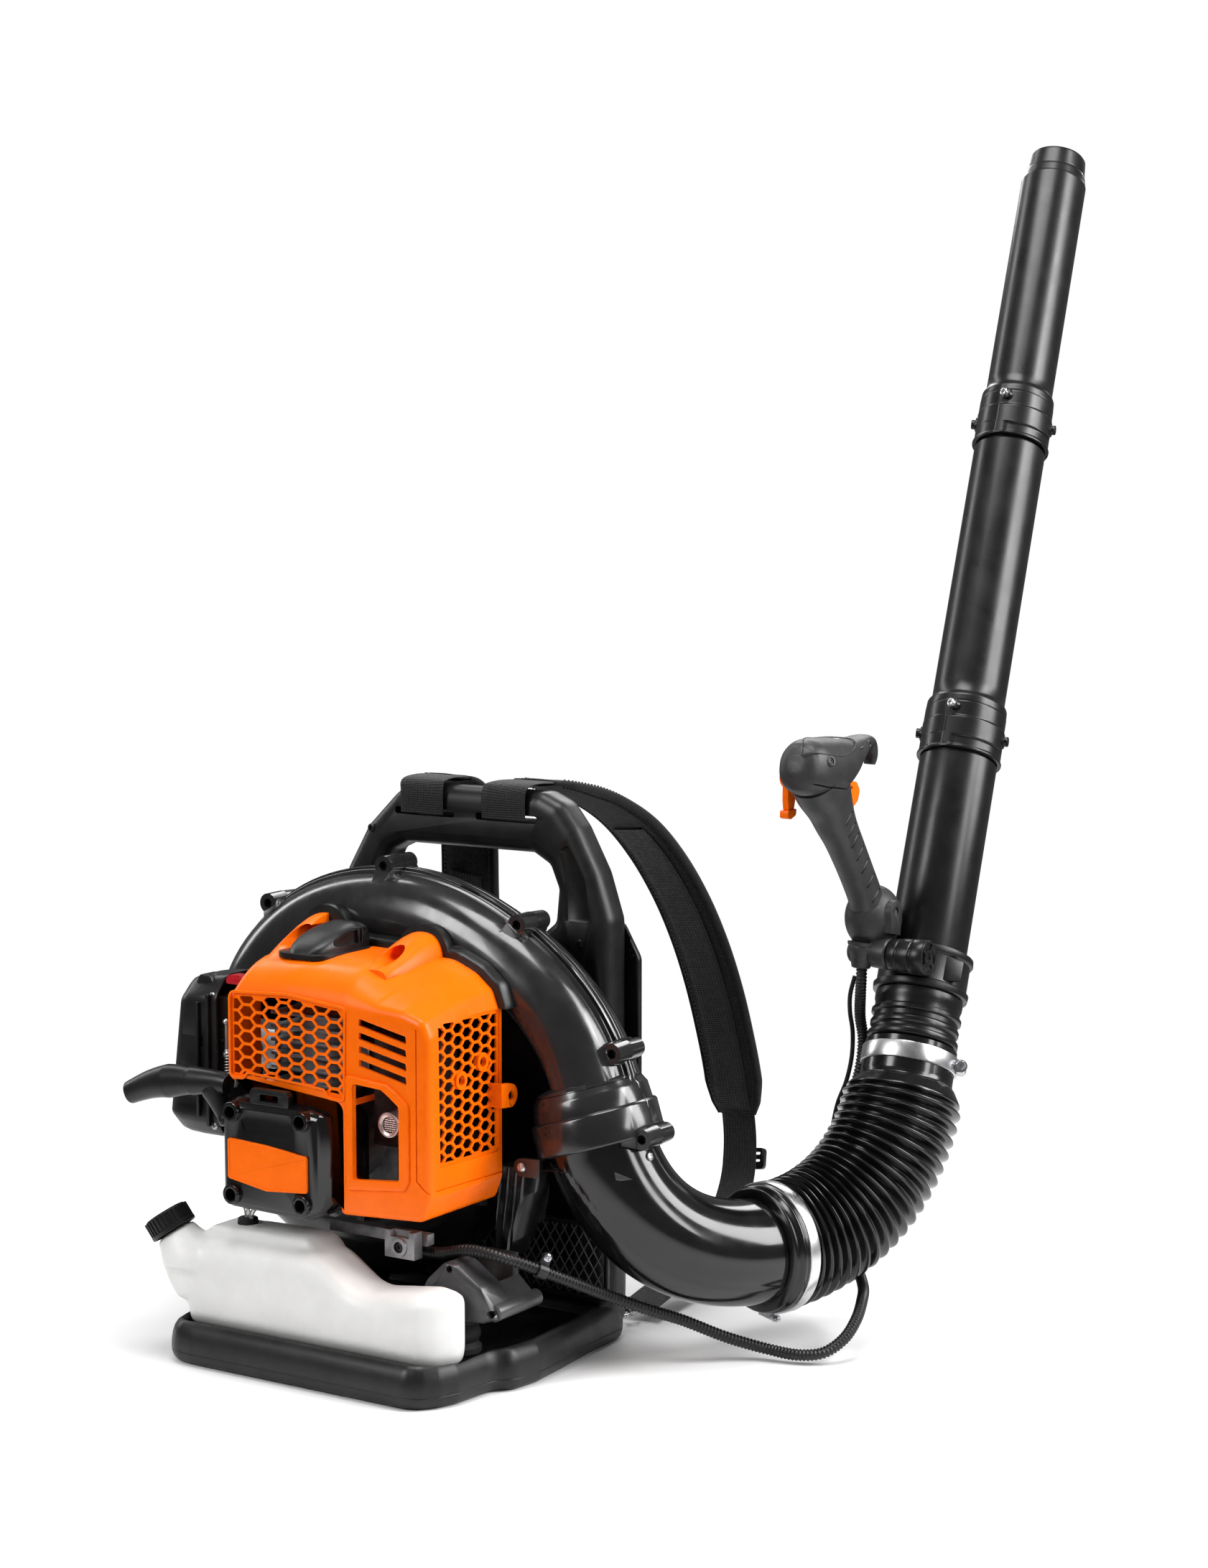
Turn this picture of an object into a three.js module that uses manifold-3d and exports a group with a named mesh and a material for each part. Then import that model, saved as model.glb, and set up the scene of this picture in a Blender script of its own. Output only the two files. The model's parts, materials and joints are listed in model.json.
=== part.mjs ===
// Backpack leaf blower: two-stroke engine and centrifugal fan on a blow-moulded backpack frame.
// Millimetres, +Z up. Origin: on the sole of the frame, under the fan and engine.
// +X is the operator's right (air outlet side), +Y points to the operator's back and the way
// the air is thrown, -Y is the engine side. "Front" means -Y and "rear" means +Y.
import * as THREE from "three";
import { mergeVertices } from "three/addons/utils/BufferGeometryUtils.js";
import Module from "manifold-3d";

const wasm = await Module();
wasm.setup();

// ---------------------------------------------------------------- driving dimensions
const GAP = 0.3; // clearance between neighbouring pieces

// Frame
const BASE_H = 38;
const POCKET_Z = 27; // floor of the pocket in the base
const ON_POCKET_Z = POCKET_Z + GAP;
const RAIL_FRONT_Y = 112;
const RAIL_REAR_Y = 148;
const STRAP_SLOT_X = { left: -38, right: 54 };

// Fan and engine
const CRANK_X = -44; // crankshaft and fan axis, parallel to Y
const CRANK_Z = 190;
const SEAM_Y = 60; // parting plane of the fan housing
const MOUNT_Y = 14.6; // face of the crankcase and support foot towards the housing
const STROKE = 30;
const BORE_R = 24.3;
const CYLINDER_Y = -20;
const PORT_Z = 270; // intake and exhaust axis, parallel to X
const CARB_X = -120;
const PLUG_BOSS_X = 6.3; // radius of the spark plug hole
const ROPE_Y = -90;
const ROPE_START = [-105.5, ROPE_Y, 203];
const ROPE_DIR = [-0.46, 0, 0.888];

// Fuel filler neck
const NECK_FOOT = [-136, -108, 84];
const NECK_DIR = [-0.55, -0.12, 0.82];
const NECK_L = 32;

// Air path
const COLLAR = [192, 60, 200];
const OUTLET_DIR = [0.29, 0, -0.957];
const COLLAR_R = 56;
const COLLAR_BORE_R = 49.2;
const ELBOW_R = 47.5;
const DUCT_WALL = 2.5;
const ELBOW_END = [288, 183, 92];
const ELBOW_END_DIR = [0.31, 0.951, 0];
const PLEATS = 19;
const PLEAT_R = 58.5;
const PLEAT_VALLEY_R = 52;

// Blowing tube: stations are distances from its foot along its axis
const TUBE_FOOT = [343, 350, 226];
const TUBE_DIR = [-0.0651, 0.4495, 0.8909];
const [CUFF_START, CUFF_END] = [-8, 29];
const [SWIVEL_START, SWIVEL_END] = [4, 78];
const [LOWER_START, LOWER_END] = [78.4, 376];
const [MIDDLE_START, MIDDLE_END] = [318, 712];
const [NOZZLE_START, NOZZLE_END] = [655, 1005];
const JOINT_L = 60; // sleeve and spigot length
const TUBE_WALL = 1.8;
const LOWER_R = 37.5;
const MIDDLE_R = 35.4;
const NOZZLE_R = 32.4;
const NOZZLE_TIP_R = 28;

// Control handle
const CLAMP_STATION = 100;
const CLAMP_R = 42.5;
const PIVOT_Y = 344.1; // tilt pivot, parallel to X
const PIVOT_Z = 341.9;
const PIVOT_R = 14;
const HANDLE_X = 303;

// ---------------------------------------------------------------- materials
const MATERIALS = {
  // non-metals, with three's default metalness of 0
  frame_black: { color: 0x151515, roughness: 0.5 },
  smoke_black: { color: 0x2b2b2d, roughness: 0.22 },
  gloss_black: { color: 0x0b0b0c, roughness: 0.12 },
  orange: { color: 0xff6a00, roughness: 0.35 },
  tube_black: { color: 0x141414, roughness: 0.33 },
  tank_white: { color: 0xe6e6e2, roughness: 0.35 },
  rubber: { color: 0x101010, roughness: 0.8 },
  grey_handle: { color: 0x2a2a2b, roughness: 0.6 },
  webbing: { color: 0x0d0d0d, roughness: 0.9 },
  mesh_pad: { color: 0x111111, roughness: 0.95 },
  red: { color: 0xb40a16, roughness: 0.35 },
  clear: { color: 0xcfd3d0, roughness: 0.15 },
  foam: { color: 0x23231f, roughness: 0.95 },
  // metals
  steel: { color: 0xb9bcc0, roughness: 0.25, metalness: 1 },
  alloy: { color: 0x8f9296, roughness: 0.45, metalness: 0.9 },
  cast: { color: 0x6e7174, roughness: 0.6, metalness: 0.7 },
  dark_steel: { color: 0x3c3a3a, roughness: 0.55, metalness: 0.8 },
};

// ---------------------------------------------------------------- vectors and lists
const vec = (x, y, z) => new THREE.Vector3(x, y, z);
const unit = (direction) => vec(...direction).normalize();
const onLine = (origin, direction, distance) =>
  vec(...origin).addScaledVector(unit(direction), distance);
const X_AXIS = vec(1, 0, 0);
const Y_AXIS = vec(0, 1, 0);
const Z_AXIS = vec(0, 0, 1);
const repeat = (count, make) => Array.from({ length: count }, (_, i) => make(i));

// ---------------------------------------------------------------- solids
function solid(geometry) {
  const flat = geometry.index ? geometry.toNonIndexed() : geometry;
  const bare = new THREE.BufferGeometry().setAttribute("position", flat.getAttribute("position"));
  const merged = mergeVertices(bare, 1e-4);
  return new wasm.Manifold(new wasm.Mesh({
    numProp: 3,
    vertProperties: merged.attributes.position.array,
    triVerts: new Uint32Array(merged.index.array),
  }));
}
function geometryOf(body) {
  const mesh = body.getMesh();
  return new THREE.BufferGeometry()
    .setAttribute("position", new THREE.BufferAttribute(mesh.vertProperties, 3))
    .setIndex(new THREE.BufferAttribute(mesh.triVerts, 1));
}
const union = (...bodies) => bodies.reduce((a, b) => a.add(b));
const minus = (body, ...cuts) => cuts.reduce((a, b) => a.subtract(b), body);
// The biggest part of a cut solid, without loose slivers.
const largest = (body) => body.decompose().sort((a, b) => b.volume() - a.volume())[0];

// A box between two corners.
function box(x0, y0, z0, x1, y1, z1) {
  const geometry = new THREE.BoxGeometry(x1 - x0, y1 - y0, z1 - z0);
  geometry.translate((x0 + x1) / 2, (y0 + y1) / 2, (z0 + z1) / 2);
  return solid(geometry);
}
// A cylinder or cone from one point to another.
function rod(start, end, radius, segments, endRadius = radius) {
  const from = vec(...start);
  const to = vec(...end);
  const span = to.clone().sub(from);
  const geometry = new THREE.CylinderGeometry(endRadius, radius, span.length(), segments);
  geometry.applyQuaternion(new THREE.Quaternion().setFromUnitVectors(Y_AXIS, span.normalize()));
  geometry.translate(...from.add(to).multiplyScalar(0.5));
  return solid(geometry);
}
// Rods parallel to an axis; the last arguments are radius, segments and end radius.
const rodX = (y, z, x0, x1, ...size) => rod([x0, y, z], [x1, y, z], ...size);
const rodY = (x, z, y0, y1, ...size) => rod([x, y0, z], [x, y1, z], ...size);
const rodZ = (x, y, z0, z1, ...size) => rod([x, y, z0], [x, y, z1], ...size);

function ball(center, radii, widthSegments, heightSegments) {
  const geometry = new THREE.SphereGeometry(1, widthSegments, heightSegments);
  geometry.scale(...radii);
  geometry.translate(...center);
  return solid(geometry);
}
// Outline extruded along Z, the bevels lying outside 0 to depth.
function extrude(outline, length, bevel) {
  const shape = new THREE.Shape(outline.map(([a, b]) => new THREE.Vector2(a, b)));
  return new THREE.ExtrudeGeometry(shape, {
    depth: length - 2 * bevel,
    bevelEnabled: bevel > 0,
    bevelThickness: bevel,
    bevelSize: bevel,
    bevelOffset: -bevel,
    bevelSegments: 1,
  });
}
// Outline in X,Y raised along Z.
function plateZ(outline, z0, z1, bevel = 0) {
  const geometry = extrude(outline, z1 - z0, bevel);
  geometry.translate(0, 0, z0 + bevel);
  return solid(geometry);
}
// Outline in X,Z carried along Y.
function plateY(outline, y0, y1, bevel = 0) {
  const geometry = extrude(outline, y1 - y0, bevel);
  geometry.rotateX(Math.PI / 2);
  geometry.translate(0, y1 - bevel, 0);
  return solid(geometry);
}
// Outline in Y,Z carried along X.
function plateX(outline, x0, x1, bevel = 0) {
  const geometry = extrude(outline, x1 - x0, bevel);
  geometry.applyMatrix4(new THREE.Matrix4().set(0, 0, 1, 0, 1, 0, 0, 0, 0, 1, 0, 0, 0, 0, 0, 1));
  geometry.translate(x0 + bevel, 0, 0);
  return solid(geometry);
}
// Parallel inner outline of a roughly convex polygon, given anticlockwise.
function shrink(outline, distance) {
  const count = outline.length;
  const edge = (from, to) => new THREE.Vector2(to[0] - from[0], to[1] - from[1]).normalize();
  return outline.map((point, i) => {
    const before = edge(outline[(i + count - 1) % count], point);
    const after = edge(point, outline[(i + 1) % count]);
    const miter = new THREE.Vector2(-before.y - after.y, before.x + after.x).normalize();
    const reach = distance / Math.max(0.5, miter.dot(new THREE.Vector2(-before.y, before.x)));
    return [point[0] + miter.x * reach, point[1] + miter.y * reach];
  });
}
// Skin over a stack of rings with the same number of points, closed with a fan at each end.
function loft(rings) {
  const count = rings[0].length;
  const points = rings.flat();
  const faces = [];
  for (let k = 0; k + 1 < rings.length; k++)
    for (let i = 0; i < count; i++) {
      const a = k * count + i;
      const b = k * count + ((i + 1) % count);
      faces.push([a, b, b + count], [a, b + count, a + count]);
    }
  const closeEnd = (k, flip) => {
    const sum = rings[k].reduce((total, point) => total.add(point), vec(0, 0, 0));
    const hub = points.push(sum.multiplyScalar(1 / count)) - 1;
    for (let i = 0; i < count; i++) {
      const a = k * count + i;
      const b = k * count + ((i + 1) % count);
      faces.push(flip ? [hub, b, a] : [hub, a, b]);
    }
  };
  closeEnd(0, true);
  closeEnd(rings.length - 1, false);
  // A negative volume means the skin is inside out.
  const volume = faces.reduce(
    (sum, [a, b, c]) => sum + points[a].dot(points[b].clone().cross(points[c])), 0);
  if (volume < 0) faces.forEach((face) => face.reverse());
  return solid(new THREE.BufferGeometry().setFromPoints(points).setIndex(faces.flat()));
}
// An ellipse of points, or a circle when one radius is given.
const ring = (center, axisA, axisB, count, radiusA, radiusB = radiusA) => repeat(count, (i) => {
  const angle = (2 * Math.PI * i) / count;
  return center.clone()
    .addScaledVector(axisA, radiusA * Math.cos(angle))
    .addScaledVector(axisB, radiusB * Math.sin(angle));
});
function circle(center, direction, radius, count) {
  const normal = unit(direction);
  const across = (Math.abs(normal.x) < 0.9 ? X_AXIS : Y_AXIS).clone();
  across.projectOnPlane(normal).normalize();
  return ring(center, across, normal.clone().cross(across), count, radius);
}
// A round body along a curve; radiusAt(step, t) gives its radius. grow lengthens both ends.
function sweep(curve, radiusAt, steps, segments, grow = 0) {
  const { tangents, normals, binormals } = curve.computeFrenetFrames(steps, false);
  const rings = [];
  const addRing = (k, shift) => {
    const center = curve.getPointAt(k / steps).addScaledVector(tangents[k], shift);
    rings.push(ring(center, normals[k], binormals[k], segments, radiusAt(k, k / steps)));
  };
  if (grow) addRing(0, -grow);
  for (let k = 0; k <= steps; k++) addRing(k, 0);
  if (grow) addRing(steps, grow);
  return loft(rings);
}
const spline = (points) => new THREE.CatmullRomCurve3(points.map((point) => vec(...point)));
// A turned body on the blowing tube's axis: profile is [station, radius] pairs.
const turned = (profile, segments) => loft(profile.map(
  ([station, radius]) => circle(onLine(TUBE_FOOT, TUBE_DIR, station), TUBE_DIR, radius, segments)));
function pipe(profile, wall, segments) {
  const inner = profile.map(([station, radius]) => [station, radius - wall]);
  inner[0][0] -= 1;
  inner[inner.length - 1][0] += 1;
  return minus(turned(profile, segments), turned(inner, segments));
}
// Flat strap along centre points, its width across X.
const strap = (points, halfWidth, thicknessAt) => loft(points.map((point, i) => {
  const before = vec(...points[Math.max(0, i - 1)]);
  const tangent = vec(...points[Math.min(points.length - 1, i + 1)]).sub(before).normalize();
  const side = X_AXIS.clone().projectOnPlane(tangent).setLength(halfWidth);
  const lift = tangent.clone().cross(side).normalize().multiplyScalar(thicknessAt(i) / 2);
  const corner = (a, b) => vec(...point).addScaledVector(side, a).addScaledVector(lift, b);
  return [corner(1, 1), corner(-1, 1), corner(-1, -1), corner(1, -1)];
}));

const group = new THREE.Group();
function piece(name, material, build) {
  const surface = new THREE.MeshStandardMaterial(MATERIALS[material]);
  const mesh = new THREE.Mesh(geometryOf(build()), surface);
  mesh.name = name;
  group.add(mesh);
}

// ---------------------------------------------------------------- backpack frame
// [x, y]
const BASE_OUTLINE = [
  [-112, -144], [124, -144], [138, -138], [149, -122], [155, -105], [160, -59], [173, -48],
  [178, -14], [175, 30], [170, 80], [166, 148], [-150, 148], [-150, 30], [-150, -110],
  [-144, -132], [-130, -142],
];
const BASE_POCKET = [
  [-130, -132], [126, -132], [142, -122], [152, -98], [154, -58], [162, -44], [166, -12],
  [162, 60], [154, 108], [-142, 108], [-142, -112],
];
// [x, z]
const RAIL_OUTLINE = [
  [165, 20], [166, 80], [164, 200], [164, 388], [150, 430], [128, 470], [111, 491], [90, 500],
  [-50, 500], [-74, 492], [-108, 459], [-132, 418], [-148, 380], [-150, 200], [-150, 20],
];
const RAIL_RECESS = [[-112, 70], [-112, 340], [-96, 356], [112, 356], [128, 340], [128, 70]];
const RAIL_OPENING = [
  [-62, 444], [-80, 436], [-90, 415], [-88, 385], [-74, 370], [88, 370], [104, 383],
  [107, 413], [98, 434], [80, 444],
];
const HARNESS_PLATE = [
  [-160, 70], [-160, 350], [-140, 388], [-110, 352], [126, 352], [155, 388], [176, 352],
  [176, 70], [150, 50], [-134, 50],
];
const BACK_PAD = [
  [-110, 90], [-118, 110], [-118, 320], [-104, 344], [120, 344], [134, 320], [134, 110], [126, 90],
];

piece("backpack_frame", "frame_black", () => {
  const slot = (x) => box(x - 34, RAIL_FRONT_Y - 5, 467, x + 34, RAIL_REAR_Y + 5, 478);
  return minus(
    union(plateZ(BASE_OUTLINE, 0, BASE_H, 6), plateY(RAIL_OUTLINE, RAIL_FRONT_Y, RAIL_REAR_Y, 6)),
    plateZ(BASE_POCKET, POCKET_Z, BASE_H + 5),
    plateY(RAIL_RECESS, RAIL_FRONT_Y - 5, 138),
    plateY(RAIL_OPENING, RAIL_FRONT_Y - 5, RAIL_REAR_Y + 5),
    slot(STRAP_SLOT_X.left),
    slot(STRAP_SLOT_X.right),
  );
});
piece("harness_plate", "frame_black",
  () => plateY(HARNESS_PLATE, RAIL_REAR_Y + GAP, RAIL_REAR_Y + 4.5));
piece("back_pad", "mesh_pad", () => plateY(BACK_PAD, RAIL_REAR_Y + 5, RAIL_REAR_Y + 31, 8));

// Lattice guard between frame and fan housing.
piece("intake_net", "frame_black", () => {
  const bar = (bottomX, topX) =>
    plateY([[bottomX, 45], [topX, 108], [topX + 3, 108], [bottomX + 3, 45]], 107, 110);
  const rim = minus(box(-118, 106.2, 41, 168, 110.8, 112), box(-112, 100, 47, 162, 115, 106));
  const bars = repeat(6, (i) => {
    const left = -110 + i * 46;
    return [bar(left, left + 31), bar(left + 31, left)];
  }).flat();
  return union(rim, ...bars).intersect(box(-118, 100, 41, 168, 115, 112));
});

// ---------------------------------------------------------------- harness
// Paths are [x, y, z] centre lines; buckle is the middle of its front face.
// The right strap runs through its slot, over the bar, out behind the back pad and down.
// The left strap hangs slack, close behind the back pad. The frame's middle plane is X = 8.
const HARNESS = [
  {
    side: "right",
    upper: [
      [STRAP_SLOT_X.right, 108.3, 474], [STRAP_SLOT_X.right, 108.3, 497], [55, 112, 504],
      [57, 148, 505.5], [62, 192, 497], [68, 240, 482], [75, 288, 456], [82, 327, 420],
      [89, 361, 375], [95, 386, 329], [101, 403, 283], [107, 414, 237], [112, 422, 193],
      [115, 427, 151],
    ],
    lower: [
      [116, 428, 147], [119, 426, 119], [123, 414, 88], [129, 382, 58], [135, 338, 39],
      [141, 285, 27], [146, 228, 20], [149, 194, 16],
    ],
    buckle: [121, 430, 104.5],
    hook: [150, 181, 14],
  },
  {
    side: "left",
    upper: [
      [STRAP_SLOT_X.left, 108.3, 474], [STRAP_SLOT_X.left, 108.3, 497], [-39, 112, 504],
      [-41, 148, 505.5], [-44, 172, 497], [-47, 192, 472], [-52, 203, 436], [-59, 214, 392],
      [-67, 228, 345], [-76, 243, 298], [-85, 254, 250], [-92, 258, 204], [-97, 252, 158],
      [-99, 246, 138],
    ],
    lower: [
      [-99.5, 244, 134], [-101, 236, 108], [-104, 226, 84], [-108, 217, 64], [-113, 209, 48],
      [-119, 204, 38], [-124, 200, 32], [-128, 196, 26],
    ],
    buckle: [-101.5, 250, 112],
    hook: [-131, 183, 22],
  },
];
// Thin through the slot and over the bar, padded below.
const strapThickness = (i) => (i < 4 ? 2.6 : i < 6 ? 6 : 11);

function ladderBuckle([x, y, z]) {
  return minus(
    box(x - 24, y, z - 12, x + 24, y + 3.5, z + 12),
    box(x - 20, y - 10, z - 9, x + 20, y + 10, z - 1.5),
    box(x - 20, y - 10, z + 1.5, x + 20, y + 10, z + 9),
  );
}
function snapHook([x, y, z]) {
  return union(
    minus(rodX(y, z, x - 3, x + 3, 11.5, 20), rodX(y, z, x - 5, x + 5, 8, 20)),
    rod([x, y - 10, z - 1], [x, y - 26, z - 3], 3.2, 10),
  );
}
for (const { side, upper, lower, buckle, hook } of HARNESS) {
  piece(side + "_shoulder_strap", "mesh_pad", () => strap(upper, 30, strapThickness));
  piece(side + "_lower_webbing", "webbing", () => strap(lower, 19, () => 2.2));
  piece(side + "_ladder_buckle", "gloss_black", () => ladderBuckle(buckle));
  piece(side + "_snap_hook", "steel", () => snapHook(hook));
}

// ---------------------------------------------------------------- fan housing
// Scroll wall: [angle in degrees, distance from the fan axis].
const SPIRAL = [
  [352, 145], [331, 143.5], [310, 141.5], [290, 140.5], [270, 141], [250, 144], [235, 149],
  [220, 157], [205, 168], [190, 181], [175, 194], [160, 207], [147, 218], [134, 228],
  [114.5, 235.5], [89, 240.5], [68.5, 248], [54.7, 254], [38.6, 266], [24.6, 277], [8, 281],
];
// Outlet end: place in X,Z and the inward direction in which insets move it.
const OUTLET_WALL = [
  { place: [243, 212], inward: [-0.97, -0.05] },
  { place: [234, 206], inward: [-0.95, 0] },
  { place: [152, 182], inward: [0.95, 0] },
  { place: [140, 184], inward: [0.95, -0.05] },
];
// Rings of [inset, distance from the seam].
const HOUSING_OUTER = [
  [0, GAP / 2], [0.5, 6], [4.5, 6.5], [6, 15], [12, 29], [23, 39.5], [38, 44.6],
];
const HOUSING_INNER = [[3.2, -1], [8.5, 14], [15, 27], [27, 37], [41, 41.4]];
// [x, z]
const HOUSING_BOSSES = [[-166, 388], [-31, 433], [116, 391], [216, 286], [247, 214], [82, 120]];

const housingWall = SPIRAL.map(([degrees, distance]) => {
  const angle = (degrees * Math.PI) / 180;
  const [x, z] = [Math.cos(angle), Math.sin(angle)];
  return { place: [CRANK_X + distance * x, CRANK_Z + distance * z], inward: [-x, -z] };
}).concat(OUTLET_WALL);
// lift raises the points of the outlet end.
const housingRing = (inset, y, lift) => housingWall.map(({ place, inward }, i) => vec(
  place[0] + inward[0] * inset,
  y,
  place[1] + inward[1] * inset + (i >= SPIRAL.length ? lift : 0),
));
const crankRod = (y0, y1, radius, segments) =>
  rodY(CRANK_X, CRANK_Z, y0, y1, radius, segments);
const onCollar = (distance) => onLine(COLLAR, OUTLET_DIR, distance);

// One half of the housing; side is -1 towards the front, 1 towards the rear.
function housingHalf(side) {
  const fromSeam = (distance) => SEAM_Y + side * distance;
  const skin = (table, lift) =>
    loft(table.map(([inset, distance]) => housingRing(inset, fromSeam(distance), lift)));
  const [y0, y1] = [fromSeam(GAP / 2), fromSeam(80)];
  const collar = rod(onCollar(-24), onCollar(0), COLLAR_R, 22)
    .intersect(box(0, Math.min(y0, y1), 0, 400, Math.max(y0, y1), 400));
  const shell = minus(skin(HOUSING_OUTER, 0).add(collar), skin(HOUSING_INNER, 4));
  const bosses = HOUSING_BOSSES.map(([x, z]) => rodY(x, z, y0, fromSeam(15), 7.5, 8));
  return largest(minus(
    union(shell, ...bosses),
    rod(onCollar(-60), onCollar(14), COLLAR_BORE_R, 20),
  ));
}
piece("fan_housing_front", "smoke_black", () => minus(housingHalf(-1), crankRod(0, 40, 16, 20)));
piece("fan_housing_rear", "smoke_black", () => minus(housingHalf(1), crankRod(90, 112, 78, 36)));

// Disc, hub and twelve slanted blades.
piece("fan_impeller", "alloy", () => {
  const blades = repeat(12, (i) => {
    const blade = new THREE.BoxGeometry(48, 40, 3);
    blade.rotateY(0.45);
    blade.translate(92, 62, 0);
    blade.rotateY((i * Math.PI) / 6);
    blade.translate(CRANK_X, 0, CRANK_Z);
    return solid(blade);
  });
  const body = union(crankRod(40, 43, 118, 32), crankRod(38, 70, 18, 16), ...blades);
  return minus(body, crankRod(30, 100, 8.3, 16));
});

// ---------------------------------------------------------------- supports
// [x, z]
const FOOT_OUTLINE = [[76, 60], [150, 60], [166, 66], [150, 92], [124, 109], [110, 109], [92, 92]];

piece("support_foot", "smoke_black", () => minus(
  union(
    plateY(FOOT_OUTLINE, -66, -36, 3),
    plateZ([[92, -66], [138, -66], [138, MOUNT_Y], [92, MOUNT_Y]], 60, 66),
    box(96, 6, 62, 134, MOUNT_Y, 104),
  ),
  rodZ(115, -51, 50, 62.5, 4, 12),
));
piece("rubber_mount_right", "rubber",
  () => union(rodZ(115, -51, ON_POCKET_Z, 59.7, 21, 24), rodZ(115, -51, 59, 62, 3.5, 12)));
piece("rubber_mount_left", "rubber",
  () => minus(rodZ(-60, 54, ON_POCKET_Z, 48.3, 18, 20), rodZ(-60, 54, 36, 50, 4, 10)));

// ---------------------------------------------------------------- engine
const boreRod = (z0, z1, ...size) => rodZ(CRANK_X, CYLINDER_Y, z0, z1, ...size);
const portRod = (x0, x1, radius, segments) =>
  rodX(CYLINDER_Y, PORT_Z, x0, x1, radius, segments);

piece("crankcase", "cast", () => minus(
  union(
    crankRod(-46, MOUNT_Y, 40, 28),
    box(CRANK_X - 52, 6, 140, CRANK_X + 52, MOUNT_Y, 231),
    box(CRANK_X - 36, -44, 190, CRANK_X + 36, 4, 232),
    // bracket arm below, reaching to +X
    box(-20, -58, 118, 88, -48, 128),
    box(-20, -58, 118, 2, -36, 128),
    box(-20, -45, 118, 2, -36, 172),
  ),
  crankRod(-38, 4, 34, 28),
  crankRod(-60, 40, 8.4, 16),
  boreRod(CRANK_Z, 250, BORE_R, 24),
));
piece("cylinder", "cast", () => minus(
  union(
    boreRod(232.3, 306, 30, 20),
    boreRod(306, 322, 30, 20, 20),
    ...repeat(6, (i) =>
      box(CRANK_X - 44, -54, 244 + i * 12.4, CRANK_X + 44, 12, 247 + i * 12.4)),
    box(CRANK_X + 20, -32, 254, CRANK_X + 50, -8, 284),
    box(CRANK_X - 50, -34, 250, CRANK_X - 20, -6, 286),
  ),
  boreRod(225, 304, BORE_R, 24),
  boreRod(300, 340, PLUG_BOSS_X, 12),
  portRod(CRANK_X, CRANK_X + 60, 8, 12),
  portRod(CRANK_X - 60, CRANK_X, 8, 12),
));
piece("piston", "alloy",
  () => minus(boreRod(248, 293, BORE_R - GAP, 24), boreRod(240, 288, 21.6, 24)));

// Crankshaft at top dead centre: two webs, an offset pin, and a journal each way.
const PIN_Z = CRANK_Z + STROKE / 2;
const WRIST_Z = 250; // small end of the connecting rod
piece("crankshaft", "dark_steel", () => union(
  crankRod(-96, -28, 8, 16),
  crankRod(-12, 76, 8, 16),
  crankRod(-33, -26.4, 31, 24),
  crankRod(-13.6, -7, 31, 24),
  rodY(CRANK_X, PIN_Z, -27, -13, 6, 14),
));
piece("connecting_rod", "dark_steel", () => minus(
  union(
    rodY(CRANK_X, PIN_Z, -25.5, -14.5, 10, 18),
    box(CRANK_X - 4, -24, PIN_Z + 7, CRANK_X + 4, -16, WRIST_Z),
    rodY(CRANK_X, WRIST_Z, -24, -16, 5.5, 14),
  ),
  rodY(CRANK_X, PIN_Z, -30, -10, 6.3, 14),
  rodY(CRANK_X, WRIST_Z, -30, -10, 2.5, 10),
));
piece("flywheel", "alloy", () => minus(crankRod(-64, -47, 41, 28), crankRod(-70, -40, 8.3, 16)));
piece("starter_reel", "gloss_black", () => minus(
  crankRod(-92, -78, 33, 20),
  crankRod(-99, -60, 8.3, 16),
  minus(crankRod(-88.5, -81.5, 40, 20), crankRod(-89, -81, 26, 20)), // rope groove
));

// [x, z]
const STARTER_OUTLINE = [
  [-98, 150], [-90, 140], [-6, 138], [10, 146], [20, 160], [20, 228], [8, 236], [-8, 239.5],
  [-86, 239.5], [-98, 232],
];
const STARTER_BOSSES = [[-83, 228], [-5, 228], [-83, 154], [-5, 154]];
const NAME_PLATE = [[-88, 168], [-44, 161], [2, 165], [2, 198], [-44, 203], [-88, 205]];
// Crossbar of the pull grip: [x, z, radius in y, radius in z].
const GRIP_BAR = [
  [-222, 226, 7, 6], [-217, 228, 11, 9], [-200, 236, 12, 10], [-170, 243, 12, 10],
  [-140, 246, 13, 11], [-118, 247, 13, 11], [-108, 246, 8, 7],
];

// Recoil starter cover: a box open to the rear, with four tubular screw bosses on its face.
piece("starter_cover", "gloss_black", () => {
  const shell = minus(
    plateY(STARTER_OUTLINE, -114, -56, 4),
    plateY(shrink(STARTER_OUTLINE, 3), -110.5, -40),
  );
  const bossed = minus(
    union(shell, ...STARTER_BOSSES.map(([x, z]) => rodY(x, z, -118, -108, 9, 12))),
    ...STARTER_BOSSES.map(([x, z]) => rodY(x, z, -121, -106, 4.6, 8)),
  );
  const ropeGuide = minus(
    rod([-108, ROPE_Y, 204], [-94, ROPE_Y, 198], 8, 14),
    rod([-112, ROPE_Y, 205.7], [-90, ROPE_Y, 196.3], 3.4, 10),
  );
  const topLoop = minus(box(-66, -112, 236, -22, -104, 251), box(-58, -116, 243.5, -30, -100, 248));
  return minus(
    union(bossed, ropeGuide, topLoop),
    crankRod(-112, -109, 8.4, 16),
    box(-101, ROPE_Y - 3.4, 194, -92, ROPE_Y + 3.4, 206),
  );
});
piece("name_plate", "orange", () => plateY(NAME_PLATE, -116, -114.3));
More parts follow.
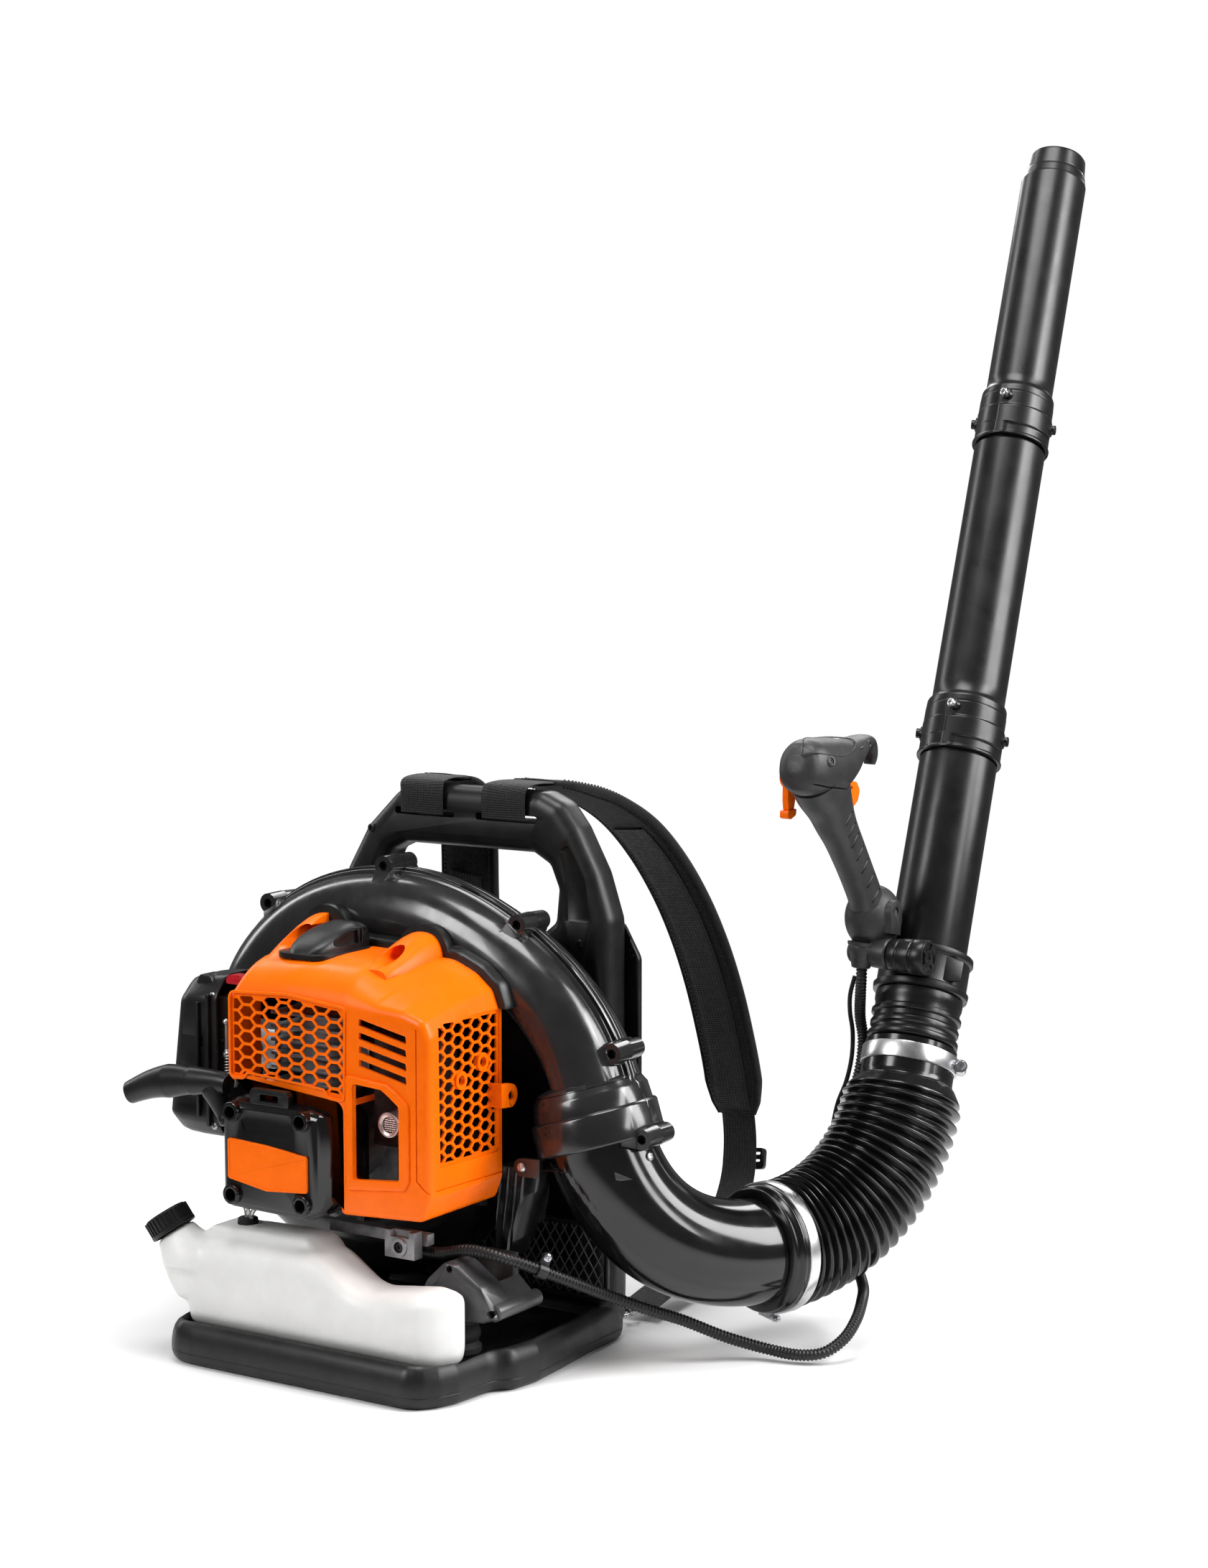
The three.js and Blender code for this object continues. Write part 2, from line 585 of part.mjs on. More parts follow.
piece("starter_grip", "frame_black", () => union(
  rod(onLine(ROPE_START, ROPE_DIR, 7), onLine(ROPE_START, ROPE_DIR, 45), 6, 14, 8.5),
  loft(GRIP_BAR.map(([x, z, radiusY, radiusZ]) =>
    ring(vec(x, ROPE_Y, z), Y_AXIS, Z_AXIS, 14, radiusY, radiusZ))),
));
piece("spark_plug", "steel",
  () => union(boreRod(301, 324, 6, 12), boreRod(322.6, 331, 9.5, 6), boreRod(331, 347, 5, 12)));

// [x, z]
const MUFFLER_OUTLINE = [[26, 200], [72, 200], [84, 210], [84, 292], [72, 300], [26, 300]];
const exhaustRod = (y0, y1, radius, segments) => rodY(66, 228, y0, y1, radius, segments);
piece("muffler", "dark_steel", () => minus(
  union(plateY(MUFFLER_OUTLINE, -56, -2, 5), box(7, -30, 258, 28, -10, 282)),
  portRod(5, 60, 7, 12),
  exhaustRod(-70, -30, 6.2, 14),
));
piece("exhaust_outlet", "steel",
  () => minus(exhaustRod(-84, -56.3, 9.2, 18), exhaustRod(-90, -50, 7, 18)));

// Rod across the carburettor, on the shared axis of primer bulb and throttle arm.
const carbRod = (y0, y1, radius, segments) => rodY(CARB_X, PORT_Z, y0, y1, radius, segments);
piece("carburettor", "alloy", () => minus(
  union(box(-146, -40, 252, -94.4, -2, 288), carbRod(-40, -44, 11, 16)),
  portRod(-150, -90, 8.5, 16),
  carbRod(-46, -40.8, 9.2, 16),
  carbRod(-42, -31.5, 2.9, 12),
));
piece("throttle_arm", "steel",
  () => minus(union(carbRod(-1.6, 3, 7, 14), box(-138, 0, 266, -120, 3, 274)),
    carbRod(-4, 6, 1.8, 10)));
// The bulb travels 3 mm into the recess on its guide stem.
piece("primer_bulb", "clear", () => ball([CARB_X, -44.4, PORT_Z], [8.5, 9, 8.5], 16, 10)
  .intersect(box(-140, -60, 250, -100, -44.4, 290))
  .add(carbRod(-45, -35, 2.6, 12)));
piece("choke_lever", "red", () => union(
  rodY(-131, 300, -44, -36, 5, 12),
  box(-135, -44, 300, -127, -40, 330),
  box(-141, -52, 328, -125, -38, 336),
));
piece("air_filter_element", "foam",
  () => minus(box(-164, -44, 200, -148.4, -2, 312), portRod(-168, -140, 9, 14)));

// [y, z]
const FILTER_COVER = [
  [-60, 200], [-48, 184], [0, 180], [12, 192], [12, 312], [-4, 330], [-44, 330], [-60, 312],
];
piece("air_filter_cover", "gloss_black",
  () => minus(plateX(FILTER_COVER, -210, -146.4, 6), plateX(shrink(FILTER_COVER, 3), -206, -140)));
piece("crankcase_bracket", "alloy",
  () => minus(box(52, -72, 108, 84, -60.4, 132), rodY(68, 118, -80, -50, 3, 12)));

// ---------------------------------------------------------------- engine cover
// [x, z]
const COVER_OUTLINE = [
  [24, 146], [112, 152], [121, 176], [121, 322], [108, 338], [92, 346], [30, 356], [-30, 364],
  [-86, 363], [-99, 340], [-99, 252], [24, 241],
];
const ARCH_X = [-72, 34];
// Spark plug cover: [y, z, radius in x, radius in z].
const PLUG_COVER = [
  [-56, 352, 6, 4], [-50, 356, 20, 12], [-30, 362, 23, 20], [-8, 366, 22, 24], [-2, 366, 16, 20],
];

piece("engine_cover", "orange", () => {
  const arch = (x) => union(
    rod([x, -62, 350], [x, 9, 364], 25, 14),
    rod([x, -96, 342], [x, -62, 350], 12, 14, 25),
  ).intersect(box(-110, -98, 330, 121, 9, 400));
  const [leftHollow, rightHollow] = ARCH_X.map((x) => rod([x, -66, 346], [x, 16, 362], 22, 14));
  const shell = minus(
    union(plateY(COVER_OUTLINE, -100, 9, 5), ...ARCH_X.map(arch)),
    plateY(shrink(COVER_OUTLINE, 3), -96.5, 20),
    leftHollow.intersect(box(-95.5, -98, 330, 118, 20, 400)),
    rightHollow,
    box(-95.8, -86, 228, 62, 20, 262), // underside left open behind the lip
    box(10, -86, 150, 62, 20, 262),
    box(CRANK_X - 26, -62, 330, CRANK_X + 26, 2, 400), // spark plug access
    box(41, -110, 184, 91, -90, 262), // exhaust window
    box(-92, -104, 258, 26, -94, 330), // front grille window
    box(110, -82, 200, 126, 2, 318), // side grille window at +X
  );
  const grilled = union(
    shell,
    ...repeat(4, (i) => box(-88 + i * 30, -99.5, 252, -84 + i * 30, -96.6, 335)),
    ...repeat(3, (i) => box(-95, -99.5, 272 + i * 18, 30, -96.6, 276 + i * 18)),
    ...repeat(3, (i) => box(118.2, -64 + i * 20, 195, 120.6, -60 + i * 20, 322)),
    ...repeat(5, (i) => box(118.2, -86, 216 + i * 20, 120.6, 6, 220 + i * 20)),
  );
  return minus(
    grilled,
    ...repeat(4, (i) => box(46, -104, 272 + i * 13, 92, -94, 278 + i * 13)), // louvres
    box(-105, -60, 240, -90, 15, 320), // carburettor side opening
  );
});
piece("spark_plug_cover", "gloss_black", () => loft(PLUG_COVER.map(([y, z, radiusX, radiusZ]) =>
  ring(vec(CRANK_X, y, z), X_AXIS, Z_AXIS, 16, radiusX, radiusZ)))
  .intersect(box(-100, -70, 352, 20, 20, 400)));

// ---------------------------------------------------------------- fuel system
// Front view, [x, z]
const TANK_FRONT = [
  [-136, 30], [-140, 60], [-140, 92], [-128, 106], [8, 112], [20, 108], [50, 88], [62, 84],
  [120, 92], [146, 86], [151, 70], [150, 44], [143, 30],
];
const TANK_HUMP = [[-134, 100], [-120, 119], [-10, 122], [10, 112]];
// Top view, [x, y]
const TANK_TOP = [
  [-140, -112], [-128, -124], [122, -124], [136, -112], [146, -92], [143, -74], [92, -72],
  [60, -69], [-120, -62], [-140, -74],
];
const FUEL_LINE = [
  [-92, -84, 113], [-92, -84, 122], [-94, -83, 131], [-107, -74, 142], [-113, -52, 172],
  [-118, -28, 215], [CARB_X, -22, 251.4],
];
const onNeck = (distance) => onLine(NECK_FOOT, NECK_DIR, distance);
const grommetRod = (z0, z1, radius, segments) => rodZ(-92, -84, z0, z1, radius, segments);

piece("fuel_tank", "tank_white", () => {
  const plan = plateZ(TANK_TOP, 20, 150);
  const body = plateY(TANK_FRONT, -125, -60, 5).intersect(plan)
    .add(plateY(TANK_HUMP, -106, -63, 3))
    .intersect(box(-200, -140, ON_POCKET_Z, 200, 0, 150))
    .intersect(plan);
  const neck = loft([[0, 26], [22, 21], [NECK_L, 19]].map(
    ([distance, radius]) => circle(onNeck(distance), NECK_DIR, radius, 20)));
  return minus(
    body.add(neck),
    rod(onNeck(-4), onNeck(40), 15, 20),
    grommetRod(112, 130, 9.4, 16),
  );
});
piece("fuel_cap", "gloss_black", () => {
  const seat = NECK_L + 0.4;
  return union(
    rod(onNeck(seat), onNeck(seat + 19), 21.5, 28),
    rod(onNeck(seat - 12), onNeck(seat + 2), 14.4, 20),
  );
});
piece("fuel_grommet", "rubber", () => minus(
  union(grommetRod(112.4, 122.5, 9.1, 16), grommetRod(122.4, 125.5, 14, 18)),
  grommetRod(100, 140, 4.4, 12),
));
piece("fuel_line", "clear", () => sweep(spline(FUEL_LINE), () => 2.8, 14, 8));

// ---------------------------------------------------------------- elbow and flexible hose
const onElbowEnd = (distance) => onLine(ELBOW_END, ELBOW_END_DIR, distance);
const onTube = (station) => onLine(TUBE_FOOT, TUBE_DIR, station);
const elbowCurve = new THREE.CubicBezierCurve3(
  onCollar(-14), onCollar(82), onElbowEnd(-82), onElbowEnd(0));
const hoseCurve = new THREE.CubicBezierCurve3(
  onElbowEnd(0.4), onElbowEnd(88), onTube(-96), onTube(CUFF_START));

// The elbow has a bead near its far end.
piece("outlet_elbow", "gloss_black", () => minus(
  sweep(elbowCurve, (step) => (step === 10 ? 50 : ELBOW_R), 11, 18),
  sweep(elbowCurve, () => ELBOW_R - DUCT_WALL, 11, 18, 1),
));
// Plain ends with tapering pleats between, and a cuff on the tube.
function hoseRadius(step, t) {
  if (step < 2) return 51;
  if (step > 2 * PLEATS + 1) return 46;
  return (step % 2 ? PLEAT_R : PLEAT_VALLEY_R) - 2.5 * t;
}
piece("flexible_hose", "rubber", () => minus(
  union(
    sweep(hoseCurve, hoseRadius, 2 * PLEATS + 3, 14),
    turned([[CUFF_START, 46], [0, 41.8], [CUFF_END, 41.6]], 20),
  ),
  sweep(hoseCurve, () => 44.5, 8, 14, 1),
  turned([[CUFF_START - 3, 43.5], [0, 39.6], [CUFF_END + 2, 39.4]], 20),
));
piece("lower_hose_clamp", "steel", () => minus(
  rod(onElbowEnd(2), onElbowEnd(13), 60.5, 32),
  rod(onElbowEnd(-2), onElbowEnd(20), 59.3, 32),
).add(box(279, 180, 24, 300, 198, 34)));
piece("upper_hose_clamp", "steel",
  () => pipe([[6, 44], [26, 44]], 1.1, 28).add(box(385, 350, 233, 397, 364, 247)));

// ---------------------------------------------------------------- blowing tubes
piece("swivel_pipe", "tube_black", () => pipe([
  [SWIVEL_START, 38.9], [33, 38.9], [33.5, 42.4], [40, 42.4], [41, 40.2], [56, 40.2],
  [57, 42.2], [60, 42.2], [61, 40.2], [SWIVEL_END, 40.2],
], 2.2, 16));
// Each tube carries the next one's sleeve on its spigot.
const sleeve = (start, radius, tubeRadius) =>
  [[start, radius], [start + JOINT_L, radius], [start + JOINT_L + 6, tubeRadius]];
const spigot = (end, tubeRadius, radius) =>
  [[end - JOINT_L, tubeRadius], [end - JOINT_L + 1, radius], [end, radius]];
piece("lower_tube", "tube_black",
  () => pipe([[LOWER_START, LOWER_R], ...spigot(LOWER_END, LOWER_R, 36.4)], TUBE_WALL, 18));
piece("middle_tube", "tube_black", () => pipe([
  ...sleeve(MIDDLE_START, 39.4, MIDDLE_R),
  ...spigot(MIDDLE_END, MIDDLE_R, 33.4),
], TUBE_WALL, 18));
piece("nozzle_tube", "tube_black", () => pipe([
  ...sleeve(NOZZLE_START, 36.6, NOZZLE_R),
  [NOZZLE_END - 30, NOZZLE_R], [NOZZLE_END - 15, NOZZLE_TIP_R + 1], [NOZZLE_END, NOZZLE_TIP_R],
], TUBE_WALL, 18));

// ---------------------------------------------------------------- control handle
const pivotRod = (x0, x1, radius, segments) => rodX(PIVOT_Y, PIVOT_Z, x0, x1, radius, segments);
const band = (halfWidth, radius) =>
  turned([[CLAMP_STATION - halfWidth, radius], [CLAMP_STATION + halfWidth, radius]], 28);

// Ring round the tube with a cross boss for the tilt pivot.
piece("handle_clamp", "frame_black", () => minus(
  union(band(21, CLAMP_R), pivotRod(329, 368, PIVOT_R, 18), rodX(354.4, 336.7, 331, 366, 13, 16)),
  band(30, LOWER_R + 0.35),
  pivotRod(320, 364, 4.3, 14),
));

// Handle rings: [y, z, radius in x, radius across, direction of the length in y,z].
const UP_GRIP = [-0.592, 0.806];
const ALONG_HEAD = [1, 0.04];
const GRIP = [
  [350, 372, 16, 22, UP_GRIP], [338, 400, 16.5, 21, UP_GRIP], [307, 441, 17, 20, UP_GRIP],
  [282, 476, 18, 21, UP_GRIP], [270, 500, 19, 24, UP_GRIP],
];
const HEAD = [
  [196, 536, 8, 8, ALONG_HEAD], [206, 530, 20, 20, ALONG_HEAD], [232, 524, 25, 27, ALONG_HEAD],
  [268, 524, 24, 26, ALONG_HEAD], [300, 532, 19, 15, ALONG_HEAD], [326, 541, 13, 7, ALONG_HEAD],
  [338, 540, 12, 5, ALONG_HEAD],
];
const HEAD_TIP = [
  [330, 543, 12, 5, [1, -0.1]], [345, 536, 12, 6, [0.8, -0.6]], [352, 520, 11, 5, [0.2, -1]],
  [351, 510, 9, 4, [-0.1, -1]],
];
const handleLoft = (table) => loft(table.map(([y, z, radiusX, radiusAcross, [alongY, alongZ]]) =>
  ring(vec(HANDLE_X, y, z), X_AXIS, unit([0, -alongZ, alongY]), 14, radiusX, radiusAcross)));

piece("control_handle", "grey_handle", () => minus(
  union(
    pivotRod(HANDLE_X, 328.6, PIVOT_R, 20),
    pivotRod(328, 350, 4, 12),
    ball([HANDLE_X, 358, 372], [22, 25, 30], 14, 8),
    rod([HANDLE_X, 353, 356], [HANDLE_X, 350, 333], 12, 16),
    ...[GRIP, HEAD, HEAD_TIP].map(handleLoft),
  ),
  box(HANDLE_X - 5.6, 286, 474, HANDLE_X + 5.6, 330, 508), // trigger slot
  box(HANDLE_X + 18, 210, 490, HANDLE_X + 40, 246, 520), // step in the +X side
));
// [y, z]
const TRIGGER = [[296, 504], [292, 478], [300, 478], [316, 486], [320, 497], [314, 505]];
piece("throttle_trigger", "orange", () => union(
  plateX(TRIGGER, HANDLE_X - 5, HANDLE_X + 5, 1.5),
  rodX(300, 502, HANDLE_X - 5.2, HANDLE_X + 5.2, 3.2, 12),
));
piece("cruise_lever", "orange", () => union(
  rodX(248, 514, HANDLE_X - 34, HANDLE_X - 26.2, 8, 14),
  box(HANDLE_X - 33.4, 242, 482, HANDLE_X - 27, 255, 514),
));

// ---------------------------------------------------------------- throttle conduit
const CONDUIT_R = 5.5;
// [x, y, z]
const CONDUIT_LOWER = [
  [60, -38, 107], [94, -48, 111], [128, -50, 119], [160, -43, 115], [192, -4, 93],
  [212, 36, 72], [236, 70, 54], [254, 97, 41], [281, 126, 23], [309, 152, 10], [338, 157, 8],
  [358, 166, 11], [368, 184, 20], [368, 208, 32], [360, 235, 44], [338, 276, 46],
  [303, 318, 62], [280, 338, 96], [275, 345, 140],
];
const CONDUIT_UPPER = [
  [275.2, 345.2, 141.5], [278, 352, 186], [287, 361, 222], [288.5, 366, 254],
  [289.5, 364, 277], [297, 358, 300], [301, 352, 316],
];
piece("throttle_conduit_lower", "rubber",
  () => sweep(spline(CONDUIT_LOWER), () => CONDUIT_R, 34, 6));
piece("throttle_conduit_upper", "rubber",
  () => sweep(spline(CONDUIT_UPPER), () => CONDUIT_R, 14, 8));
piece("conduit_clip", "alloy", () => minus(
  rod([123, -51, 119], [132, -49, 118.9], 9, 14),
  rod([110, -53.9, 119.2], [150, -44.9, 118.6], 7.3, 12),
));

export default group;
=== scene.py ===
"""A backpack blower, built over its CAD pieces.

Z is up. The fan turns about a line along Y, with the engine on its -Y side and the harness on
its +Y side. The outlet elbow is at +X, and the blowing tubes rise from it. Shapes are written
in millimetres and scaled as their meshes are made; shader, light and camera values are metres.
"""
import json
import math
import bpy
import bmesh
import numpy as np
from mathutils import Vector, Matrix, noise

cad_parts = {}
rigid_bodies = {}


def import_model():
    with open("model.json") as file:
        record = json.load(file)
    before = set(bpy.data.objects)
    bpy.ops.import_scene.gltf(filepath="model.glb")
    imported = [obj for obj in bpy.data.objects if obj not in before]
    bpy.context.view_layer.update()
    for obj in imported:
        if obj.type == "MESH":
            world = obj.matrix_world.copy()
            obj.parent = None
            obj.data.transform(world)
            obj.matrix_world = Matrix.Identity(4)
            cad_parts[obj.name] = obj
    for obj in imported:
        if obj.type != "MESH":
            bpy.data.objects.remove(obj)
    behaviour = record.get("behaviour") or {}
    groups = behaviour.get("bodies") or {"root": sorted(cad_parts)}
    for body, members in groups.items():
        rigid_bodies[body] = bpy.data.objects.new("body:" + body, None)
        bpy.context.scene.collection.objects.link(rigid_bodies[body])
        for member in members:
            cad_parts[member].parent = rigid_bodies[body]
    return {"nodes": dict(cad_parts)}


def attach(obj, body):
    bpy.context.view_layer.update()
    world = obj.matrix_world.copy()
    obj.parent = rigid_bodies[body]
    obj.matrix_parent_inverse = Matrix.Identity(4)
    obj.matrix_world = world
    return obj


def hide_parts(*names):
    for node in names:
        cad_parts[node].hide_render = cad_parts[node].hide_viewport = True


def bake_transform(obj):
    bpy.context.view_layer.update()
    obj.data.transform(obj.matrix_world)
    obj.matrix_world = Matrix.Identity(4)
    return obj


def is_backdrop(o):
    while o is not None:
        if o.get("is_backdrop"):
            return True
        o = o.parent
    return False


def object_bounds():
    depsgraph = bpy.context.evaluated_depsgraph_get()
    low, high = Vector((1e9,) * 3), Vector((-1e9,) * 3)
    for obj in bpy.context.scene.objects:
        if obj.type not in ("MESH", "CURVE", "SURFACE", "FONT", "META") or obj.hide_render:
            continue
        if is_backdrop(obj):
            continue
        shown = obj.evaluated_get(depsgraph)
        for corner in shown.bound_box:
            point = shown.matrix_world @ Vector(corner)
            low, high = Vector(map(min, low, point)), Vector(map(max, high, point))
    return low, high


for old_object in list(bpy.data.objects):
    bpy.data.objects.remove(old_object)
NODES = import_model()["nodes"]
CAD_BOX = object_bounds()
SCENE = bpy.context.scene
SCENE.view_settings.view_transform = "Standard"
SCENE.view_settings.look = "None"


def unit(v):
    v = np.array(v, float)
    return v / np.linalg.norm(v)


def square_to(v, axis):
    """The part of v at right angles to a unit axis, as a unit vector."""
    v = np.array(v, float)
    return unit(v - axis * (v @ axis))


# ================================================================ driving places
MM = 0.001
X_AXIS, Y_AXIS, Z_AXIS = np.eye(3)
FAN_X, FAN_Z = -44.0, 190.0                 # fan axis
SEAM = 60.0                                 # y of the joint between the fan housing halves
COLLAR = np.array([192.0, 60.0, 200.0])     # outlet collar
OUT_DIR = unit([0.29, 0.0, -0.957])
ELBOW_END = np.array([288.0, 183.0, 92.0])
ELBOW_DIR = unit([0.31, 0.951, 0.0])
FOOT = np.array([343.0, 350.0, 226.0])      # lower end of the blowing tubes
TUBE = unit([-0.0651, 0.4495, 0.8909])
PIVOT = np.array([0, 344.1, 341.9])         # the handle turns about X through here
GRIP_X = 303.0                              # middle plane of the control handle
VIEW_RIGHT = (0.8387, 0.5446, 0.0)          # the camera's right
CAMERA_PLACE = (1.6162, -2.1290, 0.7981)    # metres


# ================================================================ mesh tools
def mesh_obj(verts, faces):
    mesh = bpy.data.meshes.new("tmp")
    mesh.from_pydata([[float(c) * MM for c in v] for v in verts], [],
                     [tuple(int(i) for i in f) for f in faces])
    bm = bmesh.new()
    bm.from_mesh(mesh)
    bmesh.ops.recalc_face_normals(bm, faces=bm.faces)
    bm.to_mesh(mesh)
    bm.free()
    part = bpy.data.objects.new("tmp", mesh)
    SCENE.collection.objects.link(part)
    return part


def drop(part):
    mesh = part.data
    bpy.data.objects.remove(part)
    bpy.data.meshes.remove(mesh)


def bake(part):
    """Applies every modifier."""
    bpy.context.view_layer.update()
    depsgraph = bpy.context.evaluated_depsgraph_get()
    mesh = bpy.data.meshes.new_from_object(part.evaluated_get(depsgraph))
    old = part.data
    part.modifiers.clear()
    part.data = mesh
    bpy.data.meshes.remove(old)
    return part


def merge(first, *others):
    """Puts the others' meshes into the first one's, without a boolean."""
    bm = bmesh.new()
    for part in (first, *others):
        bm.from_mesh(part.data)
    bm.to_mesh(first.data)
    bm.free()
    for part in others:
        drop(part)
    return first


def boolean(part, tool, operation="DIFFERENCE"):
    """Uses up the tool. The exact solver steps in where the fast one does nothing or fails."""
    for solver in ("MANIFOLD", "EXACT"):
        before = (len(part.data.vertices), len(part.data.polygons))
        modifier = part.modifiers.new("b", "BOOLEAN")
        modifier.operation, modifier.object, modifier.solver = operation, tool, solver
        saved = part.data.copy()
        bake(part)
        after = (len(part.data.vertices), len(part.data.polygons))
        if after != before and after[0] > 0:
            bpy.data.meshes.remove(saved)
            break
        if solver == "MANIFOLD":
            old = part.data
            part.data = saved
            bpy.data.meshes.remove(old)
        else:
            bpy.data.meshes.remove(saved)
    drop(tool)
    return part


def minus(part, *tools):
    for tool in tools:
        boolean(part, tool)
    return part


def plus(part, *tools):
    for tool in tools:
        boolean(part, tool, "UNION")
    return part


def bevel(part, width, segs=3, angle=35):
    modifier = part.modifiers.new("bev", "BEVEL")
    modifier.width, modifier.segments = width * MM, segs
    modifier.limit_method, modifier.angle_limit = "ANGLE", math.radians(angle)
    modifier.use_clamp_overlap = True
    modifier.miter_outer = "MITER_ARC"
    return bake(part)


# ---------------------------------------------------------------- outlines
def rect(x0, y0, x1, y1):
    return [(x0, y0), (x1, y0), (x1, y1), (x0, y1)]


def turn(n):
    """n angles evenly round a circle."""
    return [2 * math.pi * i / n for i in range(n)]


def signed_power(value, power):
    return math.copysign(abs(value) ** power, value)


def interp(x, pairs):
    return float(np.interp(x, *zip(*pairs)))


def smooth(x, a, b):
    """Eases from 0 at a to 1 at b."""
    t = min(1.0, max(0.0, (x - a) / (b - a)))
    return t * t * (3 - 2 * t)


def arc(cx, cy, r, start, stop, n, ry=None):
    ry = r if ry is None else ry
    return [(cx + r * math.cos(a), cy + ry * math.sin(a)) for a in np.linspace(start, stop, n)]


def fillet(pts, radius, n=5):
    """Rounds the corners of a closed outline; radius is one number or a list."""
    pts = [np.array(p, float) for p in pts]
    radii = radius if isinstance(radius, list) else [radius] * len(pts)
    out = []
    for i, p in enumerate(pts):
        u, v = pts[i - 1] - p, pts[(i + 1) % len(pts)] - p
        len_u, len_v = np.linalg.norm(u), np.linalg.norm(v)
        u, v = u / len_u, v / len_v
        corner = math.acos(max(-1, min(1, float(u @ v))))
        if corner > math.pi - 1e-3:
            back = min(len_u, len_v) * 0.3
        else:
            back = min(radii[i] / math.tan(corner / 2), 0.48 * len_u, 0.48 * len_v)
        p0, p1 = p + u * back, p + v * back
        for k in range(n + 1):
            t = k / n
            out.append((1 - t) ** 2 * p0 + 2 * t * (1 - t) * p + t * t * p1)
    return out


def area(pts):
    n = len(pts)
    return sum(pts[i][0] * pts[(i + 1) % n][1] - pts[(i + 1) % n][0] * pts[i][1]
               for i in range(n)) / 2


def offset(pts, inset):
    """Moves a closed outline inwards."""
    pts = [np.array(p, float) for p in pts]
    side = 1 if area(pts) > 0 else -1
    out = []
    for i, p in enumerate(pts):
        normals = []
        for edge in (p - pts[i - 1], pts[(i + 1) % len(pts)] - p):
            edge = edge / (np.linalg.norm(edge) + 1e-12)
            normals.append(np.array([-edge[1], edge[0]]) * side)
        middle = normals[0] + normals[1]
        middle = middle / (np.linalg.norm(middle) + 1e-12)
        out.append(p + middle * inset / max(0.4, float(middle @ normals[0])))
    return out


def clip(poly, window):
    """Clips a polygon to a convex window that runs anticlockwise."""
    out = list(poly)
    for i in range(len(window)):
        start = np.array(window[i], float)
        edge = np.array(window[(i + 1) % len(window)], float) - start
        side = lambda p: edge[0] * (p[1] - start[1]) - edge[1] * (p[0] - start[0])
        source, out = out, []
        for k in range(len(source)):
            p, q = np.array(source[k - 1], float), np.array(source[k], float)
            side_p, side_q = side(p), side(q)
            if (side_p >= 0) != (side_q >= 0):
                out.append(p + side_p / (side_p - side_q) * (q - p))
            if side_q >= 0:
                out.append(q)
        if not out:
            return []
    return out


# ---------------------------------------------------------------- solids
def placed(axis, a, b, h):
    """A point at height h along the axis; a and b are the other two in x, y, z order."""
    return {"x": (h, a, b), "y": (a, h, b), "z": (a, b, h)}[axis]


def prism_faces(n, first=0):
    near, far = range(first, first + n), range(first + n, first + 2 * n)
    sides = [[near[i], near[(i + 1) % n], far[(i + 1) % n], far[i]] for i in range(n)]
    return [list(near)[::-1], list(far)] + sides


def prism(pts, axis, lo, hi):
    return mesh_obj([placed(axis, a, b, h) for h in (lo, hi) for a, b in pts],
                    prism_faces(len(pts)))


def plate(pts, radius, n, axis, lo, hi):
    """Prism with rounded corners."""
    return prism(fillet(pts, radius, n), axis, lo, hi)


def box(x0, y0, z0, x1, y1, z1):
    return prism(rect(x0, y0, x1, y1), "z", z0, z1)


def loft(rings, cap=True):
    n = len(rings[0])
    faces = []
    for k in range(len(rings) - 1):
        for i in range(n):
            j = (i + 1) % n
            faces.append([k * n + i, k * n + j, (k + 1) * n + j, (k + 1) * n + i])
    if cap:
        faces.append(list(range(n))[::-1])
        faces.append(list(range((len(rings) - 1) * n, len(rings) * n)))
    return mesh_obj([p for ring in rings for p in ring], faces)


def stack(outline, steps, axis="z"):
    """Lofts an outline through (inset, height) steps."""
    return loft([[placed(axis, a, b, h) for a, b in (offset(outline, inset) if inset else outline)]
                 for inset, h in steps])


def slab(origin, u, v, normal, outline, lo, hi):
    """Extrudes an outline drawn along u and v, from lo to hi along the normal."""
    return loft([[origin + u * a + v * b + normal * h for a, b in outline] for h in (lo, hi)])


def frame_of(direction):
    """Three unit vectors at right angles, the last along the direction."""
    z = unit(direction)
    x = square_to(X_AXIS if abs(z[0]) < 0.9 else Y_AXIS, z)
    return x, np.cross(z, x), z


def ellipse(centre, x, y, rx, ry, n):
    return [centre + x * rx * math.cos(a) + y * ry * math.sin(a) for a in turn(n)]


def circle(centre, axis, r, n=48, ry=None):
    x, y, _ = frame_of(axis)
    return ellipse(np.array(centre, float), x, y, r, r if ry is None else ry, n)


def lathe(profile, origin, axis, n=64):
    """Turns a profile of (distance along the axis, radius)."""
    origin, axis = np.array(origin, float), unit(axis)
    return loft([circle(origin + axis * s, axis, max(r, 0.02), n) for s, r in profile])


def rod(p, q, r, n=24, r2=None):
    p, q = np.array(p, float), np.array(q, float)
    return loft([circle(p, q - p, r, n), circle(q, q - p, r if r2 is None else r2, n)])


def ball(c, rx, ry=None, rz=None, n=32, m=16):
    ry = rx if ry is None else ry
    rz = rx if rz is None else rz
    rings = []
    for k in range(m + 1):
        a = math.pi * (0.02 + 0.96 * k / m)
        rings.append([(c[0] + rx * math.sin(a) * math.cos(b), c[1] + ry * math.sin(a) * math.sin(b),
                       c[2] - rz * math.cos(a)) for b in turn(n)])
    return loft(rings)


# ---------------------------------------------------------------- curves
def lengths(points):
    """Distance run at each point."""
    return np.concatenate([[0], np.cumsum(np.linalg.norm(np.diff(points, axis=0), axis=1))])


def tangents(points):
    slopes = np.gradient(points, axis=0)
    return slopes / np.linalg.norm(slopes, axis=1)[:, None]


def at_distance(s, run, points):
    return np.stack([np.interp(s, run, points[:, k]) for k in range(3)], -1)


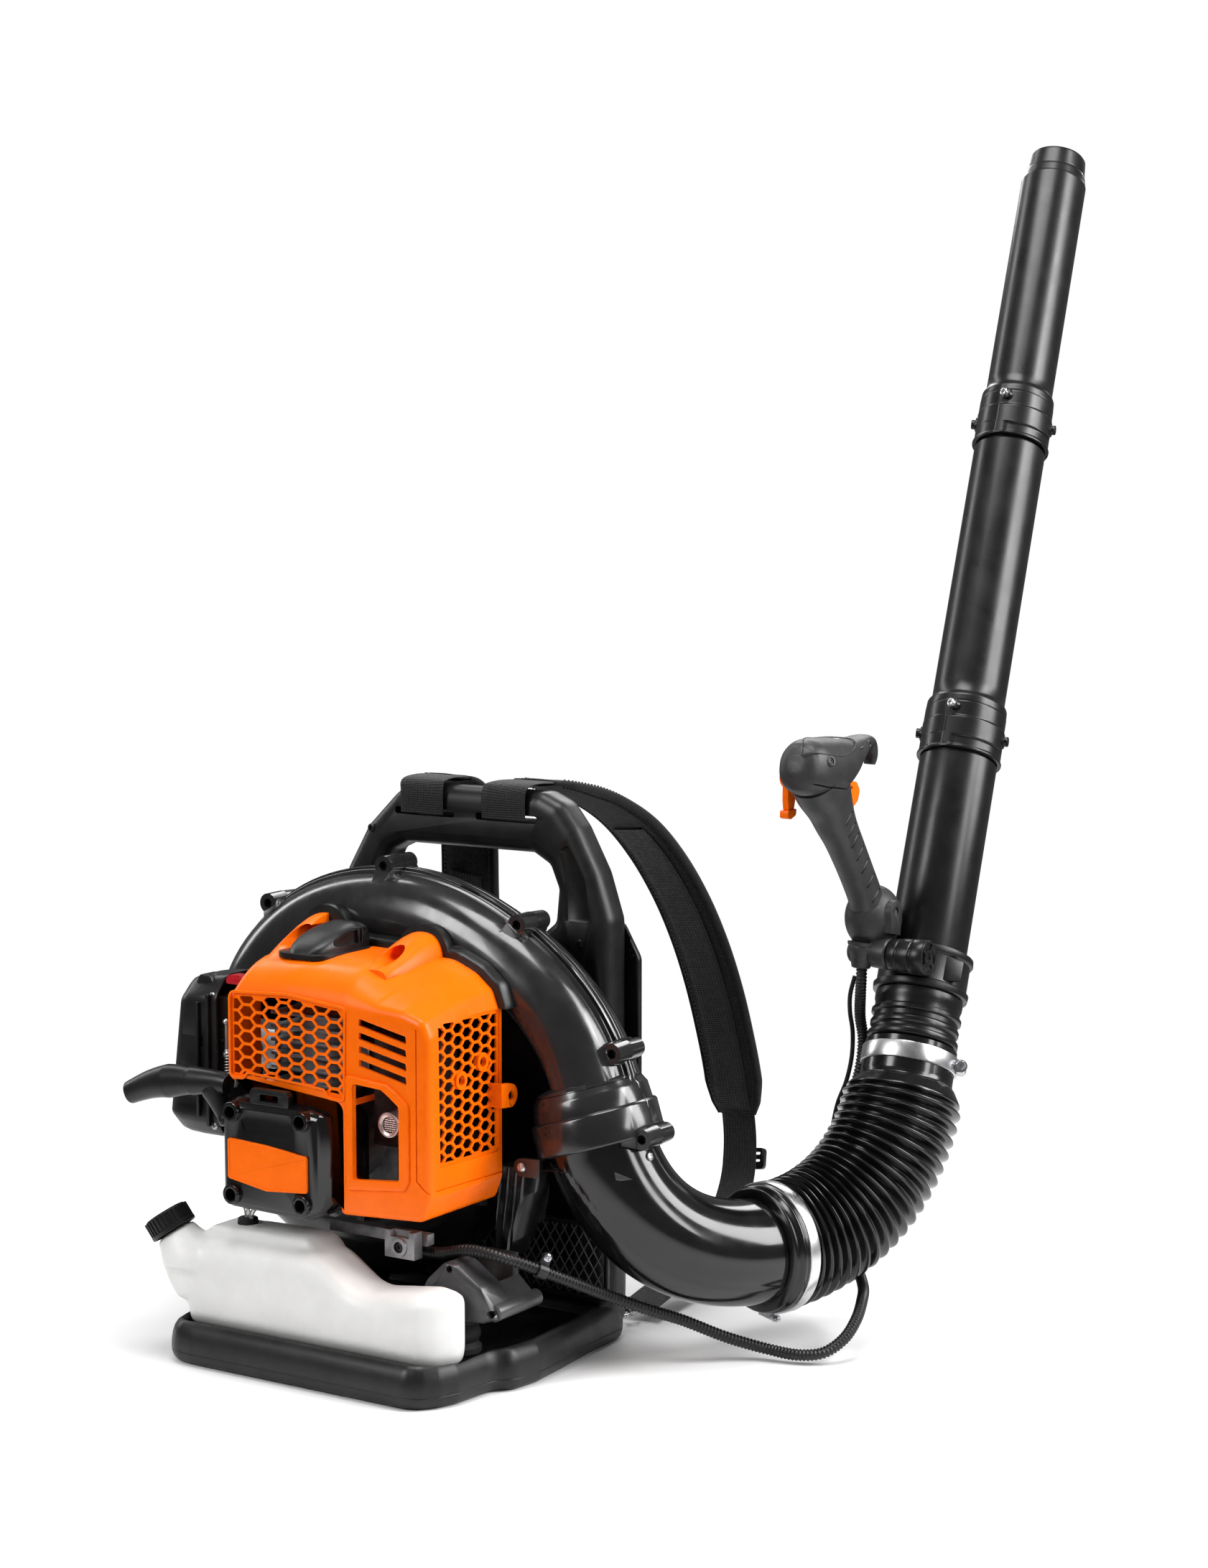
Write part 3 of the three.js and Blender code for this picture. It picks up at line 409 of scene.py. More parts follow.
def resample(points, count):
    run = lengths(points)
    return at_distance(np.linspace(0, run[-1], count), run, points)


def bezier(p0, p1, p2, p3, count):
    return resample(np.array([(1 - t) ** 3 * p0 + 3 * t * (1 - t) ** 2 * p1
                              + 3 * t * t * (1 - t) * p2 + t ** 3 * p3
                              for t in np.linspace(0, 1, 400)]), count)


def catmull(pts, count, per=24):
    """Centripetal Catmull-Rom curve through the points."""
    pts = [np.array(p, float) for p in pts]
    out = []
    for i in range(len(pts) - 1):
        p1, p2 = pts[i], pts[i + 1]
        p0 = pts[i - 1] if i > 0 else 2 * p1 - p2
        p3 = pts[i + 2] if i + 2 < len(pts) else 2 * p2 - p1
        d0, d1, d2 = (max(np.linalg.norm(b - a) ** 0.5, 1e-4)
                      for a, b in ((p0, p1), (p1, p2), (p2, p3)))
        start = ((p1 - p0) / d0 - (p2 - p0) / (d0 + d1) + (p2 - p1) / d1) * d1
        stop = ((p2 - p1) / d1 - (p3 - p1) / (d1 + d2) + (p3 - p2) / d2) * d1
        for k in range(per):
            t = k / per
            out.append((2 * t ** 3 - 3 * t * t + 1) * p1 + (t ** 3 - 2 * t * t + t) * start
                       + (-2 * t ** 3 + 3 * t * t) * p2 + (t ** 3 - t * t) * stop)
    out.append(pts[-1])
    return resample(np.array(out), count)


def sweep_frames(points, ref=None):
    """Tangent, side and third direction at each point, carried along without twist."""
    along_line = tangents(points)
    first = along_line[0]
    x = frame_of(first)[0] if ref is None else square_to(ref, first)
    sides = []
    for t in along_line:
        x = square_to(x, t)
        sides.append(x)
    sides = np.array(sides)
    return along_line, sides, np.cross(along_line, sides)


def tube(points, radius, n, cap=True, ref=None):
    """radius is a number, or a function of (fraction of the points, index)."""
    _, sides, ups = sweep_frames(points, ref)
    rings = []
    for k, p in enumerate(points):
        r = radius(k / (len(points) - 1), k) if callable(radius) else radius
        rings.append(ellipse(p, sides[k], ups[k], r, r, n))
    return loft(rings, cap)


def closed_tube(loop, count, radius, n):
    """Tube round a closed loop; its last ring is joined to its first."""
    part = tube(resample(np.array([*loop, loop[0]]), count)[:-1], radius, n, cap=False)
    bm = bmesh.new()
    bm.from_mesh(part.data)
    bm.verts.ensure_lookup_table()
    last = len(bm.verts) - n
    for i in range(n):
        j = (i + 1) % n
        bm.faces.new([bm.verts[last + i], bm.verts[last + j], bm.verts[j], bm.verts[i]])
    bmesh.ops.recalc_face_normals(bm, faces=bm.faces)
    bm.to_mesh(part.data)
    bm.free()
    return part


# ---------------------------------------------------------------- finishing
def dress(part, name, material):
    part.name = name
    part.data.name = name
    part.data.materials.clear()
    part.data.materials.append(material)
    for p in part.data.polygons:
        p.use_smooth = True


def done(part, name, material, body="chassis", angle=38, edge=0.0, replaces=None):
    """Last step for a piece: name, finish, edge rounding, shading and the body it rides on."""
    if edge:
        bevel(part, edge, 2, angle=max(30, angle - 4))
    dress(part, name, material)
    for p in part.data.polygons:
        p.material_index = 0
    part.data.set_sharp_from_angle(angle=math.radians(angle))
    if body:
        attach(part, body)
    if replaces:
        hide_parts(*([replaces] if isinstance(replaces, str) else replaces))
    return part


def screw(c, direction, r, h, kind="hex"):
    """Pan head with a hex or cross socket: c is on the surface, the direction points out."""
    c = np.array(c, float)
    x, y, d = frame_of(direction)
    head = lathe([(-1.5, r * 0.98), (0, r), (h * 0.6, r * 0.97), (h * 0.88, r * 0.8),
                  (h, r * 0.52), (h, 0.02)], c, d, 28)
    if kind == "hex":
        socket = loft([circle(c + d * s, d, r * 0.45, 6) for s in (h - 1.5, h + 1)])
    else:
        arm = rect(-r * 0.6, -r * 0.13, r * 0.6, r * 0.13)
        socket = slab(c, x, y, d, arm, h - 1.2, h + 1)
        plus(socket, slab(c, y, -x, d, arm, h - 1.2, h + 1))
    return minus(head, socket)


def add_screw(name, c, direction, r, h, material, kind="hex", body="chassis"):
    done(screw(c, direction, r, h, kind), name, material, body)


def node_box(node):
    """Low and high corners of a CAD piece."""
    obj = NODES[node]
    v = np.array([(obj.matrix_world @ q.co)[:] for q in obj.data.vertices]) / MM
    return v.min(0), v.max(0)


def nodes_like(prefix, word):
    """The first CAD piece with this prefix and word in its name, in a list."""
    return [n for n in NODES if n.startswith(prefix) and word in n][:1]


# ================================================================ materials
class Mat:
    """A material and short ways to add nodes to it."""

    def __init__(self, name):
        self.material = bpy.data.materials.new(name)
        self.material.use_nodes = True
        self.tree = self.material.node_tree
        self.tree.nodes.clear()
        self.out = self.node("ShaderNodeOutputMaterial")
        self.bsdf = self.node("ShaderNodeBsdfPrincipled")
        self.link(self.bsdf.outputs[0], self.out.inputs[0])
        self.coords = self.node("ShaderNodeTexCoord")

    def node(self, kind, **settings):
        node = self.tree.nodes.new(kind)
        for key, value in settings.items():
            setattr(node, key, value)
        return node

    def link(self, a, b):
        self.tree.links.new(a, b)

    def feed(self, node, **values):
        """Sets or links inputs by name, with _ for a space."""
        for key, value in values.items():
            self.put(node.inputs[key.replace("_", " ")], value)

    def put(self, socket, value):
        if isinstance(value, bpy.types.NodeSocket):
            self.link(value, socket)
        else:
            socket.default_value = value

    def noise(self, scale, detail=3, rough=0.5, distort=0.0, stretch=None):
        node = self.node("ShaderNodeTexNoise")
        self.feed(node, Scale=scale, Detail=detail, Roughness=rough, Distortion=distort)
        vector = self.coords.outputs["Object"]
        if stretch:
            mapping = self.node("ShaderNodeMapping")
            self.feed(mapping, Scale=stretch, Vector=vector)
            vector = mapping.outputs[0]
        self.link(vector, node.inputs["Vector"])
        return node.outputs["Fac"]

    def ramp(self, fac, lo, hi, a=0.35, b=0.65):
        """Maps the range a to b on to lo to hi."""
        node = self.node("ShaderNodeMapRange")
        self.feed(node, From_Min=a, From_Max=b, To_Min=lo, To_Max=hi, Value=fac)
        return node.outputs[0]

    def mix(self, fac, color_a, color_b):
        node = self.node("ShaderNodeMix", data_type="RGBA")
        self.link(fac, node.inputs[0])
        for socket, color in ((node.inputs[6], color_a), (node.inputs[7], color_b)):
            self.put(socket, (*color, 1) if isinstance(color, tuple) else color)
        return node.outputs[2]

    def math(self, operation, a, b):
        node = self.node("ShaderNodeMath", operation=operation)
        self.put(node.inputs[0], a)
        self.put(node.inputs[1], b)
        return node.outputs[0]

    def bump(self, height, strength, distance, under=None):
        node = self.node("ShaderNodeBump")
        self.feed(node, Strength=strength, Distance=distance, Height=height)
        if under is not None:
            self.link(under, node.inputs["Normal"])
        return node.outputs[0]


def shade(name, base, rough, metal=0.0, var=0.12, grain=(900, 0.12), orange_peel=0.0, coat=0.0,
          wear=0.0, wear_col=None, spec=0.5, brushed=None, sss=0.0, trans=0.0, mottling=45,
          dust=0.0):
    """Mottled surface. rough is a range, grain is (scale, strength), var is the color spread."""
    if max(base) < 0.02 and not metal:  # blacks are held deeper and less shiny
        base = tuple(c * 0.65 for c in base)
        spec *= 0.74
    m = Mat(name)
    patches = m.noise(scale=mottling, detail=4, rough=0.6)
    dark = tuple(c * (1 - var) for c in base)
    light = tuple(min(1, c * (1 + var) + 0.002) for c in base)
    color = m.mix(m.ramp(patches, lo=0, hi=1), dark, light)
    if wear:
        scuff = m.noise(scale=210, detail=6, rough=0.7, distort=1.2)
        amount = m.math("MULTIPLY", m.ramp(scuff, lo=0, hi=1, a=0.64, b=0.76), wear * 0.6)
        color = m.mix(amount, color, wear_col or tuple(min(1, c * 1.8 + 0.05) for c in base))
    if dust:  # settles on faces that look up
        geometry = m.node("ShaderNodeNewGeometry")
        split = m.node("ShaderNodeSeparateXYZ")
        m.link(geometry.outputs["Normal"], split.inputs[0])
        upward = m.ramp(split.outputs["Z"], lo=0, hi=1, a=0.3, b=1.0)
        specks = m.ramp(m.noise(scale=120, detail=6, rough=0.7), lo=0, hi=1, a=0.35, b=0.75)
        amount = m.math("MULTIPLY", m.math("MULTIPLY", upward, specks), dust)
        color = m.mix(amount, color, (0.30, 0.28, 0.25))
    smudge = m.noise(scale=28, detail=5, rough=0.62, distort=0.4)
    m.feed(m.bsdf, Base_Color=color, Roughness=m.ramp(smudge, *rough), Metallic=metal,
           Specular_IOR_Level=spec, IOR=1.5, Coat_Weight=coat, Coat_Roughness=0.06)
    normal = None
    if orange_peel:
        normal = m.bump(m.noise(scale=150, detail=2, rough=0.4), orange_peel, distance=0.0004)
    normal = m.bump(m.noise(scale=grain[0], detail=3, rough=0.55), grain[1], distance=0.00025,
                    under=normal)
    if brushed:
        lines = m.noise(scale=1.0, detail=2, rough=0.5, stretch=brushed)
        normal = m.bump(lines, strength=0.04, distance=0.0001, under=normal)
    m.feed(m.bsdf, Normal=normal)
    if sss:
        m.feed(m.bsdf, Subsurface_Weight=sss, Subsurface_Radius=(1, 1, 0.95),
               Subsurface_Scale=0.012)
    if trans:
        m.feed(m.bsdf, Transmission_Weight=trans)
    return m.material


def fabric(name, base, kind):
    """Woven or knitted cloth in the piece's own UV metres."""
    m = Mat(name)
    uv = m.coords.outputs["UV"]

    def wave(direction, scale):
        node = m.node("ShaderNodeTexWave", bands_direction=direction)
        m.feed(node, Scale=scale, Vector=uv)
        return node.outputs["Fac"]

    rough, strength = (0.8, 0.95), 0.9
    if kind == "webbing":
        warp = wave("X", scale=95)
        weft = wave("Y", scale=150)
        height = m.math("ADD", m.math("MULTIPLY", warp, 0.55), m.math("MULTIPLY", weft, 0.6))
        rough = (0.62, 0.8)
    elif kind == "mesh":
        cells = m.node("ShaderNodeTexVoronoi", feature="F1")
        m.feed(cells, Scale=420, Randomness=0.25, Vector=uv)
        height = m.ramp(cells.outputs["Distance"], lo=0, hi=1, a=0.12, b=0.5)
    else:
        height = m.noise(scale=1400, detail=3)
        strength = 0.6
    # painted shade and painted highlight: following the weave height, the hollows and holes are
    # painted darker and the thread crests lighter than the yarn's own colour
    shadow = tuple(c * 0.45 for c in base)
    crest = tuple(min(1, c * 1.5 + 0.004) for c in base)
    faded = tuple(min(1, c * 1.9 + 0.004) for c in base)
    color = m.mix(m.ramp(height, lo=0, hi=1, a=0.1, b=0.9), shadow, crest)
    color = m.mix(m.ramp(m.noise(scale=60, detail=4), lo=0.0, hi=0.3), color, faded)
    m.feed(m.bsdf, Base_Color=color, Roughness=m.ramp(m.noise(scale=300, detail=3), *rough),
           Sheen_Weight=0.08, Sheen_Roughness=0.5, Specular_IOR_Level=0.3)
    fuzz = m.noise(scale=2500, detail=2)
    threads = m.bump(height, strength, distance=0.0005)
    m.feed(m.bsdf, Normal=m.bump(fuzz, strength=0.25, distance=0.0002, under=threads))
    return m.material


def smoky(name):
    """Dark glossy moulding."""
    m = Mat(name)
    color = m.mix(m.ramp(m.noise(scale=14, detail=5, rough=0.6), lo=0, hi=1),
                  (0.009, 0.009, 0.0095), (0.017, 0.017, 0.018))
    smudge = m.noise(scale=35, detail=5, rough=0.6, distort=0.5)
    m.feed(m.bsdf, Base_Color=color, Roughness=m.ramp(smudge, lo=0.16, hi=0.27),
           Coat_Weight=0.25, Coat_Roughness=0.08, Specular_IOR_Level=0.5)
    grain = m.noise(scale=1100, detail=3)
    m.feed(m.bsdf, Normal=m.bump(grain, strength=0.03, distance=0.0002))
    return m.material


ORANGE = shade("orange_moulding", base=(0.97, 0.146, 0.0001), rough=(0.24, 0.33), var=0.03,
               grain=(1300, 0.05), spec=0.16)
FRAME = shade("frame_black", base=(0.008, 0.008, 0.0083), rough=(0.33, 0.44), var=0.25,
              grain=(900, 0.28), wear=0.2, wear_col=(0.04, 0.04, 0.04), dust=0.02)
SMOKE = smoky("smoky_moulding")
GLOSS = shade("gloss_black", base=(0.006, 0.006, 0.0065), rough=(0.09, 0.17), var=0.2,
              grain=(1400, 0.02), orange_peel=0.008, coat=0.2, wear=0.15,
              wear_col=(0.05, 0.05, 0.05), spec=0.6)
SATIN = shade("satin_black", base=(0.008, 0.008, 0.0083), rough=(0.30, 0.42), var=0.2,
              grain=(1000, 0.3), wear=0.3, wear_col=(0.06, 0.06, 0.06))
MATTE = shade("matte_black", base=(0.010, 0.010, 0.0105), rough=(0.55, 0.7), var=0.2,
              grain=(900, 0.4), wear=0.2)
TUBE_BLACK = shade("tube_black", base=(0.006, 0.006, 0.0063), rough=(0.27, 0.34), var=0.2,
                   grain=(1500, 0.07), wear=0.25, wear_col=(0.05, 0.05, 0.05), spec=0.55)
HOSE = shade("hose_black", base=(0.006, 0.006, 0.0062), rough=(0.15, 0.24), var=0.2,
             grain=(900, 0.05), coat=0.1, spec=0.6)
CONDUIT = shade("conduit_black", base=(0.013, 0.013, 0.0135), rough=(0.3, 0.42), var=0.2,
                grain=(1500, 0.2))
RUBBER = shade("rubber_black", base=(0.010, 0.010, 0.010), rough=(0.6, 0.78), var=0.25,
               grain=(700, 0.5), dust=0.08)
HANDLE = shade("handle_grey", base=(0.0205, 0.0205, 0.0215), rough=(0.40, 0.52), var=0.18,
               grain=(850, 0.55), orange_peel=0.05, wear=0.35, wear_col=(0.07, 0.07, 0.07))
STEEL = shade("bright_steel", base=(0.66, 0.66, 0.67), rough=(0.24, 0.36), metal=1.0, var=0.08,
              grain=(1800, 0.06), brushed=(60, 60, 1600), mottling=90)
ZINC = shade("zinc_steel", base=(0.48, 0.48, 0.50), rough=(0.2, 0.38), metal=1.0, var=0.14,
             grain=(900, 0.12), mottling=160, wear=0.2, wear_col=(0.7, 0.7, 0.7))
DARK_STEEL = shade("dark_steel", base=(0.05, 0.045, 0.045), rough=(0.4, 0.6), metal=0.8, var=0.3,
                   grain=(700, 0.3), mottling=120, wear=0.4, wear_col=(0.22, 0.21, 0.2))
BLACK_SCREW = shade("black_screw", base=(0.012, 0.012, 0.013), rough=(0.25, 0.4), metal=0.4,
                    var=0.2, grain=(900, 0.15), wear=0.4, wear_col=(0.2, 0.2, 0.2))
CAST = shade("cast_alloy", base=(0.26, 0.265, 0.275), rough=(0.42, 0.6), metal=0.85, var=0.15,
             grain=(420, 0.7), mottling=110, wear=0.4, wear_col=(0.55, 0.55, 0.56))
ALLOY = shade("machined_alloy", base=(0.46, 0.47, 0.48), rough=(0.28, 0.42), metal=0.95, var=0.1,
              grain=(600, 0.3), mottling=110)
BRACKET = shade("bracket_alloy", base=(0.30, 0.30, 0.31), rough=(0.34, 0.5), metal=0.9, var=0.15,
                grain=(520, 0.5), mottling=90, wear=0.3, wear_col=(0.5, 0.5, 0.5))
TANK = shade("tank_milky", base=(0.72, 0.72, 0.71), rough=(0.34, 0.46), var=0.025,
             grain=(800, 0.18), orange_peel=0.08, sss=0.35, spec=0.4)
CLEAR = shade("clear_plastic", base=(0.62, 0.64, 0.62), rough=(0.08, 0.16), var=0.06,
              grain=(900, 0.05), trans=0.7, coat=0.4)
RED = shade("choke_red", base=(0.42, 0.004, 0.012), rough=(0.25, 0.36), var=0.1,
            grain=(1100, 0.1), wear=0.25)
FOAM = shade("filter_foam", base=(0.02, 0.02, 0.018), rough=(0.9, 1.0), var=0.3,
             grain=(260, 1.0))
EXHAUST = shade("exhaust_steel", base=(0.60, 0.46, 0.43), rough=(0.28, 0.44), metal=1.0, var=0.2,
                grain=(900, 0.15), mottling=140)
WIRE = shade("net_wire", base=(0.085, 0.085, 0.088), rough=(0.3, 0.45), var=0.2,
             grain=(900, 0.1))
SMOKY_FOOT = shade("smoky_foot", base=(0.040, 0.040, 0.042), rough=(0.26, 0.38), var=0.25,
                   grain=(1100, 0.05), spec=0.6, mottling=30)
SOOT = shade("sooty_steel", base=(0.05, 0.036, 0.034), rough=(0.45, 0.62), metal=0.7, var=0.3,
             grain=(700, 0.2), mottling=80)
WEBBING = fabric("webbing_weave", base=(0.006, 0.006, 0.0064), kind="webbing")
AIR_MESH = fabric("air_mesh", base=(0.004, 0.004, 0.0042), kind="mesh")
BINDING = fabric("edge_binding", base=(0.0045, 0.0045, 0.0045), kind="plain")

# ================================================================ engine cover
COVER_BACK = 9.0
HUMPS = ((-70, 375, 9.6), (39, 367.5, 8.2))  # x, height and half height of the screw tunnel
# y, crown height, half width
HUMP_STATIONS = [
    (-86, 352, 7), (-78, 356, 10), (-68, 361.5, 14), (-56, 367.5, 17.5), (-44, 373.5, 20),
    (-32, 379.5, 21.5), (-20, 385, 22.5), (-8, 389.5, 23), (0, 391.3, 23), (9, 392, 23)]


def cover_ring(y, grow=0.0):
    """Section of the cover in (x, z). Its roof rises from the -Y end."""
    t = min(1.0, max(0.0, (y + 100) / 109))
    left, right = (1 - t) ** 6, (1 - t) ** 1.7

    def roof(x0, z0, x1, z1, w):
        return (x1 + (x0 - x1) * w, z1 + (z0 - z1) * w)
    pts = [(24, 146), (113, 151), (121, 172), roof(121, 311, 121, 322, right),
           roof(114, 325, 115, 338, right), roof(93, 331, 98, 352, right),
           roof(62, 333, 74, 362, right), roof(32, 334.5, 30, 364, left),
           roof(-32, 339, -30, 366, left), roof(-88, 335.5, -84, 364, left),
           roof(-99.5, 322, -99, 344, left), (-99, 252), (24, 241)]
    out = fillet(pts, [6, 9, 12, 12, 12, 26, 30, 40, 60, 12, 14, 5, 5], 6)
    return offset(out, -grow) if grow else out


def cover_body(grow=0.0, y0=-100.0, rounding=5.5):
    rings = []
    for f, inset in [(0, 1.0), (0.12, 0.52), (0.35, 0.24), (0.65, 0.07), (1.0, 0.0)]:
        y = y0 + f * rounding
        rings.append([(a, y, b) for a, b in offset(cover_ring(y, grow), inset * rounding)])
    for y in (-90, -84, -76, -66, -54, -40, -25, -10, COVER_BACK):
        if y0 + rounding < y:
            rings.append([(a, y, b) for a, b in cover_ring(y, grow)])
    return loft(rings)


def hump(x):
    rings = []
    height = 0.80 if x > 0 else 1.0
    for y, top, w in HUMP_STATIONS:
        if x > 0 and y < -70:
            continue
        ring = [(x - w - 4, y, 344), (x + w + 4, y, 344)]
        for k in range(19):
            a = math.pi * k / 18
            ring.append((x + w * signed_power(math.cos(a), 0.8), y,
                         350 + (top - 350) * height * abs(math.sin(a)) ** 0.72))
        rings.append(ring)
    return loft(rings)


def hexes(columns, rows, pitch, half, start, window, axis, near, far):
    """Hexagonal holes, pointed along their first direction, clipped to a window."""
    verts, faces = [], []
    hw, hh = half
    for i in range(columns):
        for j in range(rows):
            u = start[0] + i * pitch[0]
            v = start[1] + j * pitch[1] + (pitch[1] / 2 if i % 2 else 0)
            poly = clip([(u - hw, v), (u - hw * 0.46, v - hh), (u + hw * 0.46, v - hh),
                         (u + hw, v), (u + hw * 0.46, v + hh), (u - hw * 0.46, v + hh)], window)
            if len(poly) < 3 or abs(area(poly)) < 14:
                continue
            faces += prism_faces(len(poly), len(verts))
            verts += [placed(axis, a, b, d) for d in (near, far) for a, b in poly]
    return mesh_obj(verts, faces)


def groove(start, stop, normal, w=1.1, depth=1.2):
    """Cuts a straight parting groove in the cover."""
    start = np.array(start, float)
    run = np.array(stop, float) - start
    d = unit(run)
    minus(cover, slab(start, np.cross(d, normal), normal, d, rect(-w / 2, -depth, w / 2, 3),
                      -w / 2, np.linalg.norm(run) + w / 2))


cover = cover_body()
for x, _, _ in HUMPS:
    plus(cover, hump(x))
minus(cover, cover_body(grow=-3.2, y0=-97, rounding=4), box(-140, 8.5, 100, 160, 40, 400))
for x, z, half_height in HUMPS:  # screw tunnels bored level into the sloping humps
    minus(cover, loft([circle((x, y, z), Y_AXIS, 9.6, 40, ry=half_height) for y in (-100, -7)]))
    minus(cover, rod((x, -8, z), (x, 12, z), 3.2, 20))
# openings in the underside and the -X wall
minus(cover, box(-96, -86, 228, 22, 30, 262), box(-110, -58, 240, -90, 30, 318),
      box(10, -86, 140, 62, 30, 240))
# cut in the roof where the ignition cap sits
minus(cover, plate(rect(-66, -64, -16, 30), 14, 6, "z", 340, 410))
# front grille: sunk panel with a raised border
front_panel = fillet([(-95, 257), (-82, 257), (-77, 263), (10, 257), (14, 250), (29.5, 249),
                      (31, 328), (-32, 334), (-95, 331)], [4, 4, 4, 4, 4, 4, 4, 40, 5], 4)
border = prism(offset(front_panel, -2.6), "y", -101.3, -98)
minus(border, prism(offset(front_panel, -0.2), "y", -110, -90))
bevel(border, 0.7, 2)
plus(cover, border)
minus(cover, prism(front_panel, "y", -104, -98.4))
# louvres, slanting down towards +X
for i in range(4):
    z = 322 - i * 11.8
    minus(cover, plate([(47, z), (47, z - 6.2), (98, z - 17.5), (97, z - 10.6)], 1.2, 3,
                       "y", -104, -90))
# exhaust window with its raised frame
lip = plate([(33, 170), (96, 177), (101, 186), (101, 252), (88, 262), (78, 268), (33, 272)],
            [4, 5, 5, 6, 6, 5, 4], 4, "y", -102.6, -97)
bevel(lip, 1.6, 3)
plus(cover, lip)
minus(cover, plate([(41, 180), (91, 185), (91, 250), (80, 258), (72, 263), (41, 265)],
                   [3, 3, 4, 5, 5, 3], 4, "y", -110, -80))
# sunk panel in the +X side
minus(cover, plate([(-84, 197), (4, 195), (5, 322), (-86, 324)], 5, 4, "x", 119.6, 125))
# side ear for a screw, standing off the +Y edge
ear = prism([(-9, 237), (6, 235.6)] + arc(5, 246, 10.5, -math.pi / 2, math.pi / 2, 15)
            + [(-2, 257), (-9, 258.5)], "x", 119, 133)
minus(ear, box(110, -1.5, 225, 126.5, 30, 270))
bevel(ear, 1.5, 3)
plus(cover, ear)
minus(cover, rod((120, 6, 246), (140, 6, 246), 4.4, 24))
groove((121, -90, 178), (121, 9, 176), X_AXIS)
groove((108, -100, 187), (108, -100, 318), Y_AXIS)
groove((108, -100, 187), (121, -100, 176), Y_AXIS)
bevel(cover, 0.8, 2, angle=50)
minus(cover, hexes(10, 8, pitch=(13.9, 11.75), half=(7.9, 4.65), start=(-92.5, 251.0),
                   window=[(-93.5, 259.5), (29, 252.5), (29.6, 325.5), (-32, 331.5),
                           (-93.5, 328.5)], axis="y", near=-101, far=-88))
minus(cover, hexes(9, 13, pitch=(13.6, 10.9), half=(7.4, 4.3), start=(-82.0, 194.0),
                   window=[(-81.5, 200), (1.5, 198), (2.5, 319), (-83.5, 321)],
                   axis="x", near=112, far=122))
for y, z in ((-52, 268), (-20, 279)):  # bosses in the side grille
    plus(cover, rod((116.5, y, z), (121.5, y, z), 8.2, 28))
    minus(cover, rod((110, y, z), (123, y, z), 4.6, 24))
done(cover, "engine_cover_shell", ORANGE, angle=32, replaces="engine_cover")
add_screw("cover_side_screw", (129, 6, 246), X_AXIS, 4.1, 2.2, BLACK_SCREW)
for i, (x, z, _) in enumerate(HUMPS):
    add_screw(f"cover_tunnel_screw_{i}", (x, -8, z), -Y_AXIS, 4.6, 3.0, BLACK_SCREW)

# black trim along the cover's +Y edge, between it and the fan housing
trim = stack(cover_ring(COVER_BACK), [(-3.5, 4), (-6.3, 4.4), (-7.5, 6), (-9.5, 15.5)], "y")
for x, rx, rz in ((-70, 31, 37), (39, 28, 28)):
    plus(trim, prism([(x - 31, 350)] + arc(x, 362, rx, math.pi, 0, 25, ry=rz)
                     + [(x + 31, 350)], "y", 4.2, 15.2))
minus(trim, box(100, -10, 100, 170, 40, 322), box(-96, -10, 100, 20, 40, 243),
      box(-85, -10, 160, 108, 40, 340))
bevel(trim, 1.2, 3, angle=45)
done(trim, "cover_trim", SATIN, angle=35)

# ignition lead cap in the roof: a crowned shell with a recess in its +X side
# y, half width, bottom z, top z
CAP_STATIONS = [
    (-72, 5, 362, 364), (-71, 9, 360, 367), (-66, 15, 359, 371.5), (-58, 19.5, 358, 376),
    (-46, 22.5, 357, 381), (-32, 24, 357, 385), (-18, 24, 357, 387.5), (-6, 23.5, 357, 388.5),
    (2, 22.5, 357, 387), (5, 20, 358, 384)]
rings = []
for y, w, low, top in CAP_STATIONS:
    ring = []
    for a in turn(40):
        lift = math.sin(a)
        ring.append((-41 + w * signed_power(math.cos(a), 0.7), y, (top + low) / 2
                     + (top - low) / 2 * signed_power(lift, 0.75 if lift > 0 else 0.3)))
    rings.append(ring)
cap = loft(rings)
plus(cap, plate([(-69, -74), (-13, -74), (-11, 4), (-71, 4)], 18, 8, "z", 362, 366.5))
minus(cap, plate([(-52, 371), (-8, 371), (-8, 381.5), (-40, 384)], 4, 4, "x", -21.5, -10))
for k in range(3):
    plus(cap, box(-24, -14 + k * 5 - 1.0, 370, -17.6 - k * 0.4, -14 + k * 5 + 1.0, 384.5))
bevel(cap, 1.1, 3, angle=40)
done(cap, "ignition_cap", SATIN, angle=40, replaces="spark_plug_cover")

# ================================================================ fan housing
# volute wall: angle in degrees, radius from the fan axis
SPIRAL = [(352, 145), (331, 143.5), (310, 141.5), (290, 140.5), (270, 141), (250, 144),
          (235, 149), (220, 157), (205, 168), (190, 181), (175, 194), (160, 207), (147, 218),
          (134, 228), (114.5, 235.5), (89, 240.5), (68.5, 248), (54.7, 254), (38.6, 266),
          (24.6, 277), (8, 281)]
# outlet corners: x, z and the inward direction
OUTLET_WALL = [(243, 212, -0.97, -0.05), (234, 206, -0.95, 0.0), (152, 182, 0.95, 0.0),
               (140, 184, 0.95, -0.05)]
wall_angles = np.linspace(352, 8, 132)
wall_radii = np.interp(wall_angles, *np.array(SPIRAL[::-1], float).T)
for _ in range(10):  # ease the corners out of the spiral
    wall_radii[1:-1] = (wall_radii[:-2] + 2 * wall_radii[1:-1] + wall_radii[2:]) / 4
WALL = []
for a, r in zip(np.radians(wall_angles), wall_radii):
    c, s = math.cos(a), math.sin(a)
    WALL.append((FAN_X + r * c, FAN_Z + r * s, -c, -s))
SPIRAL_COUNT = len(WALL)
WALL += OUTLET_WALL


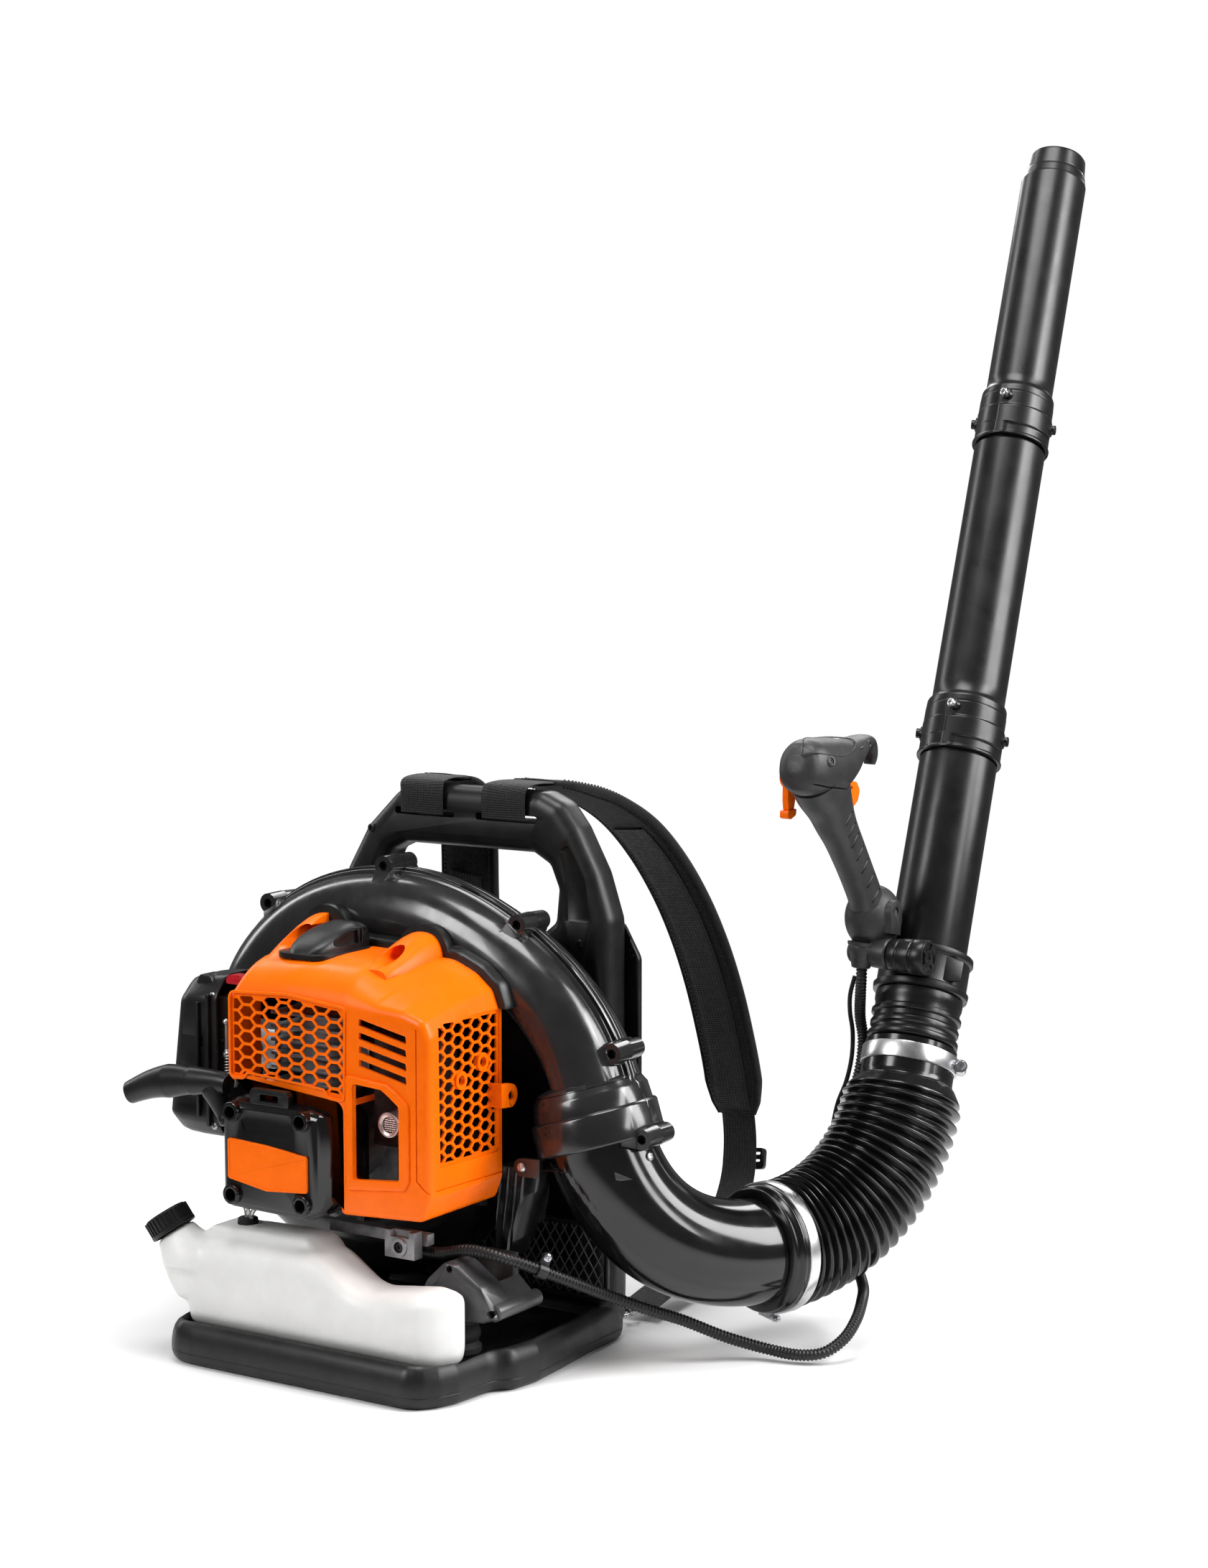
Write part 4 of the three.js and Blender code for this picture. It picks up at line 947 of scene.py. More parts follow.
def volute_ring(inset, y, lift=0.0):
    return [(x + dx * inset, y, z + dz * inset + (lift if i >= SPIRAL_COUNT else 0))
            for i, (x, z, dx, dz) in enumerate(WALL)]


def quadratic(p0, p1, p2, n):
    p0, p1, p2 = (np.array(p, float) for p in (p0, p1, p2))
    return [(1 - t) ** 2 * p0 + 2 * t * (1 - t) * p1 + t * t * p2 for t in np.linspace(0, 1, n)]


# inset from the wall, distance from the seam
VOLUTE_PROFILE = [(0.6, 0.35), (0.0, 1.0), (0.0, 4.2), (0.8, 5.2), (4.0, 5.4), (4.3, 6.6),
                  (2.6, 7.6), (2.3, 9.4), (3.2, 10.6), (5.6, 11.4),
                  *quadratic((5.8, 12.2), (9, 36), (31, 42.4), 12)[1:],
                  (36, 43.6), (42, 44.4), (50, 44.6), (55, 43.8), (59, 41.6), (63, 38.2),
                  (68, 36.0), (80, 35.2), (100, 35)]
VOLUTE_HOLLOW = [(3.2, -1.0), (9, 14), (15.5, 27), (28, 36.5), (44, 40.5)]
COLLAR_PROFILE = [(-58, 42), (-55, 47.5), (-46, 52.2), (-44.5, 53.2), (-30.5, 54.2),
                  (-29.2, 56.6), (-27.6, 57.6), (-2.2, 57.9), (-0.8, 57.5), (0, 56.4)]
# screw bosses: x, z and the way in, where it is not towards the fan axis
BOSSES = [(-166, 388, None), (-31, 433, None), (116, 391, None), (216, 286, None),
          (247, 214, -X_AXIS), (110, 121, Z_AXIS)]
# web behind a boss: distance from the seam, far reach, half width, near reach
BOSS_WEB = [(0.35, 18, 13.0, 0.5), (9, 19, 12.6, 0.5), (17, 21, 11.6, 0.5), (22, 25, 9.8, 5.0),
            (29, 29, 7.2, 14.0)]


def housing_boss(x, z, inward, side):
    front = side < 0
    c = np.array([x, 0.0, z])
    if inward is None:
        inward = unit(np.array([FAN_X, 0, FAN_Z]) - c)
    across = np.array([inward[2], 0, -inward[0]])
    y0, y1 = sorted((SEAM + side * 0.35, SEAM + side * (21.0 if front else 20.0)))
    r0, r1 = (9.3, 9.7) if front else (9.4, 8.6)
    boss = loft([circle((x, y0, z), Y_AXIS, r0, 36), circle((x, y1, z), Y_AXIS, r1, 36)])
    rings = []
    for distance, far, w, near in BOSS_WEB:
        origin = c + Y_AXIS * (SEAM + side * distance)
        rings.append([origin + across * a + inward * q for a, q in (
            (-w * 0.85, near), (w * 0.85, near), (w, far), (-w, far))])
    plus(boss, loft(rings))
    if front:
        minus(boss, rod((x, y0 - 3, z), (x, y0 + 9, z), 4.4, 24))
    return boss


for half, side in (("front", -1), ("rear", 1)):
    profile = [(i, d) for i, d in VOLUTE_PROFILE if side < 0 or i <= 50]
    volute = loft([volute_ring(i, SEAM + side * d) for i, d in profile])
    hollow = loft([volute_ring(i, SEAM + side * d, 4) for i, d in VOLUTE_HOLLOW])
    collar = lathe(COLLAR_PROFILE, COLLAR, OUT_DIR, 112)
    near, far = sorted((SEAM + side * 0.3, SEAM + side * 90))
    boolean(collar, box(60, near, 60, 400, far, 400), "INTERSECT")
    plus(volute, collar)
    minus(volute, hollow)
    for x, z, inward in BOSSES:
        plus(volute, housing_boss(x, z, inward, side))
    minus(volute, rod(COLLAR - OUT_DIR * 52, COLLAR + OUT_DIR * 14, 49.4, 64))
    if side < 0:
        minus(volute, rod((FAN_X, 0, FAN_Z), (FAN_X, 44, FAN_Z), 16, 40))
        # lug at the collar's foot, for a screw
        plus(volute, prism(arc(139, 181, 8.2, math.pi * 0.5, math.pi * 1.5, 12)
                           + [(158, 173), (158, 190)], "y", 12.5, 18))
    else:
        minus(volute, rod((FAN_X, 88, FAN_Z), (FAN_X, 125, FAN_Z), 78, 72))
    bevel(volute, 0.7, 2, angle=46)
    done(volute, f"volute_{half}", SMOKE, angle=44,
         replaces=f"fan_housing_{half}")
for k, (x, z, _) in enumerate(BOSSES):
    add_screw(f"volute_screw_{k}", (x, 46.4, z), -Y_AXIS, 3.7, 2.2, BLACK_SCREW)
add_screw("collar_lug_screw", (139, 12.6, 181), -Y_AXIS, 4.4, 2.2, STEEL, "cross")
# fluted leg under the collar, down to the lowest boss
leg = stack(fillet([(96, 178), (133, 180), (129, 150), (123, 128), (118, 108), (108, 88),
                    (92, 88), (98, 112), (100, 140)], 4, 5),
            [(2.0, 28), (0, 30.5), (0, 66), (2.0, 69)], "y")
for x in (104, 112, 120):
    minus(leg, rod((x + 3, 28.4, 176), (x - 6, 28.4, 96), 2.4, 16))
done(leg, "volute_leg", SMOKE, angle=40)
# inlet rim on the rear half
rim = lathe([(0, 78.5), (0, 86), (4, 86), (5, 84.5), (5.2, 79.5), (4.6, 78.5)],
            (FAN_X, 103.5, FAN_Z), Y_AXIS, 96)
minus(rim, rod((FAN_X, 95, FAN_Z), (FAN_X, 125, FAN_Z), 78.4, 96))
done(rim, "inlet_rim", SMOKE)

# ================================================================ elbow
ELBOW_R = 47.4
elbow_line = bezier(COLLAR - OUT_DIR * 14, COLLAR + OUT_DIR * 82,
                    ELBOW_END - ELBOW_DIR * 82, ELBOW_END, 90)


def elbow_shell():
    """Swept shell; its lower part stands 1 mm proud along a moulded part line."""
    along_line, sides, ups = sweep_frames(elbow_line, Y_AXIS)
    rings = []
    for k, p in enumerate(elbow_line):
        t = k / (len(elbow_line) - 1)
        base = ELBOW_R + 0.5 * max(0, 1 - abs(t - 0.03) / 0.05)
        down = square_to(-Z_AXIS, along_line[k])
        ring = []
        for a in turn(120):
            d = sides[k] * math.cos(a) + ups[k] * math.sin(a)
            ring.append(p + d * (base + min(1.0, max(0.0, (d @ down - 0.50) / 0.035))))
        rings.append(ring)
    return loft(rings)


elbow = elbow_shell()
minus(elbow, tube(np.vstack([elbow_line[:1] - OUT_DIR * 2, elbow_line,
                             elbow_line[-1:] + ELBOW_DIR * 2]), 44.6, 64))
done(elbow, "elbow", GLOSS, angle=50, replaces="outlet_elbow")
# small screw on the elbow near the collar's rim, at an angle round the elbow
RIM_SCREW_ANGLE = math.radians(4)
x, y, _ = frame_of(elbow_line[16] - elbow_line[14])
outward = x * math.cos(RIM_SCREW_ANGLE) + y * math.sin(RIM_SCREW_ANGLE)
add_screw("elbow_rim_screw", elbow_line[15] + outward * ELBOW_R, outward, 4.0, 2.0, ZINC,
          "cross")

# ================================================================ pleated hose
PLEATS = 19
cuff = np.array([ELBOW_END + ELBOW_DIR * s for s in np.arange(-13, 0.4, 0.7)])
bend = bezier(ELBOW_END + ELBOW_DIR * 0.4, ELBOW_END + ELBOW_DIR * 88, FOOT - TUBE * 96,
              FOOT - TUBE * 8, 300)
hose_line = np.vstack([cuff, bend, [FOOT + TUBE * s for s in np.arange(-7.4, 30, 0.9)]])
hose_run = lengths(hose_line)
CUFF_END = 13.4
PLEAT_START = CUFF_END + 15.5
PLEAT_END = hose_run[len(cuff) + len(bend) - 1] - 13
hose_line = resample(hose_line, 340)
hose_run = np.linspace(0, hose_run[-1], 340)
# distance along the hose, radius
LOWER_CUFF = [(0, 48.6), (0.6, 54.6), (2.0, 56.6), (3.6, 56.4), (4.6, 54.2), (6.0, 54.2),
              (8.0, 57.0), (9.2, 58.4), (10.4, 58.6), (12.6, 58.2), (CUFF_END, 58.7),
              (CUFF_END + 14, 58.8), (PLEAT_START, 56.0)]
# distance beyond the pleats, radius
UPPER_CUFF = [(0, 50.5), (1.5, 53.6), (3.0, 53.4), (13, 46.4), (15, 44.0), (19, 43.4),
              (52, 43.2)]


def hose_radius(_, k):
    s = hose_run[k]
    if s < PLEAT_START:
        return interp(s, LOWER_CUFF)
    if s > PLEAT_END:
        return interp(s - PLEAT_END, UPPER_CUFF)
    g = (s - PLEAT_START) / (PLEAT_END - PLEAT_START)
    crest = (0.5 + 0.5 * math.cos(2 * math.pi * (g * PLEATS - 0.5))) ** 0.85
    return (50.6 - 1.2 * g) + (8.0 - 1.3 * g) * crest


def hose_bore(t, _):
    return 41.6 if t > 0.86 else (46.4 - 3 * t if t > 0.06 else 47.9)


hose = tube(hose_line, hose_radius, 96, ref=X_AXIS)
minus(hose, tube(np.vstack([hose_line[:1] - ELBOW_DIR * 1.5, hose_line[::6],
                            hose_line[-1:] + TUBE * 2]), hose_bore, 64))
dress(hose, "pleated_hose", HOSE)
hose.data.set_sharp_from_angle(angle=math.radians(60))
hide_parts("flexible_hose")
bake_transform(hose)


def band_clamp(c, axis, r, width, screw_dir, name, body, node):
    """Worm-drive band: strip, overlapping tail, screw housing and slotted screw."""
    out = square_to(screw_dir, axis)
    tangent = np.cross(axis, out)
    w = width / 2
    strip = lathe([(-w, r - 0.2), (-w + 0.5, r + 0.75), (-w + 1.2, r + 1.0),
                   (w - 1.2, r + 1.0), (w - 0.5, r + 0.75), (w, r - 0.2)], c, axis, 128)
    minus(strip, rod(c - axis * width, c + axis * width, r - 0.25, 128))

    def direction(degrees):
        a = math.radians(degrees)
        return out * math.cos(a) + tangent * math.sin(a)
    rings = []
    for k in range(15):
        d = direction(-10 + 4.0 * k)
        rings.append([c + d * (r + h) + axis * s * (w - 1)
                      for h, s in ((1.0, -1), (1.0, 1), (1.9, 1), (1.9, -1))])
    tail = loft(rings)
    for k in range(9):  # slanted thread slots in the tail
        d = direction(6 + 4.2 * k)
        outline = [(x, y + x * 0.12) for x, y in rect(-w * 0.55, -0.55, w * 0.55, 0.55)]
        minus(tail, slab(c + d * (r + 1.9), axis, np.cross(axis, d), d, outline, -0.7, 2))
    q = c + out * (r + 4.6)
    housing = slab(q, axis, tangent, out, rect(-w * 0.62, -8, w * 0.62, 7), -3.8, 2.2)
    plus(housing, rod(q - tangent * 8, q + tangent * 7, w * 0.62, 32))
    bevel(housing, 0.5, 2)
    minus(housing, rod(q - tangent * 12, q + tangent * 4, w * 0.40, 24))
    root = q - tangent * 0.5
    worm = lathe([(0, w * 0.37), (9, w * 0.37), (9.2, w * 0.66), (11.2, w * 0.72),
                  (11.4, w * 0.56), (15.4, w * 0.56), (16, w * 0.48)], root, -tangent, 6)
    plus(worm, lathe([(0, w * 0.37), (9.2, w * 0.66), (11.4, w * 0.74), (12, 0.1)],
                     root, -tangent, 28))
    minus(worm, slab(q - tangent * 16.5, axis, out, tangent, rect(-w, -0.5, w, 0.5), -2, 1.8))
    done(strip, name, STEEL, body, angle=30, replaces=node)
    done(tail, name + "_tail", STEEL, body, angle=30)
    done(housing, name + "_housing", ZINC, body, angle=35)
    done(worm, name + "_screw", ZINC, body, angle=35)


band_clamp(ELBOW_END + ELBOW_DIR * 8.0, ELBOW_DIR, 58.9, 11.5, (-0.10, 0.0, -1.0),
           "lower_band", "chassis", "lower_hose_clamp")
band_clamp(FOOT + TUBE * 16.0, TUBE, 44.1, 16.5, (0.86, 0.42, 0), "upper_band", "hose_end",
           "upper_hose_clamp")

# ================================================================ blowing tubes
TUBE_RIGHT = square_to(VIEW_RIGHT, TUBE)
TUBE_FRONT = unit(np.cross(TUBE_RIGHT, TUBE))
FIRST_BORE = 37.9


def along(s):
    return FOOT + TUBE * s


def around(s, degrees, r):
    """A point at distance s up the tube, by degrees from its front towards the camera's right."""
    a = math.radians(degrees)
    return along(s) + (TUBE_FRONT * math.cos(a) + TUBE_RIGHT * math.sin(a)) * r


def bore(part, s0, s1, r):
    minus(part, rod(along(s0), along(s1), r, 96))


sleeve = lathe([
    (2, 38.6), (30, 38.8), (31, 39.4), (32.2, 42.0), (33.2, 42.7), (37.6, 42.7), (38.8, 41.9),
    (39.6, 40.2), (42, 39.7), (44, 40.3), (45.2, 41.6), (48.5, 41.9), (50, 41.2), (51.2, 39.9),
    (55.4, 39.8), (56.2, 41.4), (57.2, 42.4), (60.4, 42.4), (61.4, 41.5), (62.4, 40.0),
    (67.5, 40.2), (70.2, 41.2), (74.5, 41.4), (78.0, 41.0)], FOOT, TUBE, 112)
bore(sleeve, -1, 81, FIRST_BORE)
done(sleeve, "swivel_sleeve", TUBE_BLACK, "tube", angle=40,
     replaces="swivel_pipe")
lower = lathe([(78.6, 37.2), (79.2, 37.5), (316, 37.5), (317, 36.6), (376, 36.2),
               (377, 35.4)], FOOT, TUBE, 112)
bore(lower, 75, 381, 34.2)
done(lower, "blow_tube_lower", TUBE_BLACK, "tube", angle=40,
     replaces="lower_tube")

# sleeve at the foot of a tube: distance up it, change of radius
SLEEVE_PROFILE = [(0, -0.3), (0.5, 1.5), (2.2, 1.7), (3.2, 1.3), (4.2, 0.3), (33.4, 0.2),
                  (34.2, -0.15), (48.6, -0.25), (49.4, -0.7), (50.2, -0.45), (56, -0.75),
                  (57.5, -1.4)]


def bayonet(u, degrees):
    """Height of the raised track: an upright leg at the left and a band running right to a pin."""
    rise = smooth(u, 12.2, 13.6) * (1 - smooth(u, 32.0, 33.4))
    band = rise * smooth(degrees, -33, -30.5) * (1 - smooth(degrees, 70, 76))
    leg = ((1 - smooth(u, 31, 33.4)) * smooth(degrees, -33, -30.5)
           * (1 - smooth(degrees, -18.5, -16)))
    crease = (0.5 * math.exp(-((u - 12.6) / 0.9) ** 2) * smooth(degrees, -14, -9)
              * (1 - smooth(degrees, 70, 74)))
    back = rise * (1 - smooth(degrees, -110, -104)) * smooth(degrees, -180, -176)
    left = (0.35 * smooth(u, 15.2, 16.0) * smooth(degrees, -104, -98)
            * (1 - smooth(degrees, -34, -31)))
    return 1.5 * max(band, leg) + crease + 1.3 * back + left


def sleeve_tube(s0, s1, r_sleeve, r_tube, name, body, node, r_spigot=None):
    """Tube from s0 to s1, ending in a spigot or, without one, in the nozzle's tip."""
    tip = r_spigot is None
    tip_profile = [(951, r_tube), (960.6, r_tube), (961.4, r_tube - 0.5), (971, 30.8),
                   (972.2, 30.0), (973, 30.2), (989.6, 28.8), (991, 28.0)]
    body_profile = [(s0 + 57.5, r_sleeve - 1.4), (s0 + 62, r_tube)]
    if not tip:
        body_profile += [(s1 - 60, r_tube), (s1 - 59, r_spigot), (s1, r_spigot)]

    def radius(s, degrees):
        u = s - s0
        if u < 57.5:
            return r_sleeve + interp(u, SLEEVE_PROFILE) + bayonet(u, degrees)
        return interp(s, tip_profile if tip and s > 951 else body_profile)

    stations = np.concatenate([
        np.linspace(s0, s0 + 5, 12), np.linspace(s0 + 5.6, s0 + 60, 88),
        np.linspace(s0 + 62, s1 - 62, 26), [951, 956] if tip else [s1 - 60, s1 - 59],
        np.linspace(s1 - 32, s1, 34) if tip else np.linspace(s1 - 50, s1, 4)])
    angles = [360.0 * i / 144 - 180 for i in range(144)]
    part = loft([[around(s, a, radius(s, a)) for a in angles]
                 for s in sorted(set(round(float(s), 3) for s in stations))])
    if tip:
        minus(part, loft([circle(along(s), TUBE, r, 96) for s, r in (
            (s0 - 2, r_tube - 1.6), (s0 + 60, r_tube - 1.6), (961, r_tube - 2), (993, 26.6))]))
    else:
        bore(part, s0 - 3, s1 + 3, r_spigot - 1.6)
    bore(part, s0 - 2, s0 + 58.5, r_sleeve - 1.9)
    done(part, name, TUBE_BLACK, body, angle=36, replaces=node)
    for k, degrees in enumerate((74, -100)):
        c = around(s0 + 24.6, degrees, r_sleeve - 0.5)
        pin = lathe([(0, 7.6), (1.8, 7.2), (2.6, 5.0), (3.2, 4.8), (5.6, 4.9), (6.2, 4.2),
                     (6.3, 0.1)], c, around(s0 + 24.6, degrees, 60) - c, 36)
        done(pin, f"{name}_pin_{k}", TUBE_BLACK, body, angle=40)
    c = around(s0 + 43.5, -21, r_sleeve - 0.6)
    n = unit(around(s0 + 43.5, -30, 60) - c)
    done(lathe([(0, 5.8), (3.5, 5.2), (4.0, 4.6), (4.2, 0.1)], c, n, 32), f"{name}_boss",
         TUBE_BLACK, body, angle=40)
    head = screw(c + n * 6.0, n, 4.3, 2.6, "cross")
    plus(head, rod(c + n * 3.6, c + n * 6.4, 2.4, 20))
    done(head, f"{name}_screw", STEEL, body, angle=35)


sleeve_tube(318, 712, 39.4, 35.4, "blow_tube_middle", "middle", "middle_tube", r_spigot=33.4)
sleeve_tube(655, 991, 36.8, 33.2, "blow_nozzle", "nozzle", "nozzle_tube")

# ================================================================ handle clamp on the tube
ring = lathe([(79, 38.0), (79, 42.6), (80, 44.6), (85.4, 45.2), (86.6, 44.2), (87.4, 42.6),
              (112.6, 42.6), (113.6, 44.2), (115, 45.2), (120, 44.8), (121, 43.0),
              (121, 38.0)], FOOT, TUBE, 112)
bore(ring, 76, 124, FIRST_BORE)
boss = lathe([(329.5, 12.0), (330.5, 14.6), (338.4, 15.4), (339.2, 14.4), (340.2, 14.4),
              (341.2, 15.9), (352.5, 16.4), (353.4, 14.9), (354.6, 14.9), (355.6, 16.6),
              (366.2, 16.8), (367.9, 15.6), (367.9, 13.6), (366.0, 13.2), (366.0, 0.1)],
             PIVOT, X_AXIS, 72)
plus(ring, rod((331, 354.4, 336.7), (365, 354.4, 336.7), 12.6, 48))
bore(ring, 70, 130, 38.0)
plus(ring, boss)
bore(ring, 70, 130, 37.95)
bevel(ring, 0.6, 2, angle=42)
done(ring, "clamp_ring", SATIN, "tube", angle=42,
     replaces="handle_clamp")


def pivot_frame(a):
    """Outward and tangent directions at angle a round the pivot."""
    return (np.array([0, math.cos(a), math.sin(a)]), np.array([0, -math.sin(a), math.cos(a)]))


for k, a in enumerate(turn(26)):  # detent teeth round the boss
    d, t = pivot_frame(a)
    outline = [(-1.1, -0.8), (1.1, -0.8), (0.385, 1.1), (-0.385, 1.1)]
    done(slab(PIVOT + d * 15.0, t, d, X_AXIS, outline, 353.6, 355.3), f"detent_tooth_{k}",
         SATIN, "tube", angle=30)
done(lathe([(365.6, 7.6), (367.6, 7.6), (367.8, 6.8), (367.8, 4.4), (366.4, 4.0),
            (366.4, 0.1)], PIVOT, X_AXIS, 48), "clamp_end_hub", SATIN, "tube")
for k in range(4):
    d, t = pivot_frame(math.pi / 4 + k * math.pi / 2)
    outline = [(6.8, -1.5), (13.6, -1.8), (13.6, 1.8), (6.8, 1.5)]
    done(slab(PIVOT, d, t, X_AXIS, outline, 365.6, 367.5), f"clamp_end_spoke_{k}", SATIN,
         "tube", edge=0.3)
gusset = loft([
    [around(88, 20, 42.0), around(112, 20, 42.0), around(112, 26, 43.5), around(88, 26, 43.5)],
    [around(90, 40, 42.0), around(110, 40, 42.0), around(110, 42, 50), around(90, 42, 50)]])
done(gusset, "clamp_gusset", SATIN, "tube", edge=1.2)

# ================================================================ control handle
# stations: y, z, half width, half depth
GRIP_STATIONS = [
    (350, 375, 14.6, 17.6), (346, 384, 15.0, 17.8), (337, 400, 15.0, 17.2),
    (321, 422, 15.2, 17.2), (306, 441, 15.4, 17.6), (293, 457, 16.0, 18.4),
    (281, 472, 17.4, 21.2), (270, 488, 19.6, 24.6), (258, 504, 22.4, 30.0),
    (250, 516, 23.6, 33.0)]
HOOD_STATIONS = [
    (204.6, 527.6, 3, 3), (205.2, 527.5, 8.5, 8.8), (206.8, 527.3, 13.5, 14.2),
    (210, 526.8, 17.8, 18.8), (215, 526, 21.2, 22.4), (223, 525.2, 23.8, 25.2),
    (234, 525, 25, 26.4), (252, 524, 25, 26.2), (270, 524.3, 24, 25.2), (286, 527.5, 22, 20.4),
    (300, 532, 19, 15.0), (314, 537, 16, 10.4), (326, 540.5, 13, 7.2), (336, 541, 10.8, 5.8),
    (342.5, 537.5, 9.4, 5.4), (346.5, 531, 8.2, 5.0), (347.6, 524, 7.0, 4.6),
    (346.6, 518.5, 5.4, 3.8)]
GRIP_POWER, HOOD_POWER = 2.25, 2.3   # 2 is an ellipse, more is squarer


def handle_frame(dy, dz):
    """Direction of travel in the YZ plane and its normal."""
    t = unit([0, dy, dz])
    return t, np.cross(X_AXIS, t)


def handle_ring(y, z, rx, rn, dy, dz, power, dent=1.0):
    """Section square to (dy, dz); dent scales its depth on the side against the normal."""
    normal = handle_frame(dy, dz)[1]
    out = []
    for a in turn(56):
        depth = signed_power(math.sin(a), 2 / power) * rn * (dent if math.sin(a) < 0 else 1)
        out.append(np.array([GRIP_X + signed_power(math.cos(a), 2 / power) * rx, y, z])
                   + normal * depth)
    return out


def spline_rows(rows, n):
    """Smooth curve through the rows, all columns together."""
    rows = np.array(rows, float)
    last = len(rows) - 1
    out = []
    for k in range(n):
        t = k / (n - 1) * last
        i = min(int(t), last - 1)
        f = t - i
        p0, p1, p2, p3 = rows[max(i - 1, 0)], rows[i], rows[i + 1], rows[min(i + 2, last)]
        out.append(0.5 * (2 * p1 + (p2 - p0) * f + (2 * p0 - 5 * p1 + 4 * p2 - p3) * f * f
                          + (3 * p1 - p0 - 3 * p2 + p3) * f ** 3))
    return out


def handle_loft(rows, power, dent):
    rings = []
    for k, row in enumerate(rows):
        a, b = rows[max(0, k - 1)], rows[min(len(rows) - 1, k + 1)]
        rings.append(handle_ring(*row, b[0] - a[0], b[1] - a[1], power,
                                 dent(k / (len(rows) - 1))))
    return loft(rings)


def finger_dent(u):
    return 1.0 + 0.035 * math.sin(u * math.pi * 5.0) * (1 if 0.15 < u < 0.85 else 0)


grip_rows = spline_rows(GRIP_STATIONS, 90)
hood_rows = spline_rows(HOOD_STATIONS, 120)
handle = handle_loft(grip_rows, GRIP_POWER, finger_dent)
plus(handle, handle_loft(hood_rows, HOOD_POWER, lambda u: 1.0))
# fine groove in the +X side, between hood and grip
minus(handle, prism([(186, 517.6), (228, 508.2), (262, 503.2), (296, 516.2), (330, 533.4),
                     (330, 534.5), (296, 517.4), (262, 504.4), (228, 509.4), (186, 518.8)],
                    "x", 318.5, 366))
# slot for the trigger, and a notch in the -X side
minus(handle, box(297.2, 279.5, 465, 308.8, 333, 512.5))
minus(handle, prism([(242, 520), (242, 507), (254, 507), (254, 520)], "x", 262, 276.5))
bevel(handle, 0.45, 2, angle=50)
# seven curved slots set into the grip's +X face
for u in (0.22, 0.30, 0.38, 0.46, 0.54, 0.62, 0.70):
    i = int(u * (len(grip_rows) - 1))
    y, z, rx, rn = grip_rows[i]
    t, normal = handle_frame(*(np.array(grip_rows[i + 1]) - grip_rows[i - 1])[:2])
    centre = np.array([GRIP_X + rx + 0.4, y, z]) + normal * 1.5
    path = catmull([centre - normal * 8 + t * 1.6, centre - normal * 3 + t * 2.2,
                    centre + normal * 4 + t * 0.6, centre + normal * 9 - t * 1.6], 22)
    for q in path:  # laid on the grip's surface
        off = min(abs((q - np.array([GRIP_X, y, z])) @ normal), rn * 0.98) / rn
        q[0] = GRIP_X + rx * math.sqrt(max(0.0, 1 - off ** GRIP_POWER)) + 0.15
    minus(handle, tube(path, 1.35, 12))
done(handle, "handle_body", HANDLE, "handle", angle=42,
     replaces="control_handle")


def on_hood(y, degrees, lift=0.0):
    """A point on the hood at y, by degrees up from +X."""
    z, rx, rn = (interp(y, [(r[0], r[k]) for r in hood_rows[:100]]) for k in (1, 2, 3))
    a = math.radians(degrees)
    return np.array([GRIP_X + signed_power(math.cos(a), 2 / HOOD_POWER) * (rx + lift), y,
                     z + signed_power(math.sin(a), 2 / HOOD_POWER) * (rn + lift)])


# raised oval line on the hood, a screw in its well, an eye and a mark
oval = [on_hood(250 + 44 * math.cos(a), 62 + 40 * math.sin(a), 0.05) for a in turn(72)]
done(closed_tube(oval, 150, 0.65, 8), "hood_line", HANDLE, "handle")
p = on_hood(228, 14, -0.2)
n = unit(p - np.array([GRIP_X, 234, 522]))
done(lathe([(-1, 5.4), (0.8, 5.2), (1.2, 4.6), (1.0, 3.6), (-0.2, 3.3), (-0.3, 0.1)], p, n, 32),
     "hood_screw_well", HANDLE, "handle")
add_screw("hood_screw", p - n * 0.4, n, 2.9, 1.0, DARK_STEEL, body="handle")
done(lathe([(-1, 3.4), (0.5, 3.3), (0.7, 2.6), (0.2, 2.0), (-0.5, 1.9), (-0.5, 0.1)],
           on_hood(318, 10), X_AXIS, 28), "hook_eye", HANDLE, "handle")
mark = fillet([(-4.5, -0.9), (4.5, 0.9), (4.5, 2.1), (-4.5, 0.3)], 0.5, 3)
done(slab(on_hood(296, 22), Y_AXIS, Z_AXIS, X_AXIS, mark, -1.5, 0.5), "hood_mark", DARK_STEEL,
     "handle", edge=0.2)

# bulb at the foot of the grip, with its pivot and an ear
bulb = ball((GRIP_X, 357, 373), 26.5, 28.5, 31, 64, 32)
done(rod((353, 356, 352), (347, 352, 338), 9.5, 36), "clamp_nub", SATIN, "tube", edge=0.8,
     angle=42)
plus(bulb, loft([handle_ring(352, 371, 21.5, 24.5, -1, 1.6, power=2.1),
                 handle_ring(343, 391, 16.2, 18.6, -1, 1.6, power=2.1)]))
plus(bulb, lathe([(287, 9.0), (288.5, 10.8), (309, 10.8), (311, 13.6), (326.8, 14.8),
                  (328.4, 13.4)], PIVOT, X_AXIS, 64))
minus(bulb, rod(PIVOT + X_AXIS * 270, PIVOT + X_AXIS * 340, 5.2, 32))
ear = prism(arc(352, 380, 11.5, -0.3, math.pi + 0.5, 18) + [(341, 362), (360, 358)],
            "x", GRIP_X + 17, GRIP_X + 27)
minus(ear, rod((GRIP_X, 352, 381), (GRIP_X + 40, 352, 381), 4.2, 28))
plus(bulb, ear)
# the bulb is relieved where the tube passes as the handle tilts
for tilt in (0.0, -0.045, -0.092, 0.045, 0.092):
    c, s = math.cos(tilt), math.sin(tilt)
    ends = []
    for distance in (60, 240):
        x, dy, dz = along(distance) - PIVOT
        ends.append((x, PIVOT[1] + dy * c - dz * s, PIVOT[2] + dy * s + dz * c))
    minus(bulb, rod(*ends, 38.5, 96))
